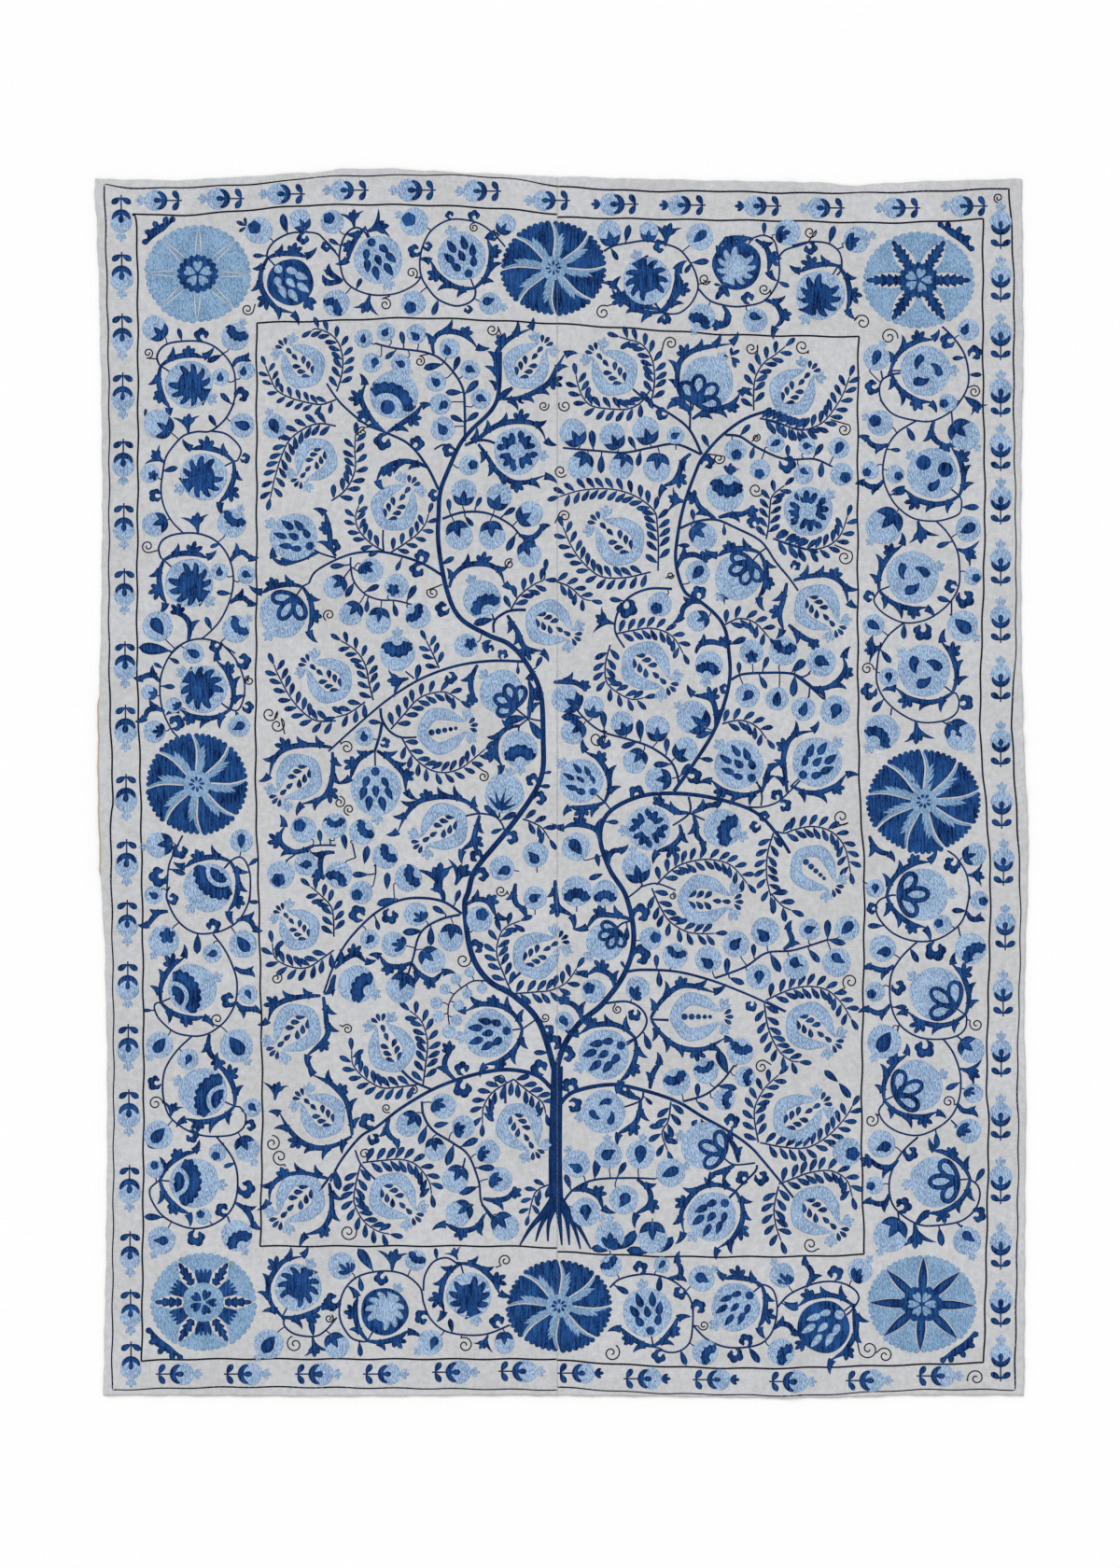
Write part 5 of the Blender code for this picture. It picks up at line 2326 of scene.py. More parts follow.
            (9, 8, (216, 1176), (140, 1150), (80, 1050), (80, 940), (120, 850), (200, 790), (330, 766),
             (450, 786), (540, 860), (562, 950), (600, 1040), (680, 1110), (800, 1136), (930, 1130),
             (1062, 1078)),
            (9, 8, (560, 880), (570, 790), (620, 712), (700, 690), (772, 736)),
            (8, 9, (165, 65), (200, 150), (282, 236)),
            (12, 9, (900, 380), (980, 470)),
            (8, 8, (850, 380), (822, 402)),
            (8, 8, (802, 110), (790, 170)),
        ),
        sprays=(
            (84, (208, 138), (320, 126), (430, 120), (520, 152), (590, 240), (608, 320)),
            (84, (196, 152), (170, 260), (160, 370), (210, 470), (290, 532), (365, 552)),
            (70, (1298, 262), (1210, 310), (1172, 440)),
        ),
        bags=((385, 335, -42, 142),),
        fine=5.407,
    ),
    Sheet(  # bottom border and field, right of the seam
        (600, 1220),
        fruits=(
            ("loops", 838, 40, 136, -22, 0, 0), ("seeded", 880, 450, 142, 46, 172, 132),
            ("seeded", 505, 1005, 142, -80, 78, 78), ("seeded", 1016, 975, 140, 40, 80, 90),
        ),
        berries=(
            (95, 145, 80, -60, "dot", True), (280, 92, 80, -86, "dot", True),
            (466, 90, 82, -98, "drop", True), (640, 195, 84, 202, "drop", True),
            (370, 352, 84, 122, "dot"), (146, 425, 84, 160, "dot", True), (295, 735, 64, -55, "notch"),
            (590, 730, 48, -132, "drop"), (820, 810, 76, 216, "dot", True),
            (1285, 790, 72, -58, "side", True), (840, 1236, 74, 150, "notch"),
            (1280, 1235, 78, 152, "notch"), (290, 562, 86, -90, "side", True),
            (535, 578, 88, 90, "cap"),
        ),
        curls=(
            (1088, 252, 130, 98, 1), (1130, 208, -20, 104, -1), (466, 786, 100, 98, -1),
            (722, 866, 215, 94, 1), (770, 1002, 35, 104, 1), (1086, 1206, 112, 98, -1),
            (1016, 1210, -100, 108, 1), (590, 1224, -108, 98, -1),
        ),
        leaves=(
            (62, 292, 110, 84), (200, 232, 80, 112), (335, 215, 60, 84), (318, 850, -30, 84),
            (580, 790, -95, 88), (698, 1225, -70, 84), (1093, 1208, -55, 98), (1290, 955, -20, 88),
            (305, 638, 178, 112), (318, 636, 15, 148, 55), (520, 656, 175, 122),
            (540, 652, 10, 132, 55),
        ),
        spirals=((298, 1240, 46, 60, 1, 334, 1202), (832, 1080, 28, 190, -1, 776, 1082)),
        fronds=(
            (1, (1012, 148), (960, 176), (864, 207)),
            (-1, (1032, 138), (1012, 60), (968, -12)),
            (1, (75, 300), (150, 300), (220, 340), (252, 420)),
            (1, (446, 235), (512, 300), (512, 380), (420, 446)),
            (-1, (628, 808), (690, 790), (692, 740), (660, 700)),
            (1, (1232, 1106), (1280, 1076), (1330, 1090), (1356, 1146)),
        ),
        stems=(
            (9, 8, (288, 862), (340, 816), (430, 790), (530, 785), (640, 816), (720, 876), (765, 960),
             (768, 1080), (750, 1180), (690, 1230), (620, 1236), (575, 1212)),
            (9, 8, (770, 1080), (850, 1160), (960, 1206), (1090, 1206), (1180, 1176), (1236, 1100),
             (1258, 980), (1236, 880), (1180, 845), (1140, 852)),
            (8, 8, (950, 112), (1010, 150), (1130, 140)),
        ),
        sprays=((86, (1266, 275), (1240, 400), (1250, 500), (1280, 590)),),
        fine=5.407,
    ),
    Sheet(  # bottom right corner
        (850, 1220),
        fruits=(("loops", 820, 250, 146, 5, 98, 118), ("seeded_dark", 175, 1090, 152, 38, 112, 122)),
        berries=(
            (310, 75, 82, 160, "far"), (510, 30, 80, -14, "dot"), (470, 270, 52, 8, "far"),
            (560, 560, 98, 58, "cap", True), (1005, 590, 82, 108, "dot", True),
            (385, 765, 72, -130, "side", True),
        ),
        curls=(
            (645, 60, -30, 104, -1), (1030, 430, -20, 108, 1), (608, 422, 60, 114, -1),
            (242, 822, 98, 108, -1),
        ),
        leaves=((1055, 250, 58, 84), (705, 490, 42, 104), (845, 515, -82, 98)),
        spirals=(
            (435, 1218, 50, 200, -1, 372, 1180), (530, 1255, 42, 150, 1, 478, 1240),
            (100, 612, 40, -40, 1, 150, 636), (1058, 1386, 46, 200, 1, 1004, 1392),
        ),
        fleurs=((702, 488, -85, 156),),
        fronds=(
            (1, (606, 120), (560, 160), (490, 152), (425, 97)),
            (1, (552, 320), (530, 365), (480, 371), (432, 344)),
            (-1, (72, 860), (102, 800), (90, 750), (44, 711)),
        ),
        stems=(
            (9, 8, (722, -10), (645, 60), (590, 140), (555, 250), (570, 370), (640, 450), (740, 500),
             (850, 500), (970, 476), (1050, 412), (1080, 330), (1066, 270), (1026, 238)),
            (9, 8, (-92, 975), (-22, 900), (100, 845), (200, 826), (290, 838), (360, 880), (378, 930),
             (340, 990), (308, 1020)),
            (8, 8, (605, 425), (612, 470)),
            (8, 8, (945, 484), (982, 518)),
            (8, 8, (345, 1000), (352, 1130), (372, 1180)),
        ),
        sprays=((84, (-85, 262), (0, 230), (100, 195), (220, 186), (310, 242), (340, 335)),),
        bags=((130, 420, -40, 150),),
        fine=5.407,
    ),
)


@dataclass(frozen=True)
class FrameLines:
    """Three thin wavy lines that part the borders from each other and from the field."""

    width: float = 1.9
    waver: float = 0.5
    waver_pitch: tuple[float, float] = (9, 10)
    outer: Sequence[Sequence[Spot]] = (
        ((112, 198), (117, 430), (117, 700), (121, 845), (119, 900), (122, 1150), (120, 1489)),
        ((1081, 202), (1086, 300), (1086, 430), (1088, 560), (1088, 700), (1084, 775),
         (1093, 960), (1090, 1150), (1091, 1240), (1087, 1489)),
        ((112, 198), (159, 202), (277, 197), (340, 190), (420, 188), (490, 188), (557, 193),
         (597, 200)),
        ((597, 200), (690, 205), (770, 205), (845, 207), (970, 206), (1081, 202)),
        ((120, 1489), (256, 1486), (400, 1487), (597, 1489)),
        ((597, 1486), (692, 1492), (780, 1494), (860, 1495), (980, 1489), (1087, 1489)),
    )
    inner: Sequence[Sequence[Spot]] = (
        ((142, 229), (147, 260), (148, 480), (147, 700), (151, 860), (154, 1150), (152, 1458)),
        ((1053, 235), (1053, 400), (1055, 560), (1050, 770), (1056, 860), (1061, 955),
         (1057, 1150), (1059, 1220), (1054, 1460)),
        ((142, 229), (193, 231), (270, 225), (340, 220), (450, 220), (539, 224), (597, 230)),
        ((597, 233), (700, 235), (846, 237), (953, 239), (1053, 235)),
        ((152, 1458), (220, 1456), (400, 1456), (597, 1456)),
        ((597, 1457), (692, 1463), (803, 1466), (905, 1464), (1054, 1460)),
    )
    field: Sequence[Sequence[Spot]] = (
        ((275, 346), (275, 600), (274, 830), (277, 950), (281, 1150), (281, 1220), (279, 1335)),
        ((920, 361), (919, 430), (919, 700), (921, 850), (926, 950), (923, 1200), (926, 1344)),
        ((275, 346), (350, 344), (453, 341), (597, 347)),
        ((597, 347), (720, 355), (789, 359), (920, 361)),
        ((279, 1335), (350, 1335), (535, 1335), (597, 1337)),
        ((597, 1341), (711, 1346), (850, 1346), (926, 1344)),
    )

    def draw(self, motifs: Motifs) -> None:
        """Work the lines, side by side, each a little unsteady.

        Args:
            motifs: what draws.
        """
        down, across = self.waver_pitch
        for side in (*self.outer, *self.inner, *self.field):
            path = [(x + self.waver * sin(y / down), y + self.waver * sin(x / across))
                    for x, y in smooth(side, 5.0)]
            motifs.work.band(Tone.LINE, path, lambda t: self.width / 2)


@dataclass(frozen=True)
class GuardBorder:
    """Narrow outer border: round buds that follow each other, each on a stem with two leaves.

    The left column drifts inwards as it goes down, and the right one bulges outwards once.
    """

    radius: float = 11.9
    stem_end: float = 29
    stem_width: float = 1.6
    leaf_place: float = 26
    leaf_size: tuple[float, float] = (12.5, 6.6)
    leaf_lean: float = 116
    crown_size: float = 11.0
    left_column: float = 130
    left_drift: float = 9.5
    left_run: tuple[float, float] = (238, 1110)
    right_column: float = 1072
    right_bulge: float = 5
    bulge_row: float = 985
    bulge_reach: float = 160
    left: Sequence[float] = (238, 299, 365, 428, 499, 568, 638, 716, 784, 858, 928, 993, 1059,
                             1126, 1196, 1277, 1348, 1410, 1466)
    right: Sequence[float] = (238, 295, 357, 418, 476, 533, 599, 660, 723, 793, 859, 920, 989,
                              1060, 1125, 1193, 1261, 1331, 1393, 1451)
    top: Sequence[Spot] = ((166, 215), (233, 213), (298, 208), (366, 204), (438, 204),
                           (508, 205), (582, 215), (655, 219), (727, 220), (808, 221),
                           (876, 223), (957, 223), (1029, 221))
    bottom: Sequence[Spot] = ((196, 1472), (269, 1472), (345, 1472), (418, 1472), (492, 1470),
                              (563, 1469), (626, 1471), (697, 1477), (771, 1478), (853, 1480),
                              (935, 1479), (1011, 1474))
    dark_crowns: Sequence[float] = (655, 727, 808, 626, 697, 771)

    def bud(self, motifs: Motifs, x: float, y: float, way: float) -> None:
        """One bud whose stem grows along a heading.

        Args:
            motifs: what draws.
            x: its column.
            y: its row.
            way: heading of its stem.
        """
        size = self.radius * (1 + 0.05 * sin(x + y))
        motifs.disc(x, y, size)
        cap = arc(x, y, size * 0.8, way - 78, 156, 1.6)
        motifs.work.band(Tone.DARK, cap, lambda t: size * 0.18 * max(sin(pi * t), 0.0) ** 0.5,
                         lambda t: size * 0.36 * max(sin(pi * t), 0.0) ** 0.6, level=1)
        motifs.leaflet(*walk(x, y, way, size * 0.8), way + 180, size * 0.95, size * 0.56, level=1)
        motifs.stem([walk(x, y, way, size), walk(x, y, way, self.stem_end)], self.stem_width)
        for side in (1, -1):
            motifs.leaflet(*walk(x, y, way, self.leaf_place), way + side * self.leaf_lean,
                           *self.leaf_size, side * 12)
        tone = Tone.DARK if x in self.dark_crowns and way in (0, 180) else Tone.LIGHT
        motifs.crown(*walk(x, y, way + 180, size - 1), way + 180, self.crown_size, tone)

    def draw(self, motifs: Motifs) -> None:
        """Work the buds of all four sides.

        Args:
            motifs: what draws.
        """
        first, run = self.left_run
        for y in self.left:
            self.bud(motifs, self.left_column + self.left_drift * (y - first) / run, y, 90)
        for y in self.right:
            bulge = self.right_bulge * max(0.0, 1 - abs(y - self.bulge_row) / self.bulge_reach)
            self.bud(motifs, self.right_column + bulge, y, -90)
        for x, y in self.top:
            self.bud(motifs, x, y, 0)
        for x, y in self.bottom:
            self.bud(motifs, x, y, 180)


class Flower(Enum):
    """The kinds of large round flower in the main border."""

    PALE = "light petals with light darts between them"
    LEAVED = "light petals with dark leaves between them"
    BLOCKED = "light petals with dark blocks at their feet and dark leaves between them"
    LANCED = "light petals with dark lances between them"
    PINWHEEL = "dark sectors, each with a light feather along one side"


@dataclass(frozen=True)
class Rosettes:
    """The eight large round flowers of the main border, most a little wider than high."""

    eye: float = 22.5
    bow: float = 5.0
    places: Sequence[tuple[Flower, float, float, float, float, float, int]] = (
        (Flower.PALE, 212, 293.5, 57, 0.925, -1, 8), (Flower.LEAVED, 984, 300.5, 60, 0.87, 0, 6),
        (Flower.BLOCKED, 218, 1395, 57, 0.93, 0, 6), (Flower.LANCED, 987.5, 1397, 58.5, 0.9, -2, 8),
        (Flower.PINWHEEL, 593, 287.5, 57, 0.895, 2, 8), (Flower.PINWHEEL, 211, 840, 55, 1.0, 5, 8),
        (Flower.PINWHEEL, 989.5, 858.5, 61.5, 0.91, 12, 9),
        (Flower.PINWHEEL, 599, 1399, 57, 0.875, 0, 8),
    )
    brackets: Sequence[tuple[float, float, float, float]] = (
        (212, 293.5, 116, 150), (984, 300.5, 68, 29), (218, 1395, 247, 205),
        (987.5, 1397, -69, -27),
    )

    def dark_eye(self, motifs: Motifs, x: float, y: float, count: int, turn: float,
                 scallops: int) -> None:
        """Dark scalloped middle with a ring of light hearts."""
        motifs.blot(Tone.DARK, x, y, self.eye, scallop_edge(scallops, 0.13), scallops * 4, 1)
        motifs.hearts(x, y, count, 15.5, turn, Tone.SKY, 2)

    def petals(self, motifs: Motifs, x: float, y: float, radius: float, turn: float, count: int,
               opening: float, lobes: int) -> Iterable[float]:
        """Light petals; yields the heading of the gap after each of them.

        Args:
            motifs: what draws.
            x: the flower's column.
            y: the flower's row.
            radius: its radius.
            turn: heading of the gap before the first petal.
            count: petals in all.
            opening: how far the gaps open, in steps.
            lobes: lobes along the outer edge of each.

        Returns:
            The headings of the gaps.
        """
        for k in range(count):
            way = turn + 360 * (k + 0.5) / count
            motifs.wedge(x, y, way, 360 / count, 20, radius * (1 + 0.02 * sin(3 * k)), Tone.SKY,
                         1.2, opening, lobes, 0.04)
            yield way + 180 / count

    def pale(self, motifs: Motifs, x: float, y: float, radius: float, turn: float,
             count: int) -> None:
        """Light petals, with narrow light darts between them.

        Args:
            motifs: what draws.
            x: the flower's column.
            y: the flower's row.
            radius: its radius.
            turn: heading of the gap before the first petal.
            count: petals in all.
        """
        for way in self.petals(motifs, x, y, radius, turn, count, 5.6, 5):
            motifs.thorn(*walk(x, y, way, 19), way, radius - 21, 5.2, 0.0, Tone.SKY)
        self.dark_eye(motifs, x, y, 5, 90, 18)

    def leaved(self, motifs: Motifs, x: float, y: float, radius: float, turn: float,
               count: int) -> None:
        """Light petals, with dark serrated leaves between them.

        Args:
            motifs: what draws.
            x: the flower's column.
            y: the flower's row.
            radius: its radius.
            turn: heading of the gap before the first petal.
            count: petals in all.
        """
        for way in self.petals(motifs, x, y, radius, turn, count, 19, 7):
            motifs.feather(*walk(x, y, way, 20), way, radius - 23, 15.5, 5)
        self.dark_eye(motifs, x, y, 5, 75, 18)

    def blocked(self, motifs: Motifs, x: float, y: float, radius: float, turn: float,
                count: int) -> None:
        """Light petals with notched blocks at their feet and leaves between them.

        Args:
            motifs: what draws.
            x: the flower's column.
            y: the flower's row.
            radius: its radius.
            turn: heading of the gap before the first petal.
            count: petals in all.
        """
        for way in self.petals(motifs, x, y, radius, turn, count, 16.5, 7):
            motifs.wedge(x, y, way + 180 / count, 32, 22.5, 39, Tone.DARK, 0.4, 0.0, 4, 0.16, 1)
            motifs.feather(*walk(x, y, way, 23), way, radius - 27, 12.5, 4)
        motifs.blot(Tone.SKY, x, y, self.eye, scallop_edge(12, 0.09), 48, 1)
        motifs.hearts(x, y, 5, 15.5, 70, Tone.DARK, 2)

    def lanced(self, motifs: Motifs, x: float, y: float, radius: float, turn: float,
               count: int) -> None:
        """Light petals, with dark lances between them.

        Args:
            motifs: what draws.
            x: the flower's column.
            y: the flower's row.
            radius: its radius.
            turn: heading of the gap before the first petal.
            count: petals in all.
        """
        for way in self.petals(motifs, x, y, radius, turn, count, 11.5, 6):
            motifs.work.band(Tone.DARK, bend(*walk(x, y, way, 18), way, radius - 21, 0, 8),
                             lambda t: 4.5 * sin(pi * (0.3 + 0.7 * t)) + 0.2, level=1)
        self.dark_eye(motifs, x, y, 6, 60, 14)

    def pinwheel(self, motifs: Motifs, x: float, y: float, radius: float, turn: float,
                 count: int) -> None:
        """Dark sectors, each with a light feather along one side.

        Args:
            motifs: what draws.
            x: the flower's column.
            y: the flower's row.
            radius: its radius.
            turn: heading of the first feather.
            count: sectors in all.
        """
        for k in range(count):
            way = turn + 360 * k / count
            motifs.wedge(x, y, way - 180 / count, 360 / count, 11,
                         radius * (1 + 0.02 * sin(3 * k)), Tone.DARK, 2.0, 0.0, 6, 0.05,
                         bow=-self.bow)
            path = [walk(*walk(x, y, way - self.bow * sin(pi * n / 12), 12 + (radius - 15) * n / 12),
                         way - 90, 1.2) for n in range(13)]
            motifs.work.band(Tone.SKY, path, lambda t: 0.2,
                             lambda t: 4.8 * (1.02 - t) ** 0.55, level=1)
            for index, size in ((0, 15), (2, 16), (4, 14), (6, 11)):
                root = walk(*path[index], way - 90, 2.0)
                motifs.thorn(*root, way - 36, size, 6.0, 6, Tone.SKY, 1)
        motifs.disc(x, y, 14.5, Tone.SKY, 2)
        for k in range(8):
            way = turn + 45 * k
            motifs.leaflet(*walk(x, y, way, 2.4), way, 6.4, 3.9, 0.0, Tone.DARK, 3)

    def bracket(self, motifs: Motifs, x: float, y: float, low: float, high: float) -> None:
        """Tuft of pointed leaves on a blade that fits round a flower in the border's corner.

        Args:
            motifs: what draws.
            x: the flower's column.
            y: the flower's row.
            low: heading from the flower to where the blade starts.
            high: heading from the flower to where it ends.
        """
        points = [walk(x, y, low + (high - low) * k / 6, 60 + 0.9 * abs(k - 2)) for k in range(7)]
        tall = [lambda t: 0.4 + 8.5 * sin(pi * t) ** 0.8 * (0.75 + 0.25 * (6 * t % 1.0)),
                lambda t: 0.4 + 1.2 * sin(pi * t)]
        motifs.work.band(Tone.DARK, smooth(points, 1.2), *(tall if high < low else tall[::-1]))
        for share, lean, size in ((0.1, -60, 9), (0.26, -38, 11), (0.46, -8, 12), (0.64, 18, 12),
                                  (0.84, 45, 10)):
            way = low + (high - low) * share
            lean = lean if high > low else -lean
            motifs.leaflet(*walk(x, y, way, 62), way + lean, size, 6.5, lean / 2)

    def draw(self, motifs: Motifs) -> None:
        """Work the flowers, and the tufts in the border's corners.

        Args:
            motifs: what draws.
        """
        makers = {Flower.PALE: self.pale, Flower.LEAVED: self.leaved,
                  Flower.BLOCKED: self.blocked, Flower.LANCED: self.lanced,
                  Flower.PINWHEEL: self.pinwheel}
        for flower, x, y, radius, flat, turn, count in self.places:
            motifs.work.flatten(y, flat)
            makers[flower](motifs, x, y, radius, turn, count)
        motifs.work.flatten()
        for corner in self.brackets:
            self.bracket(motifs, *corner)


@dataclass(frozen=True)
class Tree:
    """Roots, trunk and boughs of the field's tree, as (first width, last width, places...)."""

    boughs: Sequence[tuple] = (
        (9.5, 11.5, (597, 1142), (596, 1180), (595, 1240), (596, 1292)),
        (5.0, 3.2, (595, 1150), (578, 1096), (552, 1068), (523, 1050), (505, 1021), (498, 973),
         (502, 955), (510, 931), (541, 893), (569, 855), (581, 828), (582, 793), (579, 742),
         (563, 709), (545, 690), (522, 680), (493, 662), (479, 633), (470, 585), (470, 550),
         (472, 526), (481, 502), (493, 476), (505, 461), (532, 430), (536, 377)),
        (5.0, 2.6, (595, 1150), (604, 1121), (621, 1096), (646, 1075), (670, 1041), (679, 1004),
         (671, 961), (653, 931), (643, 897), (652, 871), (683, 854), (720, 850), (764, 855),
         (807, 869), (832, 893), (846, 914)),
        (3.2, 2.4, (722, 848), (746, 814), (765, 783), (777, 750), (782, 724), (781, 700),
         (777, 675), (767, 659), (748, 643), (733, 633), (724, 602), (727, 568), (734, 537),
         (746, 504), (753, 490), (772, 468), (798, 449), (827, 439)),
        (2.4, 1.7, (752, 487), (739, 461), (720, 445), (696, 432), (678, 417)),
        (1.8, 1.5, (739, 461), (740, 430)),
        (2.2, 1.6, (751, 487), (724, 476), (696, 480), (669, 485), (638, 483), (603, 480)),
        (2.2, 1.6, (777, 466), (793, 468), (812, 480), (841, 492), (872, 492), (891, 500)),
        (2.2, 1.6, (729, 566), (746, 559), (767, 557), (789, 566), (815, 580), (831, 602),
         (845, 619), (855, 633)),
        (2.2, 1.6, (720, 631), (695, 631), (674, 640), (662, 656), (659, 676), (669, 694)),
        (2.4, 1.6, (562, 709), (531, 708), (501, 711), (474, 718), (446, 730), (415, 750),
         (384, 776), (352, 805)),
        (2.4, 1.6, (476, 618), (453, 604), (427, 595), (402, 591), (372, 595), (340, 611),
         (331, 625)),
        (2.4, 1.6, (470, 525), (457, 499), (438, 476), (412, 463), (391, 454), (365, 432),
         (350, 411)),
        (2.2, 1.6, (498, 473), (498, 440), (495, 414), (477, 389), (457, 378), (422, 373),
         (402, 368)),
        (2.2, 1.6, (474, 556), (496, 549), (522, 550), (545, 561), (557, 573), (563, 580)),
        (2.4, 1.6, (495, 979), (475, 966), (450, 962), (427, 965), (404, 977), (386, 993),
         (370, 1012), (357, 1036), (347, 1064)),
        (2.2, 1.6, (493, 980), (475, 984), (457, 993), (448, 1005), (443, 1025), (437, 1045)),
        (3.6, 1.8, (591, 1166), (575, 1152), (546, 1146), (518, 1149), (489, 1157), (462, 1168),
         (430, 1187), (404, 1207), (386, 1218), (365, 1244), (354, 1266)),
        (2.2, 1.6, (452, 1180), (454, 1195), (464, 1211), (486, 1225), (502, 1238), (513, 1266),
         (516, 1288), (529, 1309)),
        (3.6, 1.8, (598, 1186), (614, 1170), (654, 1162), (689, 1168), (725, 1180), (752, 1196),
         (779, 1211), (802, 1227), (818, 1244), (850, 1283)),
        (2.4, 1.6, (672, 1041), (689, 1039), (725, 1041), (761, 1050), (793, 1062), (818, 1073),
         (841, 1084)),
        (2.0, 1.6, (766, 1048), (798, 1036), (821, 1021), (850, 1018), (886, 1007)),
        (2.0, 1.5, (648, 1075), (671, 1073), (686, 1080), (693, 1093), (687, 1107), (671, 1120)),
        (2.0, 1.6, (732, 1180), (755, 1173), (773, 1159), (787, 1141)),
        (2.0, 1.5, (604, 1287), (615, 1274), (637, 1264), (674, 1262), (702, 1263)),
        (2.0, 1.5, (811, 1248), (809, 1255), (794, 1270), (781, 1283)),
        (7.0, 1.2, (593, 1285), (582, 1300), (568, 1316), (557, 1334)),
        (6.0, 1.2, (594, 1288), (580, 1312), (574, 1330)),
        (6.0, 1.2, (596, 1288), (588, 1310), (587, 1330)),
        (6.0, 1.2, (597, 1288), (600, 1312), (602, 1334)),
        (6.5, 1.2, (599, 1288), (607, 1305), (610, 1334)),
        (6.0, 1.2, (600, 1290), (614, 1312), (622, 1338)),
        (6.5, 1.2, (600, 1285), (618, 1311), (633, 1338)),
    )

    def draw(self, motifs: Motifs) -> None:
        """Work the trunk, roots and boughs."""
        for first, last, *places in self.boughs:
            motifs.stem(places, first * STEM_FOOT_FILL, last * STEM_TIP_FILL)


@dataclass(frozen=True)
class Sheets:
    """The cloth itself: two face panels and the lining, closed sheets over the same folds."""

    cloth: Cloth = CLOTH
    wide: float = 11.0
    hem_reach: float = 11.0
    hem_rise_m: float = 0.00030
    lining_inset: float = 4.0
    lining_overhang: float = 1.6
    ripple: float = 0.4
    ripples_from: Spot = (480, 638)
    ripple_run: float = 20
    column_marks: Sequence[float] = (-492, -261, -4.5, 247, 344, 492)
    row_marks: Sequence[float] = (-650, -505, -8.5, 46, 74, 500, 650)

    def rippled(self, x: float, y: float) -> Spot:
        """Plan position of a lattice place, with the small ripples of the edges.

        Args:
            x: steps to the right of the cloth's middle.
            y: steps up from it.

        Returns:
            The position in metres.
        """
        plan_x, plan_y = self.cloth.place(x, y)
        from_x, from_y = self.ripples_from
        side = ease((abs(x) - from_x) / self.ripple_run) * self.ripple * CHART_STEP
        end = ease((abs(y) - from_y) / self.ripple_run) * self.ripple * CHART_STEP
        plan_x += side * (sin(y * 0.113 + x) + 0.6 * sin(y * 0.29))
        plan_y += end * (sin(x * 0.121 + y) + 0.6 * sin(x * 0.31))
        return (plan_x, plan_y)

    def panel_shift(self, side: int) -> Callable[[float, float], Spot]:
        """Half the seam's gap, for a panel's places along the seam."""
        half = side * self.cloth.seam_gap_m / 2
        return lambda column, row: (half if column == self.cloth.seam else 0.0, 0.0)

    def lining_shift(self, column: float, row: float) -> Spot:
        """Inset of the lining's edges, and its overhang where it has crept out.

        Args:
            column: steps to the right of the cloth's middle.
            row: steps up from it.

        Returns:
            The move in metres.
        """
        cloth = self.cloth
        inset = self.lining_inset * CHART_STEP
        out = (self.lining_inset + self.lining_overhang) * CHART_STEP * cloth.lining_out(row)
        move_x = 0.0
        if abs(column) == cloth.half_wide:
            move_x = inset - out if column < 0 else -inset
        move_y = 0.0
        if abs(row) == cloth.half_long:
            move_y = inset if row < 0 else -inset
        return (move_x, move_y)

    def sheet(self, name: str, low: float, high: float, base: float, thick: float, hem: float,
              shift: Callable[[float, float], Spot]) -> bpy.types.Object:
        """One closed sheet of the cloth.

        Args:
            name: the piece's name.
            low: its left edge, in steps from the cloth's middle.
            high: its right edge.
            base: height in metres of its underside where the cloth is flat.
            thick: its thickness in metres.
            hem: height in metres by which its turned hem stands proud.
            shift: move in metres of a lattice place.

        Returns:
            The sheet.
        """
        cloth = self.cloth
        long = cloth.half_long
        columns = cloth.lattice(low, high, self.column_marks, self.wide)
        rows = cloth.lattice(-long, long, self.row_marks, self.wide)
        mesh = bmesh.new()
        inward = mesh.verts.layers.float.new("inward")
        bmesh.ops.create_grid(mesh, x_segments=len(columns) - 1, y_segments=len(rows) - 1, size=1)
        for vert in mesh.verts:
            column = columns[round((vert.co.x + 1) / 2 * (len(columns) - 1))]
            row = rows[round((vert.co.y + 1) / 2 * (len(rows) - 1))]
            x, y = self.rippled(column, row)
            shift_x, shift_y = shift(column, row)
            lift = cloth.relief(x / CHART_STEP, y / CHART_STEP)
            vert.co = (x + shift_x, y + shift_y, base + lift)
            vert[inward] = min(cloth.half_wide - abs(column), long - abs(row))
        top = bmesh.ops.extrude_face_region(mesh, geom=list(mesh.faces))
        raised = [item for item in top["geom"] if isinstance(item, bmesh.types.BMVert)]
        bmesh.ops.recalc_face_normals(mesh, faces=list(mesh.faces))
        for vert in raised:
            vert.co.z += thick + hem * ease((self.hem_reach - vert[inward]) / 3)
        mesh.normal_update()
        bmesh.ops.recalc_face_normals(mesh, faces=list(mesh.faces))
        mesh.verts.layers.float.remove(inward)
        for face in mesh.faces:
            face.smooth = abs(face.normal.z) > 0.5
        return piece_from(mesh, name)

    def build(self) -> tuple[bpy.types.Object, bpy.types.Object, bpy.types.Object]:
        """Make the left panel, the right panel and the lining.

        Returns:
            The three pieces, in that order.
        """
        cloth = self.cloth
        base = cloth.lining_m + cloth.layer_gap_m
        half = cloth.half_wide
        left = self.sheet("face_left", -half, cloth.seam, base, cloth.face_m, self.hem_rise_m,
                          self.panel_shift(-1))
        right = self.sheet("face_right", cloth.seam, half, base, cloth.face_m, self.hem_rise_m,
                           self.panel_shift(1))
        lining = self.sheet("lining_cloth", -half, half, 0.0, cloth.lining_m, 0.0,
                            self.lining_shift)
        return left, right, lining


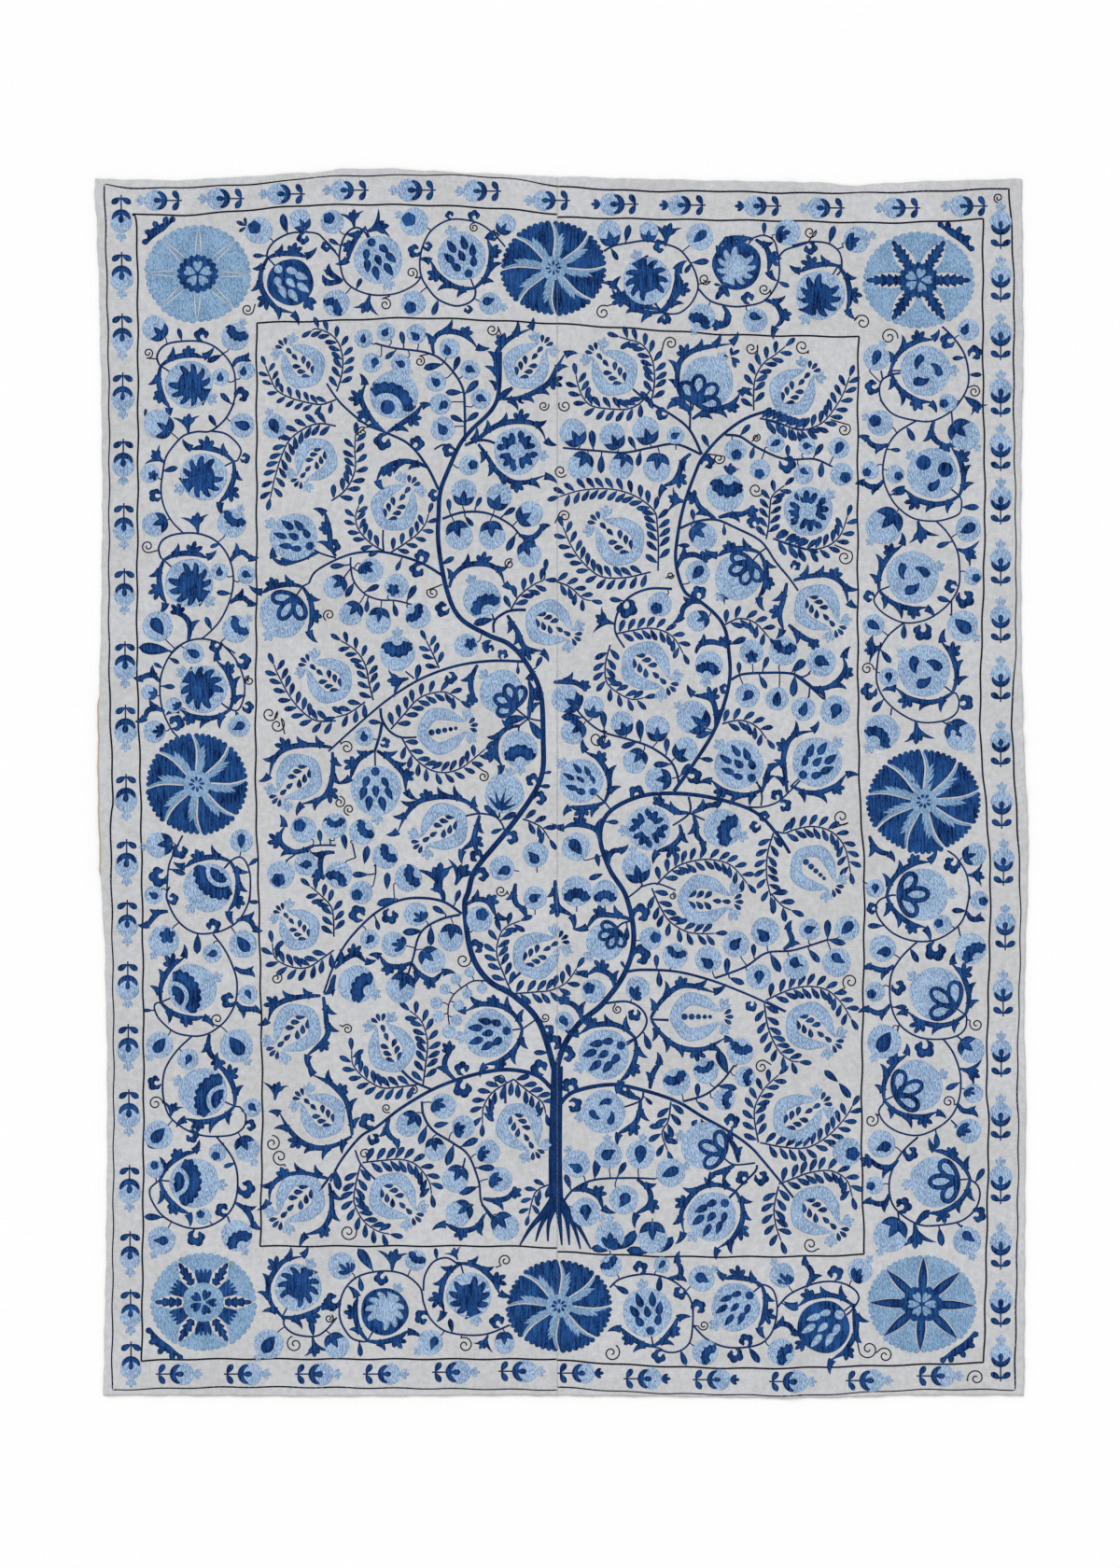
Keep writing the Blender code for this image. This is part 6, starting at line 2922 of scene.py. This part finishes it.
@dataclass(frozen=True)
class HandSewing:
    """Small plain stitches that hold the hem down and join the panels."""

    hem_in: float = 10.0
    hem_pitch: float = 6.5
    side_slant: float = 70
    end_slant: float = 20
    hem_sway: float = 14
    seam_in: float = 10
    seam_pitch: float = 5.5
    seam_spare: int = 3
    seam_slant: float = 28
    seam_sway: float = 10
    length: float = 2.6
    width: float = 0.75

    def stitch(self, work: Needlework, x: float, y: float, heading: float) -> None:
        """One short stitch centred on a place given in steps from the cloth's middle.

        Args:
            work: the needlework that it is part of.
            x: steps to the right of the cloth's middle.
            y: steps up from it.
            heading: way that it lies.
        """
        column = CHART_CENTRE[0] + x
        row = CHART_CENTRE[1] - y
        start = walk(column, row, heading + 180, self.length / 2)
        end = walk(column, row, heading, self.length / 2)
        work.band(Tone.PLAIN, [start, (column, row), end], lambda t: self.width / 2)

    def hem(self, work: Needlework, cloth: Cloth) -> None:
        """Stitches along the inner edge of the hem, all round.

        Args:
            work: the needlework that they are part of.
            cloth: what is hemmed.
        """
        reach = self.hem_in
        along_side = round((2 * cloth.half_long - 2 * reach) / self.hem_pitch)
        for k in range(along_side + 1):
            y = -cloth.half_long + reach + self.hem_pitch * k
            for side in (-1, 1):
                x, row = cloth.place(side * (cloth.half_wide - reach), y)
                self.stitch(work, x / CHART_STEP, row / CHART_STEP,
                            self.side_slant + self.hem_sway * sin(k * 2.1))
        along_end = round((2 * cloth.half_wide - 2 * reach) / self.hem_pitch)
        for k in range(1, along_end):
            x = -cloth.half_wide + reach + self.hem_pitch * k
            for end in (-1, 1):
                column, y = cloth.place(x, end * (cloth.half_long - reach))
                self.stitch(work, column / CHART_STEP, y / CHART_STEP,
                            self.end_slant + self.hem_sway * sin(k * 1.7))

    def seam(self, work: Needlework, cloth: Cloth) -> None:
        """Slanted stitches across the seam between the panels.

        Args:
            work: the needlework that they are part of.
            cloth: what is joined.
        """
        for k in range(round(2 * cloth.half_long / self.seam_pitch) - self.seam_spare):
            y = cloth.half_long - self.seam_in - self.seam_pitch * k
            self.stitch(work, cloth.seam, y, self.seam_slant + self.seam_sway * sin(k * 1.3))


class Graph:
    """Adds shader nodes to a tree and joins them."""

    def __init__(self, tree: bpy.types.NodeTree) -> None:
        """Work on one tree."""
        self.tree = tree

    def node(self, kind: str, inputs: dict | None = None, **settings) -> bpy.types.Node:
        """New node with its settings, and each of its inputs joined or set.

        Args:
            kind: the node's type.
            inputs: a socket or a value for each named or numbered input.
            **settings: the node's own properties.

        Returns:
            The node.
        """
        made = self.tree.nodes.new(kind)
        for name, value in settings.items():
            setattr(made, name, value)
        for name, value in (inputs or {}).items():
            if isinstance(value, bpy.types.NodeSocket):
                self.tree.links.new(value, made.inputs[name])
            else:
                made.inputs[name].default_value = value
        return made

    def math(self, operation: str, a: object, b: object = 0.0, clamp: bool = False) -> object:
        """Output of a Math node."""
        made = self.node("ShaderNodeMath", {0: a, 1: b}, operation=operation, use_clamp=clamp)
        return made.outputs[0]

    def blend(self, share: object, first: object, second: object) -> object:
        """Output of a colour Mix node."""
        made = self.node("ShaderNodeMix", {0: share, 6: first, 7: second}, data_type="RGBA")
        return made.outputs[2]

    def noise(self, where: object, scale: float, detail: float) -> object:
        """Soft noise from 0 to 1.

        Args:
            where: coordinates.
            scale: how fine it is.
            detail: how many finer layers it has.

        Returns:
            The noise.
        """
        made = self.node("ShaderNodeTexNoise", {"Vector": where, "Scale": scale,
                                                "Detail": detail})
        return made.outputs["Fac"]

    def turned(self, where: object, angle: float, scale: Sequence[float]) -> object:
        """Coordinates turned about the upright axis, then stretched.

        Args:
            where: coordinates.
            angle: degrees that they are turned by.
            scale: stretch along each axis.

        Returns:
            The new coordinates.
        """
        made = self.node("ShaderNodeMapping", {"Vector": where, "Rotation": (0, 0, radians(angle)),
                                               "Scale": tuple(scale)})
        return made.outputs[0]

    def ramp(self, value: object, low: float, high: float) -> object:
        """Value stretched so that low gives 0 and high gives 1."""
        made = self.node("ShaderNodeMapRange", {0: value, 1: low, 2: high})
        return made.outputs[0]

    def swing(self, value: object, low: float, high: float, strength: object) -> object:
        """Value stretched between two levels, centred on zero and scaled by a strength."""
        return self.math("MULTIPLY", self.math("SUBTRACT", self.ramp(value, low, high), 0.5),
                         strength)

    def total(self, *parts: tuple[object, float]) -> object:
        """Sum of several values, each taken by its own share.

        Args:
            *parts: (value, share) pairs.

        Returns:
            The sum.
        """
        whole = None
        for value, share in parts:
            scaled = self.math("MULTIPLY", value, share)
            whole = scaled if whole is None else self.math("ADD", whole, scaled)
        return whole


def new_group(name: str, inputs: Sequence[tuple[str, str, object]],
              outputs: Sequence[tuple[str, str]]) -> tuple[bpy.types.NodeTree, Graph]:
    """Empty shader node group with named inputs and outputs.

    Args:
        name: the group's name.
        inputs: name, socket type and value of each input.
        outputs: name and socket type of each output.

    Returns:
        The group and a graph to fill it with.
    """
    tree = bpy.data.node_groups.new(name, "ShaderNodeTree")
    for title, kind, value in inputs:
        socket = tree.interface.new_socket(title, in_out="INPUT", socket_type=kind)
        socket.default_value = value
    for title, kind in outputs:
        tree.interface.new_socket(title, in_out="OUTPUT", socket_type=kind)
    return tree, Graph(tree)


def thread_group() -> bpy.types.NodeTree:
    """Group for filled stitching: rows of couched thread with mottled dye, small tie-downs, painted
    shade between the rows and painted light on their tops, and painted shade at the rims of fills.

    Returns:
        The group, with outputs Colour and Height.
    """
    tree, graph = new_group(
        "couched_thread",
        (("Where", "NodeSocketVector", (0, 0, 0)), ("Deep", "NodeSocketColor", (0, 0, 0, 1)),
         ("Bright", "NodeSocketColor", (1, 1, 1, 1)), ("Row Pitch", "NodeSocketFloat", 0.004),
         ("Row Shade Strength", "NodeSocketFloat", 0.5), ("Fleck Strength", "NodeSocketFloat", 0.5),
         ("Crest", "NodeSocketFloat", 1.0), ("Rim Shade Strength", "NodeSocketFloat", 0.5)),
        (("Colour", "NodeSocketColor"), ("Height", "NodeSocketFloat")),
    )
    given = graph.node("NodeGroupInput").outputs
    split = graph.node("ShaderNodeSeparateXYZ", {0: given["Where"]}).outputs
    wander = graph.noise(given["Where"], 60.0, 2.0)
    shifted = graph.math("ADD", split["X"], graph.math("MULTIPLY", wander, 0.006))
    row = graph.math("DIVIDE", shifted, given["Row Pitch"])
    wave = graph.math("SINE", graph.math("MULTIPLY", row, 2 * pi))
    wave = graph.math("ADD", graph.math("MULTIPLY", wave, 0.5), 0.5)
    # Painted light: streaks along the rows run from deep, painted shade between the rows, to bright,
    # painted light on their tops.
    row_shade_streaks = graph.noise(graph.turned(given["Where"], 0, (330, 26, 0)), 1.0, 3.0)
    flecks = graph.noise(graph.turned(given["Where"], 40, (560, 170, 0)), 1.0, 1.0)
    dye = graph.noise(given["Where"], 26.0, 3.0)
    rows = graph.swing(row_shade_streaks, 0.28, 0.72, given["Row Shade Strength"])
    flecked = graph.swing(flecks, 0.3, 0.7, given["Fleck Strength"])
    dyed = graph.swing(dye, 0.3, 0.7, 0.45)
    share = graph.math("ADD", graph.math("ADD", rows, flecked), graph.math("ADD", dyed, 0.5),
                       clamp=True)
    # Painted shade: fills darken towards their rims, where the padding slopes down, and stay lighter on
    # top.
    rim_share = graph.math("SUBTRACT", 1.0, graph.ramp(given["Crest"], 0.05, 0.7))
    rim = graph.math("SUBTRACT", 1.0, graph.math("MULTIPLY", rim_share, given["Rim Shade Strength"]))
    share = graph.math("MULTIPLY", share, rim)
    colour = graph.blend(share, given["Deep"], given["Bright"])
    height = graph.total((wave, 0.4), (flecks, 0.6))
    graph.node("NodeGroupOutput", {"Colour": colour, "Height": height})
    return tree


def weave_group() -> bpy.types.NodeTree:
    """Group for plain-woven cloth: crossing threads, slubs, soiling, soft puckers, and a colour mottle
    that paints the shade of the puckers.

    Returns:
        The group, with outputs Colour and Height.
    """
    tree, graph = new_group(
        "plain_weave",
        (("Where", "NodeSocketVector", (0, 0, 0)), ("Cloth", "NodeSocketColor", (1, 1, 1, 1)),
         ("Soil", "NodeSocketColor", (1, 1, 1, 1)), ("Thread Pitch", "NodeSocketFloat", 0.0009),
         ("Pucker", "NodeSocketFloat", 0.5), ("Soiling", "NodeSocketFloat", 0.4)),
        (("Colour", "NodeSocketColor"), ("Height", "NodeSocketFloat")),
    )
    given = graph.node("NodeGroupInput").outputs
    split = graph.node("ShaderNodeSeparateXYZ", {0: given["Where"]}).outputs
    waves = []
    for axis in ("X", "Y"):
        turns = graph.math("DIVIDE", split[axis], given["Thread Pitch"])
        waves.append(graph.math("SINE", graph.math("MULTIPLY", turns, pi)))
    weave = graph.math("MULTIPLY", waves[0], waves[1])
    slubs_across = graph.noise(graph.turned(given["Where"], 0, (35, 900, 0)), 1.0, 1.0)
    slubs_along = graph.noise(graph.turned(given["Where"], 0, (900, 35, 0)), 1.0, 1.0)
    soil = graph.noise(given["Where"], 5.0, 4.0)
    grain = graph.noise(given["Where"], 330.0, 2.0)
    share = graph.math("MULTIPLY", graph.ramp(soil, 0.36, 0.68), given["Soiling"])
    colour = graph.blend(share, given["Cloth"], given["Soil"])
    slubs = graph.math("ADD", slubs_across, slubs_along)
    # Painted shade: the mottle, with part of the grain and slub tint, stands in for the shade of small
    # puckers; grain and slubs are also the weave's own uneven tone.
    pucker_shade_mottle = graph.noise(given["Where"], 95.0, 2.0)
    tint = graph.math("ADD", graph.total((slubs, 0.2), (grain, 0.32), (pucker_shade_mottle, 0.42)), 0.465)
    tinted = graph.node("ShaderNodeVectorMath", {0: colour, "Scale": tint}, operation="SCALE")
    pucker = graph.noise(graph.turned(given["Where"], 0, (30, 44, 0)), 1.0, 2.0)
    long_pucker = graph.noise(graph.turned(given["Where"], 8, (7, 16, 0)), 1.0, 2.0)
    puckers = graph.math("MULTIPLY", graph.total((pucker, 1.0), (long_pucker, 2.5)),
                         given["Pucker"])
    height = graph.total((weave, 0.04), (puckers, 1.0), (slubs, 0.06))
    graph.node("NodeGroupOutput", {"Colour": tinted.outputs[0], "Height": height})
    return tree


@dataclass(frozen=True)
class Finish:
    """One matt textile finish: a shader group with its values."""

    name: str
    group: bpy.types.NodeTree
    values: dict
    crested: bool
    roughness: float
    sheen: float
    specular: float
    relief_m: float
    relief_strength: float
    sheen_roughness: float = 0.6

    def material(self) -> bpy.types.Material:
        """Material with this finish, on Object coordinates.

        Returns:
            The material.
        """
        made = bpy.data.materials.new(self.name)
        made.use_nodes = True
        graph = Graph(made.node_tree)
        shader = made.node_tree.nodes["Principled BSDF"]
        where = graph.node("ShaderNodeTexCoord").outputs["Object"]
        effect = graph.node("ShaderNodeGroup", node_tree=self.group)
        made.node_tree.links.new(where, effect.inputs["Where"])
        for name, value in self.values.items():
            effect.inputs[name].default_value = value
        # The crest attribute drives the painted rim shade of the thread group.
        if self.crested:
            crest = graph.node("ShaderNodeAttribute", attribute_name="crest").outputs["Fac"]
            made.node_tree.links.new(crest, effect.inputs["Crest"])
        bump = graph.node("ShaderNodeBump", {"Height": effect.outputs["Height"],
                                             "Strength": self.relief_strength,
                                             "Distance": self.relief_m})
        made.node_tree.links.new(effect.outputs["Colour"], shader.inputs["Base Color"])
        made.node_tree.links.new(bump.outputs["Normal"], shader.inputs["Normal"])
        shader.inputs["Roughness"].default_value = self.roughness
        shader.inputs["Specular IOR Level"].default_value = self.specular
        shader.inputs["Sheen Weight"].default_value = self.sheen
        shader.inputs["Sheen Roughness"].default_value = self.sheen_roughness
        return made


def thread_finish(name: str, group: bpy.types.NodeTree, deep: Sequence[float],
                  bright: Sequence[float], rows: float, flecks: float,
                  rim: float) -> bpy.types.Material:
    """Material of one embroidery thread.

    Args:
        name: its name.
        group: the couched thread group.
        deep: linear colour between the rows, where painted shade falls.
        bright: linear colour on top of the rows, where painted light falls.
        rows: how strongly the painted shade and light of the rows show.
        flecks: how strongly the tie-down stitches show.
        rim: how much painted shade darkens the rims of its fills, where their padding slopes down.

    Returns:
        The material.
    """
    values = {"Deep": (*deep, 1), "Bright": (*bright, 1), "Row Shade Strength": rows,
              "Fleck Strength": flecks, "Rim Shade Strength": rim}
    return Finish(name, group, values, crested=True, roughness=0.85, sheen=0.0, specular=0.05,
                  relief_m=0.0004, relief_strength=0.6).material()


def cloth_finish(name: str, group: bpy.types.NodeTree, cloth: Sequence[float],
                 soil: Sequence[float]) -> bpy.types.Material:
    """Material of one woven cloth.

    Args:
        name: its name.
        group: the plain weave group.
        cloth: its linear colour.
        soil: its linear colour where it is worn and soiled.

    Returns:
        The material.
    """
    values = {"Cloth": (*cloth, 1), "Soil": (*soil, 1), "Soiling": 0.5, "Pucker": 0.5}
    return Finish(name, group, values, crested=False, roughness=0.92, sheen=0.05, specular=0.1,
                  relief_m=0.0016, relief_strength=0.5).material()


@dataclass(frozen=True)
class Studio:
    """Pale floor, soft light and a camera straight above the cloth."""

    camera_height: float = 8.0
    sensor: float = 36.0
    floor_half: float = 9.0
    floor_drop: float = 0.0003
    ambient: float = 0.82
    key: float = 0.95
    key_angle: float = 35.0
    key_tilt: Spot = (-38, -32)

    def floor(self) -> None:
        """Flat pale floor just under the cloth."""
        mesh = bmesh.new()
        bmesh.ops.create_grid(mesh, x_segments=1, y_segments=1, size=self.floor_half)
        bmesh.ops.translate(mesh, verts=list(mesh.verts), vec=(0, 0, -self.floor_drop))
        plane = piece_from(mesh, "studio_floor")
        pale = bpy.data.materials.new("studio_floor")
        pale.use_nodes = True
        shader = pale.node_tree.nodes["Principled BSDF"]
        shader.inputs["Base Color"].default_value = (0.97, 0.97, 0.97, 1)
        shader.inputs["Roughness"].default_value = 1.0
        shader.inputs["Specular IOR Level"].default_value = 0.0
        plane.data.materials.append(pale)

    def light(self) -> None:
        """Even surrounding light and one wide soft lamp from the upper left."""
        world = bpy.data.worlds.new("studio")
        world.use_nodes = True
        around = world.node_tree.nodes["Background"]
        around.inputs["Color"].default_value = (1.0, 1.0, 1.0, 1)
        around.inputs["Strength"].default_value = self.ambient
        bpy.context.scene.world = world
        lamp = bpy.data.lights.new("soft_lamp", "SUN")
        lamp.energy = self.key
        lamp.angle = radians(self.key_angle)
        holder = bpy.data.objects.new("soft_lamp", lamp)
        holder.rotation_euler = (radians(self.key_tilt[0]), radians(self.key_tilt[1]), 0)
        bpy.context.scene.collection.objects.link(holder)

    def camera(self) -> None:
        """Camera that sees the photograph's full height of chart steps."""
        seen = PHOTO_HEIGHT_STEPS * CHART_STEP
        lens = bpy.data.cameras.new("camera")
        lens.sensor_width = self.sensor
        lens.lens = self.sensor * self.camera_height / seen
        eye = bpy.data.objects.new("camera", lens)
        middle = on_cloth(*PHOTO_CENTRE)
        eye.location = (*middle, self.camera_height)
        bpy.context.scene.collection.objects.link(eye)
        bpy.context.scene.camera = eye
        bpy.context.scene.view_settings.view_transform = "Standard"


def settle(piece: bpy.types.Object, material: bpy.types.Material) -> None:
    """Give a piece its material, parent it to the root body and log its faces.

    Args:
        piece: the piece.
        material: what it is finished in.
    """
    piece.data.materials.clear()
    piece.data.materials.append(material)
    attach(piece, "root")
    LOG.info("%s: %d faces", piece.name, len(piece.data.polygons))


def thread_finishes(thread: bpy.types.NodeTree) -> dict[Tone, bpy.types.Material]:
    """Materials of all six threads, from their linear colours in the photograph's light.

    Args:
        thread: the couched thread group.

    Returns:
        A material for each thread.
    """
    # The last three numbers of each thread are the strengths of its painted row shade and light, its
    # tie-downs and its painted rim shade.
    return {
        Tone.DARK: thread_finish("indigo_silk", thread, (0.001, 0.0065, 0.046),
                                 (0.0215, 0.094, 0.302), 1.1, 0.6, 0.75),
        Tone.LIGHT: thread_finish("pale_blue_silk", thread, (0.146, 0.236, 0.378),
                                  (0.430, 0.563, 0.752), 0.5, 1.5, 0.6),
        Tone.SKY: thread_finish("sky_blue_silk", thread, (0.108, 0.208, 0.350),
                                (0.318, 0.470, 0.66), 0.45, 1.2, 0.6),
        Tone.STEM: thread_finish("navy_stem_silk", thread, (0.001, 0.0065, 0.040),
                                 (0.012, 0.055, 0.200), 0.6, 0.5, 0.4),
        Tone.LINE: thread_finish("navy_line_silk", thread, (0.004, 0.007, 0.015),
                                 (0.008, 0.013, 0.028), 0.0, 0.4, 0.3),
        Tone.PLAIN: thread_finish("plain_sewing_thread", thread, (0.42, 0.42, 0.42),
                                  (0.60, 0.60, 0.60), 0.3, 0.3, 0.5),
    }


def embroider(work: Needlework) -> None:
    """Work the whole design, borders and tree first, then what the sheets of the chart hold.

    Args:
        work: the needlework that it is drawn onto.
    """
    motifs = Motifs(work)
    for ground in (FrameLines(), GuardBorder(), Rosettes(), Tree()):
        ground.draw(motifs)
    for sheet in SHEETS:
        sheet.grow(motifs)
    for sheet in SHEETS:
        sheet.bear(motifs)


def main() -> None:
    """Make the studio, the cloth and the needlework, and report each piece."""
    logging.basicConfig(level=logging.INFO, format="%(name)s %(message)s")
    studio = Studio()
    studio.floor()
    studio.light()
    studio.camera()

    weave = weave_group()
    thread = thread_group()
    face = cloth_finish("bleached_cotton", weave, (0.545, 0.552, 0.570), (0.470, 0.468, 0.472))
    back = cloth_finish("beige_lining", weave, (0.50, 0.40, 0.28), (0.40, 0.32, 0.22))
    finishes = thread_finishes(thread)

    left, right, lining = Sheets().build()
    settle(left, face)
    settle(right, face)
    settle(lining, back)
    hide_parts("panel_left")
    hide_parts("panel_right")
    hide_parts("lining")

    work = Needlework(CLOTH, Padding())
    embroider(work)
    sewing = HandSewing()
    sewing.hem(work, CLOTH)
    on_left = []
    on_right = []
    for tone in Tone:
        for piece, slot, group in zip(work.finish(tone), ("panel_left", "panel_right"),
                                      (on_left, on_right)):
            settle(piece, finishes[tone])
            group.append(piece)

    joining = Needlework(CLOTH, Padding())
    sewing.seam(joining, CLOTH)
    seam = joining.laid(joining.gathered(Tone.PLAIN), "seam_stitches")
    settle(seam, finishes[Tone.PLAIN])
    on_left.append(seam)


if __name__ == "__main__":
    main()
